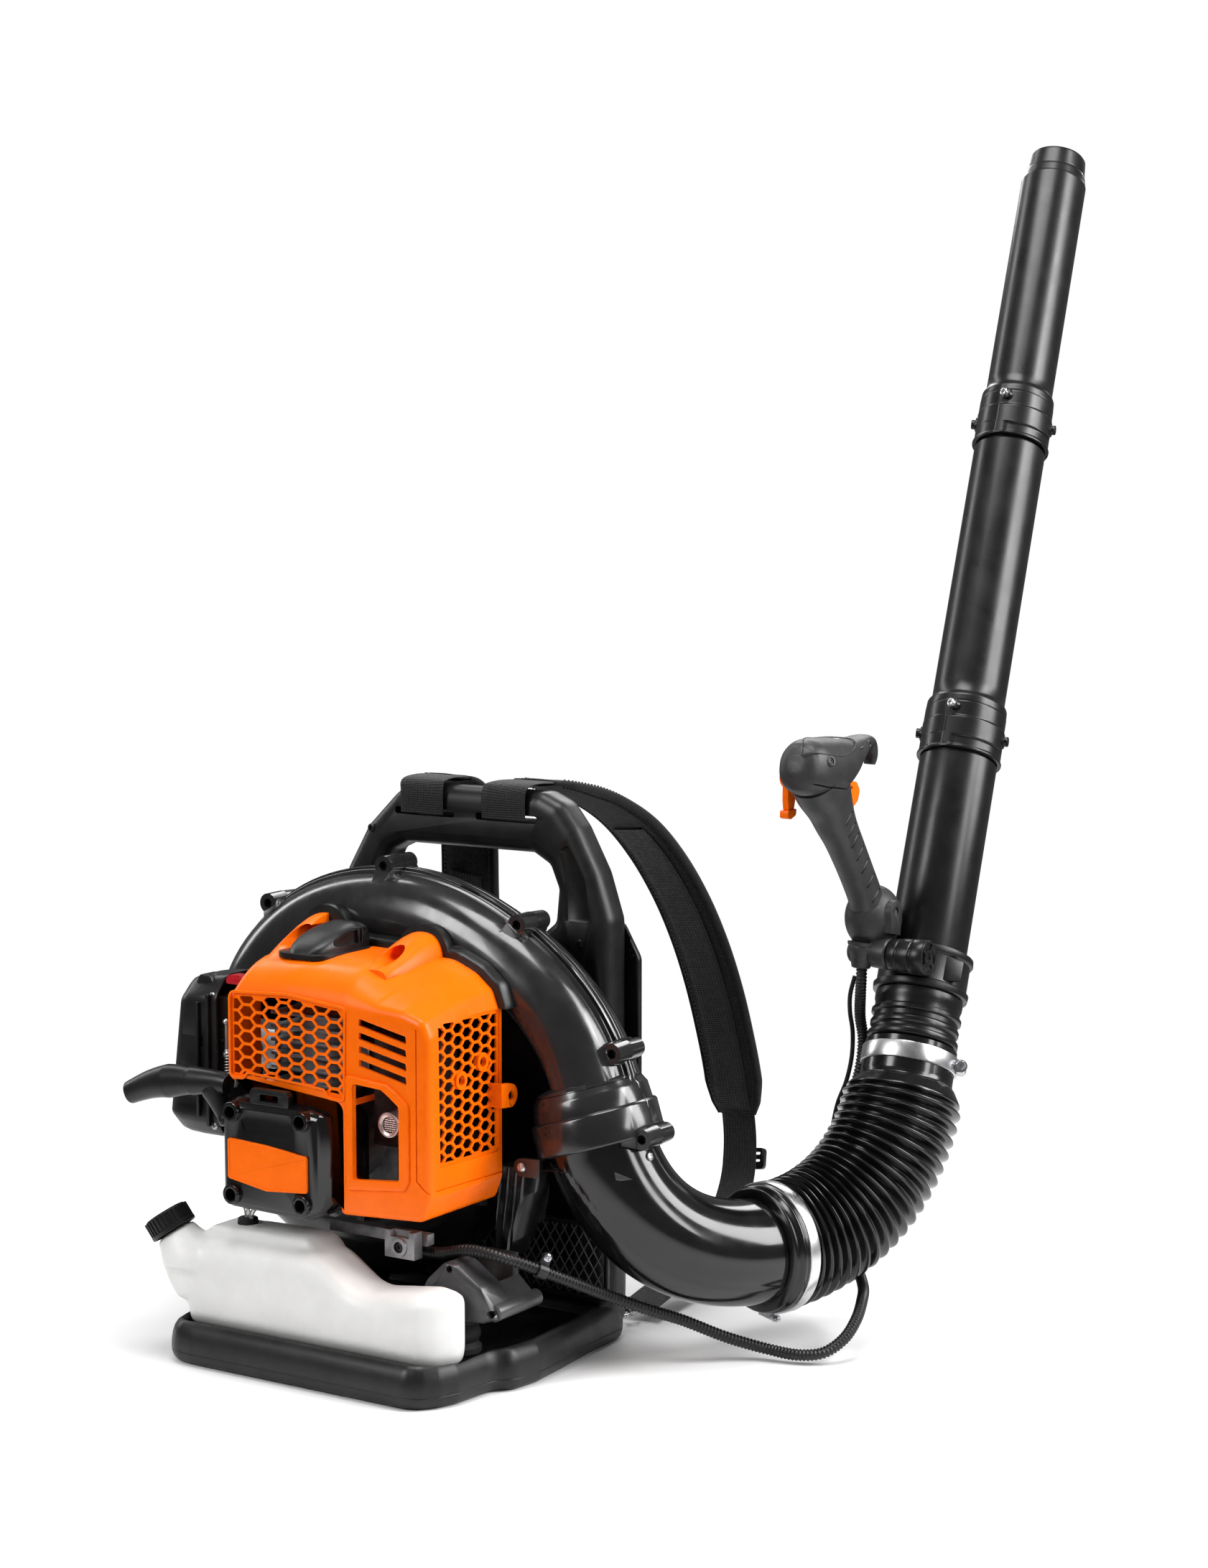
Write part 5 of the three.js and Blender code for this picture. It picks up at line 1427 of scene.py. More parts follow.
# seam in the bulb's -X side
minus(bulb, prism([(300, 352.2), (400, 379.2), (400, 380.4), (300, 353.4)],
                  "x", GRIP_X - 30, GRIP_X - 20.4))
bevel(bulb, 0.7, 2, angle=44)
done(bulb, "handle_foot", HANDLE, "handle", angle=46)
add_screw("pivot_bolt", PIVOT + X_AXIS * 286.8, -X_AXIS, 6.0, 2.4, BLACK_SCREW, body="handle")
done(lathe([(-2.5, 14.8), (0, 14.5), (1.2, 13.4), (2.0, 13.6), (7, 12.8), (8, 12.4),
            (13, 10.6), (21, 8.8), (22, 7.0)], (GRIP_X - 1.5, 340, 349), (-0.04, -0.12, -0.99),
           48), "conduit_collar", HANDLE, "tube")

# trigger blade
trigger = plate([(296, 503.6), (291.6, 492), (290.2, 478), (293, 470.5), (298.6, 470.8),
                 (304, 480), (316, 487), (320, 497), (314, 505), (304, 506.5)],
                [3, 8, 5, 3, 3, 6, 8, 4, 3, 3], 5, "x", GRIP_X - 5, GRIP_X + 5)
bevel(trigger, 1.4, 3, angle=40)
minus(trigger, rod((GRIP_X - 9, 303, 500.6), (GRIP_X + 9, 303, 500.6), 1.7, 20))
done(trigger, "trigger_blade", ORANGE, "trigger", angle=45,
     replaces="throttle_trigger" if "throttle_trigger" in NODES else nodes_like("", "trigger"))

# cruise lever: disc, arm and thumb tab
CRUISE = (GRIP_X, 248, 514)
cruise = lathe([(-34.6, 9.6), (-33.6, 10.8), (-29.0, 10.8), (-28.0, 9.8), (-26.5, 9.4),
                (-25.6, 9.2)], CRUISE, X_AXIS, 48)
plus(cruise, plate([(242.5, 514), (242.0, 492), (243.6, 482.6), (252.8, 482.6), (255.6, 492),
                    (254.6, 514)], [1, 6, 3, 3, 6, 1], 5, "x", GRIP_X - 33.4, GRIP_X - 27.6))
plus(cruise, plate([(241.0, 483), (240.4, 476.6), (246, 474.8), (255.4, 478), (256.4, 484)],
                   [2, 2, 3, 3, 2], 4, "x", GRIP_X - 35.2, GRIP_X - 26.6))
minus(cruise, rod((GRIP_X - 40, 248, 514), (GRIP_X - 33.2, 248, 514), 5.4, 36))
bevel(cruise, 0.9, 3, angle=40)
done(cruise, "cruise_blade", ORANGE, "cruise", angle=42,
     replaces=nodes_like("", "cruise"))
done(lathe([(-34.2, 5.2), (-33.8, 5.0), (-33.4, 0.1)], CRUISE, X_AXIS, 32), "cruise_cap",
     ORANGE, "cruise")
done(lathe([(-25.4, 12.6), (-24.4, 13.6), (-20, 13.8), (-14, 13.8)], CRUISE, X_AXIS, 48),
     "cruise_boss", HANDLE, "handle", angle=40)
done(lathe([(-3.6, 7.2), (-3.0, 7.6), (2, 7.6)], (GRIP_X - 22, 268, 508), X_AXIS, 32),
     "side_button", SATIN, "handle")

# ================================================================ base and upright frame
base_outline = fillet([
    (-112, -144), (124, -144), (138, -138), (149, -122), (155, -105), (160, -59), (173, -48),
    (178, -14), (175, 30), (170, 80), (166, 148), (-150, 148), (-150, 30), (-150, -110),
    (-144, -132), (-130, -142)], 22, 8)
base = stack(base_outline, [
    (8, 0.2), (4.2, 1.2), (1.8, 3.6), (0.5, 7.5), (0, 12.5), (0.2, 18), (1.2, 24.5),
    (3.2, 30.5), (6.2, 35), (10.0, 37.4), (14, 37.9)])
pocket_outline = fillet([
    (-130, -132), (126, -132), (142, -122), (152, -98), (154, -58), (162, -44), (166, -12),
    (162, 60), (154, 108), (-142, 108), (-142, -112)], 10, 5)
minus(base, stack(offset(pocket_outline, 3.2), [
    (0.5, 27.2), (0, 29), (-0.8, 33), (-2.4, 36.2), (-5.4, 38.2), (-5.6, 44)]))
# line moulded all round the rim
minus(base, closed_tube([(a, b, 11.0) for a, b in offset(base_outline, -0.25)], 420, 0.8, 8))

upright = stack(fillet([
    (165, 20), (166, 80), (164, 200), (164, 388), (150, 430), (128, 470), (111, 491),
    (90, 500), (-50, 500), (-74, 492), (-108, 459), (-132, 418), (-148, 380), (-150, 200),
    (-150, 20)], [2, 30, 40, 26, 30, 30, 20, 16, 20, 20, 30, 30, 26, 40, 2], 7), [
    (15, 112.2), (9.5, 112.9), (5.2, 114.8), (2.0, 118), (0.4, 122), (0, 127), (0, 137),
    (0.9, 142.6), (3.4, 146.4), (9, 147.9)], "y")
# hand hole under the top bar
minus(upright, stack(fillet([
    (-62, 444), (-80, 436), (-90, 415), (-88, 385), (-74, 370), (88, 370), (104, 383),
    (107, 413), (98, 434), (80, 444)], 9, 6), [
    (-12.5, 110), (-12.2, 112.3), (-7.8, 113.2), (-4.2, 115.2), (-1.6, 118.6), (-0.2, 123.4),
    (0, 128), (0, 138), (-1, 143), (-3.6, 146.4), (-8, 148), (-8.2, 150)], "y"))
# broad recess behind the fan housing
minus(upright, stack(fillet([(-112, 70), (-112, 340), (-96, 356), (112, 356), (128, 340),
                             (128, 70)], 14, 6), [
    (-3.5, 110), (-3.2, 112.4), (-0.8, 115.4), (0, 119), (1.6, 131), (3.2, 138)], "y"))
for x0, x1 in ((-72, -4), (20, 88)):  # slots for the shoulder straps
    minus(upright, plate(rect(x0, 471.6, x1, 478.4), 3.0, 5, "y", 104, 156))
plus(base, upright)
# sunk channels down both sides, and a sunk panel at the +X shoulder
minus(base, plate([(138, 78), (150, 78), (151, 352), (139, 352)], 4, 5, "y", 104, 114.6),
      plate(rect(-136, 96, -124, 352), 4, 5, "y", 104, 114.6))
minus(base, stack(fillet([(118, 384), (146, 384), (140, 424), (121, 456), (112, 448),
                          (118, 420)], 5, 5), [(-0.4, 110), (0, 113.0), (1.8, 114.8)], "y"))
bevel(base, 0.55, 2, angle=48)
done(base, "moulded_frame", FRAME, angle=46, replaces="backpack_frame")
for k, (x, z) in enumerate(((-100, 456), (134, 366))):
    add_screw(f"frame_screw_{k}", (x, 113.0, z), -Y_AXIS, 4.2, 1.6, BLACK_SCREW)
for k in range(5):  # level ribs behind the housing
    z = 96 + k * 54
    done(plate(rect(-104, z - 2, 121, z + 2), 1.2, 3, "y", 131.6, 139), f"panel_rib_{k}",
         FRAME, edge=0.5)

# ================================================================ harness
panel_outline = fillet([
    (-160, 70), (-160, 350), (-140, 388), (-110, 352), (126, 352), (155, 388), (176, 352),
    (176, 70), (150, 50), (-134, 50)], [10, 16, 8, 14, 14, 8, 14, 14, 10, 10], 6)
panel = stack(panel_outline, [(1.2, 148.3), (0, 149.2), (0, 151.6), (1.2, 152.5)], "y")
panel_rim = stack(panel_outline, [(0.4, 146.4), (0, 147.2), (0, 150)], "y")
minus(panel_rim, stack(panel_outline, [(3.0, 140), (3.0, 156)], "y"))
plus(panel, panel_rim)
minus(panel, box(-152, 100, -10, 166.5, 148.25, 600))
bevel(panel, 0.4, 2, angle=50)
done(panel, "harness_panel", SATIN, angle=40, replaces="harness_plate")
for k, (x, z) in enumerate(((168.2, 356), (168.2, 250), (170, 90), (-155.4, 352),
                            (-155.4, 90))):
    add_screw(f"harness_screw_{k}", (x, 148.4, z), -Y_AXIS, 4.4, 2.0, BLACK_SCREW)

# back pad
PAD_FRONT, PAD_BACK = 153.0, 179.0   # y of the two faces
pad_outline = fillet([(-110, 90), (-118, 110), (-118, 320), (-104, 344), (120, 344),
                      (134, 320), (134, 110), (126, 90)], 12, 6)


def inflate(core):
    """Blows the pad up as cloth under pressure, then limits how far each point may move."""
    cloth = core.modifiers.new("c", "CLOTH")
    settings = cloth.settings
    settings.use_pressure = True
    settings.uniform_pressure_force = 4.0
    settings.effector_weights.gravity = 0.0
    settings.tension_stiffness = settings.compression_stiffness = 12
    settings.shear_stiffness = 4
    settings.bending_stiffness = 0.6
    settings.quality = 5
    cloth.point_cache.frame_start, cloth.point_cache.frame_end = 1, 20
    before = np.array([v.co[:] for v in core.data.vertices])
    for frame in range(1, 21):
        SCENE.frame_set(frame)
    bpy.context.view_layer.update()
    blown = core.evaluated_get(bpy.context.evaluated_depsgraph_get())
    after = np.array([v.co[:] for v in blown.data.vertices])
    core.modifiers.clear()
    if len(after) == len(before):
        move = after - before
        size = np.linalg.norm(move, axis=1)
        after = before + move * np.minimum(1.0, 0.0085 / np.maximum(size, 1e-9))[:, None]
        after[:, 1] = np.maximum(after[:, 1], (PAD_FRONT + 0.4) * MM)
        after[:, 1] = np.minimum(after[:, 1], (PAD_BACK - 0.3) * MM)
        core.data.vertices.foreach_set("co", after.astype(np.float32).ravel())
        core.data.update()
    SCENE.frame_set(1)


pad = stack(offset(pad_outline, 7.0), [
    (3, PAD_FRONT + 2.5), (0, PAD_FRONT + 5), (0, PAD_BACK - 11), (3, PAD_BACK - 8.5)], "y")
remesh = pad.modifiers.new("r", "REMESH")
remesh.mode = "VOXEL"
remesh.voxel_size = 0.0048
bake(pad)
inflate(pad)
# quilting pressed into the crown: three level channels and one upright
for v in pad.data.vertices:
    x, y, z = (c / MM for c in v.co)
    depth = max(6.5 * math.exp(-((z - level) / 3.6) ** 2) for level in (150, 217, 284))
    depth = max(depth, 5.0 * math.exp(-((x - 8) / 3.4) ** 2))
    if y > 164:
        v.co[1] = (y - depth * min(1, (y - 164) / 8)) * MM
    v.co[1] += 0.0005 * noise.noise(Vector((x * 0.03, y * 0.03, z * 0.03)))
subdivide = pad.modifiers.new("s", "SUBSURF")
subdivide.levels = subdivide.render_levels = 1
bake(pad)
done(pad, "back_cushion", AIR_MESH, angle=180, replaces="back_pad")
done(closed_tube([(a, 156.5, b) for a, b in offset(pad_outline, 2.2)], 300, 3.0, 12),
     "cushion_binding", BINDING, angle=180)


# ---------------------------------------------------------------- straps
def ribbon(points, half, thick, name, material, crown=0.0, cols=12, wobble=0.0,
           replaces=None):
    """Flat strap along the points, its width along X. UV is in metres.

    half (width) and thick may be functions of the distance run.
    """
    slopes, run = tangents(points), lengths(points)
    rings, uvs = [], []
    section = ([(u, 1) for u in np.linspace(-1, 1, cols)]
               + [(u, -1) for u in np.linspace(1, -1, cols)])
    for p, t, s in zip(points, slopes, run):
        w = square_to(X_AXIS, t)
        normal = np.cross(t, w)
        h = half(s) if callable(half) else half
        depth = thick(s) if callable(thick) else thick
        ring = []
        for u, side in section:
            edge = max(0.0, 1 - abs(u) ** 10) ** 0.5 if abs(u) > 0.7 else 1.0
            swell = crown * (1 - u * u) * (1 if side > 0 else 0.35)
            wave = wobble * noise.noise(Vector((u * 1.3, s * 0.018, 3.1)))
            ring.append(p + w * h * u
                        + normal * (side * (depth / 2 * max(edge, 0.25) + swell) + wave))
            uvs.append((u * h * MM, s * MM))
        rings.append(ring)
    part = loft(rings)
    layer = part.data.uv_layers.new(name="weave")
    for loop in part.data.loops:
        layer.data[loop.index].uv = uvs[loop.vertex_index]
    done(part, name, material, angle=60, replaces=replaces)


def stitches(points, off, height, name, step=4.6, margin=14):
    """Raised stitches on both faces of a strap, off(s) from its middle, height(s) up."""
    slopes, run = tangents(points), lengths(points)
    verts, faces = [], []
    s = margin
    while s < run[-1] - margin:
        c = at_distance(s, run, points)
        t = unit(at_distance(s, run, slopes))
        w = square_to(X_AXIS, t)
        normal = np.cross(t, w)
        for side in (1, -1):
            first = len(verts)
            q = c + w * off(s) + normal * side * (height(s) - 0.3)
            for a, top, wide in ((-1.35, 0.1, 0.28), (-0.7, 0.75, 0.42), (0.7, 0.75, 0.42),
                                 (1.35, 0.1, 0.28)):
                verts += [q + t * a + w * b + normal * side * h
                          for b, h in rect(-wide, -0.3, wide, top)]
            for k in range(0, 12, 4):
                for i in range(4):
                    j = (i + 1) % 4
                    faces.append([first + k + i, first + k + j, first + k + 4 + j,
                                  first + k + 4 + i])
            faces.append([first + i for i in range(4)])
            faces.append([first + 12 + i for i in range(4)])
        s += step
    done(mesh_obj(verts, faces), name, BINDING, angle=40)


# shoulder strap from the slot over the top bar, then the lower webbing to its hook
STRAPS = {
    "right": ([
        (54, 108.3, 474), (54, 108.3, 497), (55, 112, 504), (57, 148, 505.5), (62, 192, 497),
        (68, 240, 482), (75, 288, 456), (82, 327, 420), (89, 361, 375), (95, 386, 329),
        (101, 403, 283), (107, 414, 237), (112, 422, 193), (115, 427, 151)], [
        (116, 428, 147), (119, 426, 119), (123, 414, 88), (129, 382, 58), (135, 338, 39),
        (141, 285, 27), (146, 228, 20), (149, 194, 16)]),
    "left": ([
        (-38, 108.3, 474), (-38, 108.3, 497), (-39, 112, 504), (-41, 148, 505.5),
        (-44, 172, 497), (-47, 192, 472), (-52, 203, 436), (-59, 214, 392), (-67, 228, 345),
        (-76, 243, 298), (-85, 254, 250), (-92, 258, 204), (-97, 252, 158),
        (-99, 246, 138)], [
        (-99.5, 244, 134), (-101, 236, 108), (-104, 226, 84), (-108, 217, 64),
        (-113, 209, 48), (-119, 204, 38), (-124, 200, 32), (-128, 196, 26)])}


def strap(tag, path, low):
    line = catmull(path, 260)
    run = lengths(line)
    ribbon(line[:int(np.searchsorted(run, 118.0))], 24.0, 2.3, f"{tag}_bar_loop", WEBBING,
           cols=16)
    # the padded part starts behind the bar
    start = int(np.searchsorted(run, 74.0))
    line, total = line[start:], run[-1] - run[start]
    half = lambda s: 30.0 * interp(s, [(0, 0.80), (6, 0.88), (22, 1.0), (total - 34, 1.0),
                                       (total - 12, 0.86), (total, 0.66)])
    thick = lambda s: interp(s, [(0, 4.0), (10, 6.0), (60, 10.0), (total - 26, 10.0),
                                 (total, 4.5)])
    node = f"{tag}_shoulder_strap"
    ribbon(line, half, thick, f"{tag}_strap_pad", AIR_MESH, crown=1.6, cols=22, wobble=0.8,
           replaces=node if node in NODES else nodes_like(tag, "strap"))
    slopes, run = tangents(line), lengths(line)
    across = [square_to(X_AXIS, t) for t in slopes]
    for side, letter in ((-1, "l"), (1, "r")):
        edge = np.array([p + w * side * (half(s) - 0.2)
                         for p, w, s in zip(line, across, run)])
        _, sides, ups = sweep_frames(edge, X_AXIS)
        done(loft([ellipse(edge[k], sides[k], ups[k], 2.3, thick(run[k]) / 2 * 0.72 + 0.6, 16)
                   for k in range(len(edge))]), f"{tag}_pad_binding_{letter}", BINDING,
             angle=80)
        stitches(line, lambda s: side * (half(s) - 4.6), lambda s: thick(s) / 2 + 0.55,
                 f"{tag}_pad_stitch_{letter}")
    # webbing laid on the pad's outer face
    outer = np.array([p + np.cross(t, w) * (thick(s) / 2 + 2.4)
                      for p, t, w, s in zip(line, slopes, across, run)])
    ribbon(outer[int(0.30 * len(outer)):-3], 18.5, 1.9, f"{tag}_face_webbing", WEBBING)
    ribbon(catmull(path[-3:-1] + low, 190), 18.8, 2.1, f"{tag}_lower_webbing", WEBBING,
           replaces=nodes_like(tag, "webbing"))


for tag, (path, low) in STRAPS.items():
    strap(tag, path, low)


# ---------------------------------------------------------------- strap hardware
def ladder_buckle(tag, low):
    """Moulded frame with two cross bars, square to the webbing it sits on."""
    node = f"{tag}_ladder_buckle"
    lo, hi = node_box(node)
    c, size = (lo + hi) / 2, hi - lo
    line = catmull(low, 140)
    i = int(np.argmin(np.linalg.norm(line - c, axis=1)))
    t = unit(line[min(139, i + 3)] - line[max(0, i - 3)])
    w, h = size[0] / 2 - 0.5, np.linalg.norm(size[1:]) / 2 - 1.5
    x = square_to(X_AXIS, t)
    normal = np.cross(x, t)
    if normal[1] < 0:
        normal = -normal
    buckle = slab(c, x, t, normal, fillet(rect(-w, -h, w, h), 4.5, 5), -2.6, 2.6)
    for b0, b1 in ((-h + 4, -h * 0.36), (-h * 0.36 + 4.5, h * 0.30), (h * 0.30 + 4.0, h - 3.2)):
        if b1 - b0 > 2:
            minus(buckle, slab(c, x, t, normal, fillet(rect(-w + 4.6, b0, w - 4.6, b1), 1.4, 3),
                               -6, 6))
    bevel(buckle, 0.8, 2, angle=40)
    done(buckle, f"{tag}_buckle", SATIN, replaces=node)


def snap_hook(tag):
    """Eye for the webbing, swivel, bent hook and gate, lying flat along -Y."""
    node, body = f"{tag}_snap_hook", f"{tag}_hook"
    lo, hi = node_box(node)
    x, _, z = (lo + hi) / 2
    half = min(20, (hi - lo)[0] / 2 - 2.4)
    eye_y = hi[1] - 3.2
    eye = fillet([(x - half, eye_y), (x + half, eye_y), (x + half - 7, eye_y - 11),
                  (x - half + 7, eye_y - 11)], 3, 5)
    done(closed_tube([(a, b, z) for a, b in eye], 110, 2.0, 14), f"{tag}_hook_eye", STEEL,
         body, angle=60, replaces=node)
    done(lathe([(0, 3.2), (1, 4.6), (4.5, 4.8), (6, 4.0), (7.5, 3.0), (9, 4.2), (12, 4.4),
                (13, 3.0)], (x, eye_y - 11 + 1.6, z), -Y_AXIS, 32), f"{tag}_hook_swivel",
         ZINC, body)
    near, far = eye_y - 22, lo[1] + 2.4
    span = max(6.0, near - far)
    r = min(9.5, span * 0.42)
    bend = [(x, near + 2, z), (x - r * 0.55, near - 2, z), (x - r, near - span * 0.34, z),
            (x - r, far + span * 0.30, z), (x - r * 0.5, far + 1.2, z),
            (x + r * 0.4, far + 0.6, z), (x + r, far + span * 0.25, z),
            (x + r, far + span * 0.42, z)]
    done(tube(catmull(bend, 70), 2.0, 16), f"{tag}_hook_bend", STEEL, body)
    gate = [(x + r * 0.9, near - 3, z + 0.4), (x + r, near - span * 0.3, z + 0.2),
            (x + r * 0.98, far + span * 0.40, z)]
    done(tube(catmull(gate, 24), 1.3, 12), f"{tag}_hook_gate", ZINC, body)


for tag, (_, low) in STRAPS.items():
    ladder_buckle(tag, low)
    snap_hook(tag)

# ================================================================ intake net
(x0, y0, z0), (x1, y1, z1) = node_box("intake_net")
net = plate(rect(x0, z0, x1, z1), 3, 4, "y", y0 + 0.3, y1 - 0.3)
minus(net, plate(rect(x0 + 4, z0 + 4, x1 - 4, z1 - 4), 2, 4, "y", y0 - 4, y1 + 4))
bevel(net, 0.6, 2)
wires = []
for side in (-1, 1):
    y = (y0 + y1) / 2 + side * 0.35
    for x in np.arange(x0 - 40, x1 + 40, 10.5):
        a = np.array([x, z0 + 3])
        run = np.array([x + side * (z1 - z0 - 6) * 0.62, z1 - 3]) - a
        # the part of the slanted wire between the net's sides
        t0, t1 = sorted(((x0 + 3 - x) / run[0], (x1 - 3 - x) / run[0]))
        t0, t1 = max(0.0, t0), min(1.0, t1)
        if t1 - t0 > 0.05:
            p, q = a + run * t0, a + run * t1
            wires.append(rod((p[0], y, p[1]), (q[0], y, q[1]), 0.62, 8))
done(net, "intake_mesh", SATIN, angle=36, replaces="intake_net")
done(merge(*wires), "intake_wires", WIRE, angle=50)

# ================================================================ support foot, mounts, bracket
foot = stack(fillet(rect(92, -66, 138, 14.6), 3, 4), [(1.2, 60.1), (0, 61.2), (0, 65.4),
                                                      (0.6, 66)])
arch = fillet([(76, 60.2), (150, 60.2), (166, 66), (150, 92), (124, 109), (110, 109),
               (92, 92)], [4, 5, 3, 16, 10, 10, 14], 6)
shell = stack(arch, [(3.2, -66), (1.0, -65.0), (0, -62.5), (0, -37.5), (1.2, -36.1)], "y")
minus(shell, stack(offset(arch, 3.4), [(0, -62.6), (0, -34)], "y"))
minus(shell, box(60, -80, 40, 200, 0, 60.4))
plus(foot, shell)
plus(foot, box(96, 6, 62.2, 134, 14.6, 104))
for y in (-50.5, -42.5):
    plus(foot, prism([(96, 61), (148, 61), (146, 80), (124, 100), (110, 100), (97, 84)],
                     "y", y, y + 2.4))
plus(foot, rod((160, -60, 70), (160, 4, 70), 7.4, 32),
     rod((117, -62, 104), (117, -40, 104), 6.6, 28),
     prism([(140, 61), (160, 63.4), (160, 77), (146, 90), (138, 80)], "y", -44, -2))
minus(foot, rod((160, -70, 70), (160, -55, 70), 3.6, 20),
      rod((117, -70, 104), (117, -58, 104), 3.2, 20))
bevel(foot, 0.8, 2, angle=42)
done(foot, "arched_foot", SMOKY_FOOT, angle=44, replaces="support_foot")
for k, (x, z) in enumerate(((117, 104), (160, 70))):
    add_screw(f"foot_screw_{k}", (x, -59 + 0.8 * k, z), -Y_AXIS, 4.6, 2.4, BLACK_SCREW, "cross")

# fractions of the mount's height and radius
BELLOWS = [(0, 0.93), (0.05, 1), (0.18, 1), (0.24, 0.9), (0.32, 0.86), (0.40, 0.94),
           (0.5, 0.96), (0.60, 0.94), (0.68, 0.86), (0.76, 0.9), (0.82, 1), (0.95, 1), (1, 0.93)]
for name, x, y, r in (("rubber_mount_right", 115, -51, 21), ("rubber_mount_left", -60, 54, 18)):
    lo, hi = node_box(name)
    z = lo[2] + 0.1
    height = hi[2] - 0.1 - z
    done(lathe([(height * f, r * g) for f, g in BELLOWS], (x, y, z), Z_AXIS, 64),
         name + "_bellows", RUBBER, replaces=name)

bracket = box(52, -72, 108, 84, -60.4, 132)
minus(bracket, rod((68, -90, 118), (68, -40, 118), 5.2, 28))
minus(bracket, box(58, -78, 126.5, 78, -66, 140))
plus(bracket, lathe([(0, 8.6), (2.4, 8.2), (2.5, 5.3)], (68, -71.5, 118), -Y_AXIS, 36))
minus(bracket, rod((68, -90, 118), (68, -68, 118), 5.0, 28))
bevel(bracket, 1.0, 2, angle=40)
done(bracket, "bracket_block", BRACKET, replaces="crankcase_bracket")
add_screw("bracket_bolt", (68, -69.5, 118), -Y_AXIS, 4.9, 3.2, BLACK_SCREW)

# ================================================================ recoil starter
STARTER_CORNERS = ((-83, 228), (-5, 228), (-83, 154), (-5, 154))
starter = stack(fillet([(-98, 150), (-90, 140), (-4, 138), (13, 146), (23.4, 160),
                        (23.4, 228), (12, 236), (-6, 239.5), (-86, 239.5), (-98, 232)],
                       [10, 8, 10, 12, 12, 12, 8, 8, 10, 8], 7),
                [(0, -56.2), (0, -100), (0.4, -106), (1.8, -110), (4.6, -112.8),
                 (7.5, -114)], "y")
minus(starter, prism([(9.5, -119), (50, -119), (50, -70), (24.5, -84)], "z", 120, 260))
for x, z in STARTER_CORNERS:
    plus(starter, lathe([(0, 11.8), (6, 11.0), (28, 10.2), (34.5, 9.4), (38, 9.0),
                         (38.6, 8.6)], (x, -80, z), -Y_AXIS, 48))
for x, z in STARTER_CORNERS:
    minus(starter, rod((x, -125, z), (x, -94, z), 5.6, 32))
# shallow dish above the plate, and a row of steps in the -X side
minus(starter, plate([(-70, 212), (-18, 212), (-14, 222), (-22, 231), (-66, 231),
                      (-74, 222)], 4, 4, "y", -120, -113.0))
for z in (163, 176, 189):
    minus(starter, box(-110, -100, z, -96.6, -70, z + 6.5))
bevel(starter, 0.8, 3, angle=44)
done(starter, "starter_housing", GLOSS, angle=42,
     replaces="starter_cover")
for k, (x, z) in enumerate(STARTER_CORNERS):
    add_screw(f"starter_screw_{k}", (x, -95, z), -Y_AXIS, 4.8, 2.6, BLACK_SCREW)
guide = rod((-92, -90, 197.2), (-107.6, -90, 204), 8.6, 36, 7.2)
minus(guide, rod((-90, -90, 196.5), (-112, -90, 206), 4.2, 28))
bevel(guide, 1.0, 3, angle=40)
done(guide, "rope_guide", GLOSS, angle=44)
bracket = plate([(-66, 236.6), (-22, 236.6), (-22, 247), (-25, 251), (-63, 251), (-66, 247)],
                2, 4, "y", -111.6, -104.2)
minus(bracket, plate(rect(-54, 240, -34, 246.4), 1.6, 4, "y", -115, -100))
bevel(bracket, 0.7, 2)
done(bracket, "top_bracket", SATIN)
# blank six-sided plate with a raised border
plate_outline = fillet([(-87.4, 168.4), (-44, 161.6), (1.4, 165.4), (1.4, 197.6),
                        (-44, 202.4), (-87.4, 204.6)], 3, 4)
done(stack(plate_outline, [(0, -114.2), (0, -116.4), (0.6, -116.9), (2.2, -116.9),
                           (2.6, -116.4)], "y"),
     "blank_plate", ORANGE, angle=10, replaces="name_plate")

# pull grip and its stem
ROPE_DIR = unit([-0.46, 0, 0.888])
ROPE_EXIT = np.array([-105.5, -90.0, 203.0])
# x, z, half width along Y, half height
PULL_STATIONS = [
    (-223.5, 225, 9.5, 10.5), (-222, 225.6, 12.4, 13.6), (-218, 227.4, 13.6, 15.4),
    (-208, 231.6, 13.4, 15.2), (-198, 235.4, 12.8, 14.2), (-186, 238.8, 12.4, 13.2),
    (-170, 241.8, 12.4, 12.8), (-152, 243.8, 12.2, 12.4), (-134, 245.2, 12.2, 12.4),
    (-118, 245.8, 12.2, 12.8), (-111, 245.4, 11.4, 12.0), (-107.5, 245, 8.6, 9.0)]
line = catmull([(x, -90, z) for x, z, _, _ in PULL_STATIONS], 90)
radii = catmull([(ry, rz, 0) for _, _, ry, rz in PULL_STATIONS], 90)
rings = []
for p, t, (ry, rz, _) in zip(line, tangents(line), radii):
    up = -np.cross(Y_AXIS, t)
    rings.append([p + Y_AXIS * ry * signed_power(math.cos(a), 0.9)
                  + up * rz * signed_power(math.sin(a), 0.9) for a in turn(48)])
pull = loft(rings)
plus(pull, lathe([(7, 5.4), (8, 7.0), (13, 7.6), (14.4, 7.0), (18, 7.4), (24, 8.4),
                  (32, 10.0), (38, 11.6), (42, 12.2)], ROPE_EXIT, ROPE_DIR, 40))
minus(pull, rod(ROPE_EXIT + ROPE_DIR * 2, ROPE_EXIT + ROPE_DIR * 16, 2.6, 20))
bevel(pull, 0.4, 2, angle=50)
done(pull, "pull_grip", SATIN, "grip", angle=50,
     replaces="starter_grip")


def rope(points, r, turns):
    """Laid cord: three strands show as a helical lobe."""
    _, sides, ups = sweep_frames(points)
    rings = []
    for k, p in enumerate(points):
        twist = 2 * math.pi * turns * k / (len(points) - 1)
        rings.append([p + (sides[k] * math.cos(a) + ups[k] * math.sin(a)) * r
                      * (0.88 + 0.12 * abs(math.cos(1.5 * (a + twist)))) for a in turn(24)])
    return loft(rings)


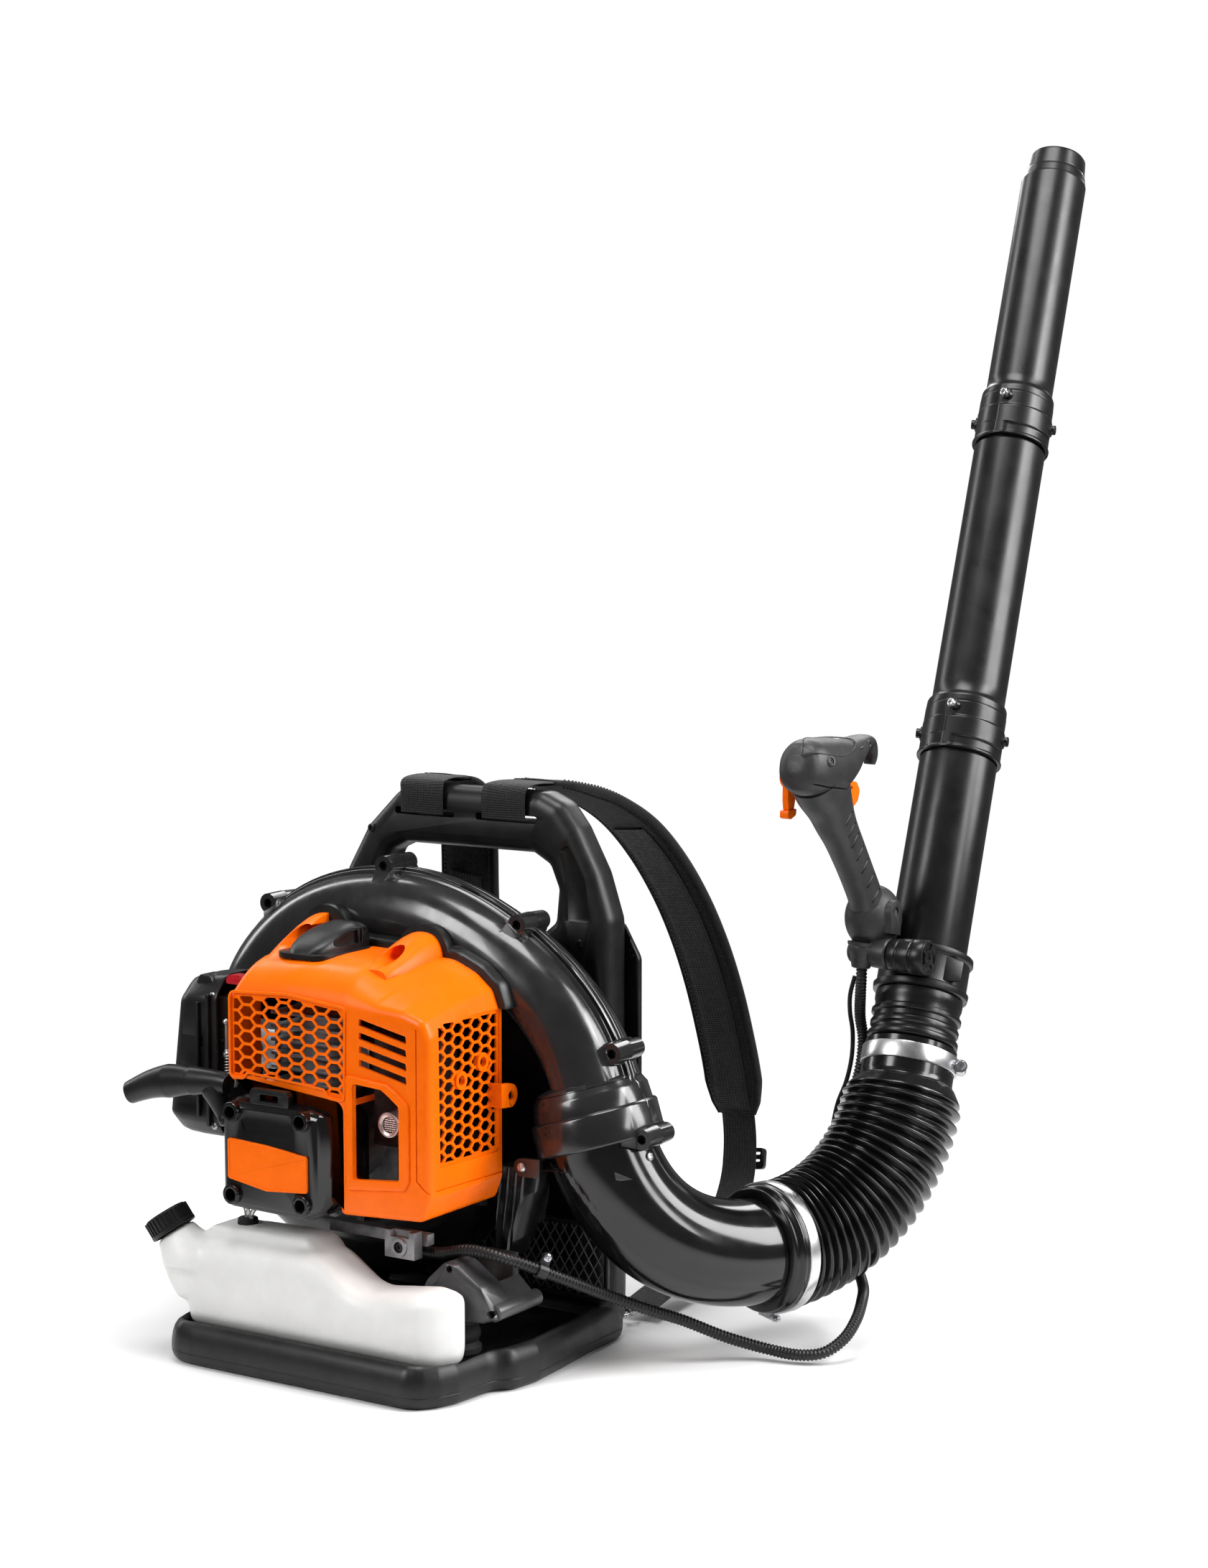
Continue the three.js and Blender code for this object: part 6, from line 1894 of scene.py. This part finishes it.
rope_line = resample(np.array([
    ROPE_EXIT + np.array([9.5, 0, -5.5]), ROPE_EXIT - ROPE_DIR * 0.5 + np.array([1.2, 0, 0]),
    ROPE_EXIT + ROPE_DIR * 3, ROPE_EXIT + ROPE_DIR * 12]), 60)
cord = rope(rope_line, 2.1, 5)
dress(cord, "starter_rope", fabric("starter_rope", base=(0.035, 0.035, 0.035), kind="plain"))
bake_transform(cord)

# ================================================================ air filter and choke
filter_outline = fillet([(-60, 200), (-48, 184), (0, 180), (12, 192), (12, 312), (-4, 330),
                         (-44, 330), (-60, 312)], [14, 14, 14, 14, 16, 16, 16, 16], 7)
air_filter = stack(filter_outline, [
    (0, -146.6), (0, -150), (0.0, -176), (0.8, -192), (2.6, -201), (6.0, -207), (11, -209.6),
    (14, -209.8)], "x")
minus(air_filter, stack(offset(filter_outline, 2.4), [(0, -140), (0, -185), (5, -203),
                                                      (10, -206.5)], "x"))
# groove near the rim and three notches in the -Y side
minus(air_filter, box(-154.6, -62.6, 196, -153.4, -58.6, 314))
for z in (212, 240, 268):
    minus(air_filter, box(-200, -66, z, -164, -59.0, z + 10))
bevel(air_filter, 0.7, 2, angle=44)
for v in air_filter.data.vertices:  # the cover is shallower towards its top and bottom
    x, y, z = (c / MM for c in v.co)
    if x < -158:
        keep = 1 - 0.34 * smooth(z, 230, 334) - 0.10 * (1 - smooth(z, 180, 215))
        v.co[0] = (-158 + (x + 158) * keep) * MM
    if z > 300:
        v.co[2] += 0.0045 * (x + 210) / 64 * (1 if x > -210 else 0)
air_filter.data.update()
done(air_filter, "filter_cover", SATIN, angle=42,
     replaces="air_filter_cover")
knob = lathe([(0, 12.5), (3, 12.4), (6.2, 10.6), (6.5, 0.1)], (-202.4, -24, 238), -X_AXIS, 40)
for a in turn(10):
    y, z = -24 + 13.2 * math.cos(a), 238 + 13.2 * math.sin(a)
    minus(knob, rod((-202, y, z), (-215, y, z), 2.2, 14))
minus(knob, box(-215, -25, 232, -208.2, -23, 244))
minus(knob, box(-230, -60, 200, -209.95, 20, 320))
done(knob, "filter_knob", SATIN, angle=36)

choke = rod((-131, -43.6, 300), (-131, -36.4, 300), 5.0, 36)
plus(choke, plate([(-134.6, 300), (-127.4, 300), (-128.6, 330), (-133.4, 330)], 1, 3,
                  "y", -42.6, -37.8))
tab = plate([(-141, 327.8), (-121, 327.8), (-121, 332), (-124, 336), (-138, 336),
             (-141, 332)], 1.8, 4, "y", -51.8, -38.2)
for x in (-137, -133.6, -130.2, -126.8):
    minus(tab, box(x - 0.7, -60, 334.6, x + 0.7, -30, 340))
plus(choke, tab)
bevel(choke, 0.9, 2, angle=40)
done(choke, "choke_blade", RED, "choke", angle=42, replaces="choke_lever")
add_screw("choke_pivot", (-131, -43.5, 300), -Y_AXIS, 3.0, 1.4, ZINC, "cross", "choke")

# linkage, spring and fuel fitting between the filter cover and the engine cover
linkage = rod((-143, -50, 262), (-143, -50, 292), 2.2, 16)
plus(linkage, rod((-150, -47, 272), (-134, -47, 272), 2.8, 20), ball((-143, -50.5, 262), 3.8),
     ball((-143, -50.5, 292), 3.4),
     plate([(-147, 276), (-137, 276), (-134, 288), (-139, 291), (-147, 289)], 2, 4,
           "y", -49, -46.6))
done(linkage, "throttle_linkage", ZINC, angle=40)
spring = np.array([(-139 + 3.3 * math.cos(a), -53 + 3.3 * math.sin(a), 244 + a * 0.42)
                   for a in np.linspace(0, 2 * math.pi * 9, 260)])
done(tube(spring, 0.55, 8), "return_spring", STEEL, angle=80)
done(lathe([(0, 4.6), (3, 4.6), (3.4, 3.0), (6, 2.4), (7, 3.1), (8.4, 2.2), (11, 2.0)],
           (-137, -46, 236), (-0.2, -0.9, 0.1), 28), "fuel_fitting", ALLOY, angle=40)
for k, (z0, z1) in enumerate(((196, 318), (204, 310))):
    done(plate(rect(-157 - 12 * k, z0, -153.4 - 12 * k, z1), 1.4, 3, "y", -63.4, -59),
         f"filter_rib_{k}", SATIN, edge=0.8)
done(plate([(-176, 318), (-160, 318), (-158, 326), (-162, 333), (-174, 333), (-178, 326)],
           3, 4, "y", -50, -30), "filter_latch", SATIN, edge=1.2)
for k, z in enumerate((196, 316)):
    add_screw(f"filter_screw_{k}", (-152, -56.5, z), -Y_AXIS, 3.6, 2.2, ZINC, "cross")

# ================================================================ fuel tank
# the tank is where its front view (x, z) and its plan (x, y) overlap
tank_front = fillet([(-134, 27.5), (-141, 60), (-140, 92), (-128, 107), (8, 113), (20, 108),
                     (50, 88), (62, 85), (120, 93), (146, 88), (152, 70), (151, 44),
                     (143, 27.5)], [8, 30, 22, 20, 30, 24, 24, 24, 30, 22, 22, 22, 8], 8)
tank_plan = fillet([(-140, -112), (-128, -124), (122, -124), (136, -112), (146, -92),
                    (143, -74), (92, -72), (60, -69), (-120, -62), (-140, -74)],
                   [16, 16, 22, 20, 20, 14, 12, 12, 12, 14], 7)
tank = stack(tank_front, [
    (16, -124.2), (10.5, -123.2), (6.2, -120.8), (2.8, -117), (0.8, -112), (0, -106), (0, -80),
    (0.8, -74), (3, -69), (7, -65), (12, -62)], "y")
boolean(tank, stack(tank_plan, [(7, 27.4), (3.2, 28.8), (1.0, 33), (0, 40), (0, 140)]),
        "INTERSECT")
plus(tank, plate([(-134, 98), (-120, 119), (-10, 122), (10, 108)], [2, 10, 10, 4], 6,
                 "y", -106, -63))
NECK_DIR = unit([-0.55, -0.12, 0.82])
NECK = np.array([-136, -108, 84.0])
neck = lathe([(-24, 27), (-14, 28.2), (-4, 28), (6, 26.4), (14, 24.2), (20, 22.4), (22.5, 20),
              (32, 19.4)], NECK, NECK_DIR, 64)
minus(neck, box(-220, -200, 0, -60, -126, 82))
plus(tank, neck)
remesh = tank.modifiers.new("r", "REMESH")
remesh.mode = "VOXEL"
remesh.voxel_size = 0.0020
remesh.adaptivity = 0.0
bake(tank)
relax = tank.modifiers.new("s", "SMOOTH")
relax.factor = 0.7
relax.iterations = 34
bake(tank)
for v in tank.data.vertices:  # gentle swell along the front
    x, y, z = (c / MM for c in v.co)
    if y < -80 and 30 < z < 100 and -136 < x < 140:
        v.co[1] -= 0.35 * math.exp(-((z - 62) / 9.0) ** 2) * MM
tank.data.update()
done(tank, "milky_tank", TANK, angle=180, replaces="fuel_tank")

cap_base = NECK + NECK_DIR * 32.5
fuel_cap = lathe([(0, 20.8), (0.8, 21.5), (3.4, 21.6), (4.4, 20.4), (16.5, 20.0),
                  (18.2, 18.6), (18.7, 16.4), (16.4, 15.2), (16.2, 0.1)], cap_base, NECK_DIR,
                 120)
minus(fuel_cap, rod(NECK + NECK_DIR * 22, NECK + NECK_DIR * 47, 19.2, 64))
x, y, _ = frame_of(NECK_DIR)
teeth = []
for a in turn(30):
    d = x * math.cos(a) + y * math.sin(a)
    teeth.append(slab(cap_base, np.cross(NECK_DIR, d), d, NECK_DIR,
                      [(-1.15, 19.2), (1.15, 19.2), (0.62, 21.35), (-0.62, 21.35)], 4.0, 17.0))
plus(fuel_cap, merge(*teeth))
plus(fuel_cap, slab(cap_base, x, y, NECK_DIR, fillet(rect(-15, -3, 15, 3), 2.4, 4), 14.6, 18.4))
done(fuel_cap, "knurled_cap", SATIN, "cap", angle=34,
     replaces="fuel_cap")

grommet = lathe([(0, 13.6), (1.2, 14.0), (4.2, 13.8), (5.2, 11.4), (6.4, 9.6), (12.6, 9.0),
                 (13.4, 7.8), (13.5, 0.1)], (-92, -84, 112), Z_AXIS, 56)
minus(grommet, rod((-92, -84, 106), (-92, -84, 112.1), 16, 24))
done(grommet, "grommet_boot", RUBBER, replaces="fuel_grommet")
fuel_line = catmull([(-92, -84, 113), (-92, -84, 122), (-94, -83, 131), (-107, -74, 142),
                     (-113, -52, 172), (-118, -28, 215), (-120, -22, 251.4)], 160)
done(tube(fuel_line, 2.8, 20), "clear_fuel_line", CLEAR, angle=80,
     replaces="fuel_line")
return_line = catmull([(-86.5, -86, 124), (-85, -87, 130), (-80, -84, 137), (-70, -76, 141),
                       (-60, -66, 142)], 60)
done(tube(return_line, 2.2, 16), "return_line", CLEAR, angle=80)

# ================================================================ exhaust tip
TIP_X, TIP_Z, TIP_BORE = 66, 228, 7.3
tip = lathe([(0, 13.4), (1.2, 13.4), (1.4, 10.4), (24, 10.4), (26.4, 11.2), (27.5, 11.0),
             (27.6, 9.4), (26.2, 7.4)], (TIP_X, -56.4, TIP_Z), -Y_AXIS, 56)
minus(tip, rod((TIP_X, -60, TIP_Z), (TIP_X, -90, TIP_Z), TIP_BORE, 40))
done(tip, "exhaust_tip", EXHAUST, angle=36, replaces="exhaust_outlet")
screen = []
for k in range(-3, 4):
    off = k * 1.9
    h = math.sqrt(max(0, TIP_BORE ** 2 - off ** 2))
    x, z = TIP_X + off, TIP_Z + off
    screen.append(rod((x, -80.6, TIP_Z - h), (x, -80.6, TIP_Z + h), 0.34, 8))
    screen.append(rod((TIP_X - h, -81.0, z), (TIP_X + h, -81.0, z), 0.34, 8))
done(merge(*screen), "spark_screen", EXHAUST)

# ================================================================ throttle conduits
lower_line = catmull([
    (60, -38, 107), (94, -48, 111), (128, -50, 119), (160, -43, 115), (192, -4, 93),
    (212, 36, 72), (236, 70, 54), (254, 97, 41), (281, 126, 23), (309, 152, 10), (338, 157, 8),
    (358, 166, 11), (368, 184, 20), (368, 208, 32), (360, 235, 44), (338, 276, 46),
    (303, 318, 62), (280, 338, 96), (275, 345, 140)], 900)
upper_line = catmull([
    (275.2, 345.2, 141.5), (278, 352, 186), (287, 361, 222), (288.5, 366, 254),
    (289.5, 358, 277), (296.5, 345, 300), (300.5, 339, 318), (301.5, 338, 330)], 340)


def conduit(line, which, r=5.4, pitch=3.4):
    """Ribbed tube with six rings to a rib."""
    part = tube(resample(line, int(lengths(line)[-1] / pitch * 6)),
                lambda t, k: r - 1.05 + 1.05 * (0.5 + 0.5 * math.cos(2 * math.pi * (k % 6) / 6)),
                20)
    dress(part, f"conduit_{which}", CONDUIT)
    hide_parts(f"throttle_conduit_{which}")
    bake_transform(part)


conduit(lower_line, "lower")
conduit(upper_line, "upper")
sheath_line = [p + np.array([-9.6, -2.0, 0]) for p in upper_line[8:-40:40]] + [(291, 344, 318)]
sheath = tube(catmull(sheath_line, 160), 2.1, 14)
done(sheath, "stop_wire_sheath", RUBBER, None, angle=80)
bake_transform(sheath)
done(lathe([(-2, 5.2), (0, 7.0), (9, 7.0), (10, 5.6), (14, 5.5)], lower_line[4],
           lower_line[14] - lower_line[4], 32), "conduit_ferrule", SATIN)

# P-clip round the lower conduit, its tab upward and its screw on the -Y side
CLIP_AT = 178
c = lower_line[CLIP_AT]
t = unit(lower_line[CLIP_AT + 3] - lower_line[CLIP_AT - 3])
up = square_to(Z_AXIS, t)
side = np.cross(t, up)
clip_part = lathe([(-4.4, 5.6), (-4.4, 7.0), (4.4, 7.0), (4.4, 5.6)], c, t, 40)
minus(clip_part, rod(c - t * 8, c + t * 8, 5.65, 40))
plus(clip_part, slab(c, t, up, side, fillet(rect(-4.4, 5.8, 4.4, 17), [0.5, 0.5, 3.5, 3.5], 4),
                     -1.4, 1.4))
bevel(clip_part, 0.35, 2, angle=40)
done(clip_part, "conduit_p_clip", SATIN, replaces="conduit_clip")
add_screw("clip_screw", c + up * 12.4 + side * 1.3, side, 3.8, 2.0, ZINC, "cross")

# ================================================================ finishes of the CAD pieces
FINISH = {
    "crankshaft": ALLOY, "flywheel": CAST, "fan_impeller": SATIN, "connecting_rod": ALLOY,
    "piston": ALLOY, "cylinder": CAST, "crankcase": CAST, "muffler": SOOT,
    "carburettor": ALLOY, "starter_reel": SATIN}
# for other names, the first word found in the name decides
FINISH_BY_WORD = (
    ("crank", CAST), ("cylinder", CAST), ("piston", ALLOY), ("rod", ALLOY), ("fly", CAST),
    ("impeller", SATIN), ("carb", ALLOY), ("muffler", EXHAUST), ("filter", FOAM),
    ("reel", SATIN), ("primer", CLEAR), ("bracket", BRACKET), ("screw", BLACK_SCREW),
    ("hook", STEEL), ("strap", WEBBING), ("pad", AIR_MESH), ("cover", SATIN), ("cap", SATIN),
    ("tank", TANK), ("clamp", STEEL), ("lever", ORANGE), ("trigger", ORANGE))


def finish_for(name):
    if name in FINISH:
        return FINISH[name]
    return next((material for word, material in FINISH_BY_WORD if word in name), SATIN)


for name, obj in NODES.items():
    obj.data.materials.clear()
    obj.data.materials.append(finish_for(name))
    for p in obj.data.polygons:
        p.use_smooth = True
    weld = obj.modifiers.new("weld", "WELD")
    weld.merge_threshold = 0.00002
    rounding = obj.modifiers.new("round", "BEVEL")
    rounding.width = 0.0006
    rounding.segments = 2
    rounding.limit_method = "ANGLE"
    rounding.angle_limit = math.radians(38)
    rounding.harden_normals = True
    obj.data.set_sharp_from_angle(angle=math.radians(38))


# ================================================================ studio
def pale_floor():
    """Pale matt floor that runs out to plain white some way from the machine."""
    m = Mat("floor_pale")
    color = m.mix(m.ramp(m.noise(scale=1.2, detail=3), lo=0, hi=1), (0.84, 0.84, 0.84),
                  (0.86, 0.86, 0.86))
    m.feed(m.bsdf, Base_Color=color, Roughness=0.8, Specular_IOR_Level=0.15)
    geometry = m.node("ShaderNodeNewGeometry")
    distance = m.node("ShaderNodeVectorMath", operation="DISTANCE")
    m.link(geometry.outputs["Position"], distance.inputs[0])
    distance.inputs[1].default_value = (0.1, 0.1, 0)
    far = m.node("ShaderNodeMapRange", interpolation_type="SMOOTHSTEP")
    m.feed(far, From_Min=0.45, From_Max=1.25, Value=distance.outputs["Value"])
    glow = m.node("ShaderNodeEmission")
    path = m.node("ShaderNodeLightPath")
    # plain white to the camera, dim to every other ray
    m.feed(glow, Strength=m.ramp(path.outputs["Is Camera Ray"], lo=0.15, hi=1.0, a=0, b=1))
    blend = m.node("ShaderNodeMixShader")
    for k, source in enumerate((far, m.bsdf, glow)):
        m.link(source.outputs[0], blend.inputs[k])
    m.link(blend.outputs[0], m.out.inputs[0])
    return m.material


floor_material = pale_floor()
floor = box(-9000, -9000, -30, 9000, 9000, -0.4)
floor.name = floor.data.name = "floor"
floor.data.materials.append(floor_material)
floor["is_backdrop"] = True


def studio_world():
    """White behind the machine, and a weak white fill light."""
    world = bpy.data.worlds.new("studio")
    SCENE.world = world
    world.use_nodes = True
    nodes, links = world.node_tree.nodes, world.node_tree.links
    nodes.clear()
    out = nodes.new("ShaderNodeOutputWorld")
    mixer = nodes.new("ShaderNodeMixShader")
    path = nodes.new("ShaderNodeLightPath")
    links.new(path.outputs["Is Camera Ray"], mixer.inputs[0])
    for k, strength in ((1, 0.15), (2, 1.0)):  # lighting, then what the camera sees
        background = nodes.new("ShaderNodeBackground")
        background.inputs[0].default_value = (1, 1, 1, 1)
        background.inputs[1].default_value = strength
        links.new(background.outputs[0], mixer.inputs[k])
    links.new(mixer.outputs[0], out.inputs[0])


studio_world()
AIM = Vector((0.09, 0.10, 0.42))
RIGHT, FORWARD, UP = Vector(VIEW_RIGHT), Vector((-0.5416, 0.8339, -0.1063)), Vector((0, 0, 1))


def area_light(name, place, rotation, wide, tall, watts):
    light = bpy.data.lights.new(name, "AREA")
    light.shape = "RECTANGLE"
    light.size, light.size_y, light.energy = wide, tall, watts
    obj = bpy.data.objects.new(name, light)
    SCENE.collection.objects.link(obj)
    obj.location = place
    obj.rotation_euler = rotation


def softbox(name, place, wide, tall, watts):
    area_light(name, place, (AIM - place).to_track_quat("-Z", "Y").to_euler(), wide, tall, watts)


def tube_strip(name, degrees, distance, wide, tall, watts):
    """Strip light whose reflection runs the length of the blowing tubes, degrees round them."""
    middle = Vector(along(520) * MM)
    t = Vector(TUBE)
    view = (Vector(CAMERA_PLACE) - middle).normalized()
    normal = (view - t * view.dot(t)).normalized()
    side = t.cross(normal)
    a = math.radians(degrees)
    normal = normal * math.cos(a) + side * math.sin(a)
    bounce = 2 * normal.dot(view) * normal - view
    z = bounce.normalized()
    y = (t - z * t.dot(z)).normalized()
    area_light(name, middle + bounce * distance,
               Matrix((y.cross(z), y, z)).transposed().to_euler(), wide, tall, watts)


softbox("key_right", AIM + RIGHT * 2.2 - FORWARD * 0.3 + UP * 1.0, wide=0.8, tall=1.5, watts=46)
softbox("fill_left", AIM - RIGHT * 1.9 - FORWARD * 1.3 + UP * 1.2, wide=0.8, tall=1.3, watts=40)
softbox("top", AIM + UP * 2.2 - FORWARD * 0.2, wide=1.2, tall=1.0, watts=40)
softbox("back_rim", AIM + FORWARD * 1.8 + UP * 1.4 + RIGHT * 0.6, wide=1.6, tall=0.6, watts=20)
tube_strip("strip_right", degrees=24, distance=2.3, wide=0.50, tall=2.8, watts=50)
tube_strip("strip_left", degrees=-52, distance=2.3, wide=0.35, tall=2.6, watts=18)

lens = bpy.data.cameras.new("camera")
camera = bpy.data.objects.new("camera", lens)
SCENE.collection.objects.link(camera)
camera.location = CAMERA_PLACE
camera.rotation_euler = (math.radians(83.9), 0, math.radians(33))
lens.sensor_width, lens.lens = 36, 69.23
lens.clip_end = 60
SCENE.camera = camera

END_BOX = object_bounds()


def plainlist(b):
    return [list(map(float, r)) if hasattr(r, "__len__") else float(r) for r in b]


{"cad": plainlist(CAD_BOX), "visual": plainlist(END_BOX)}
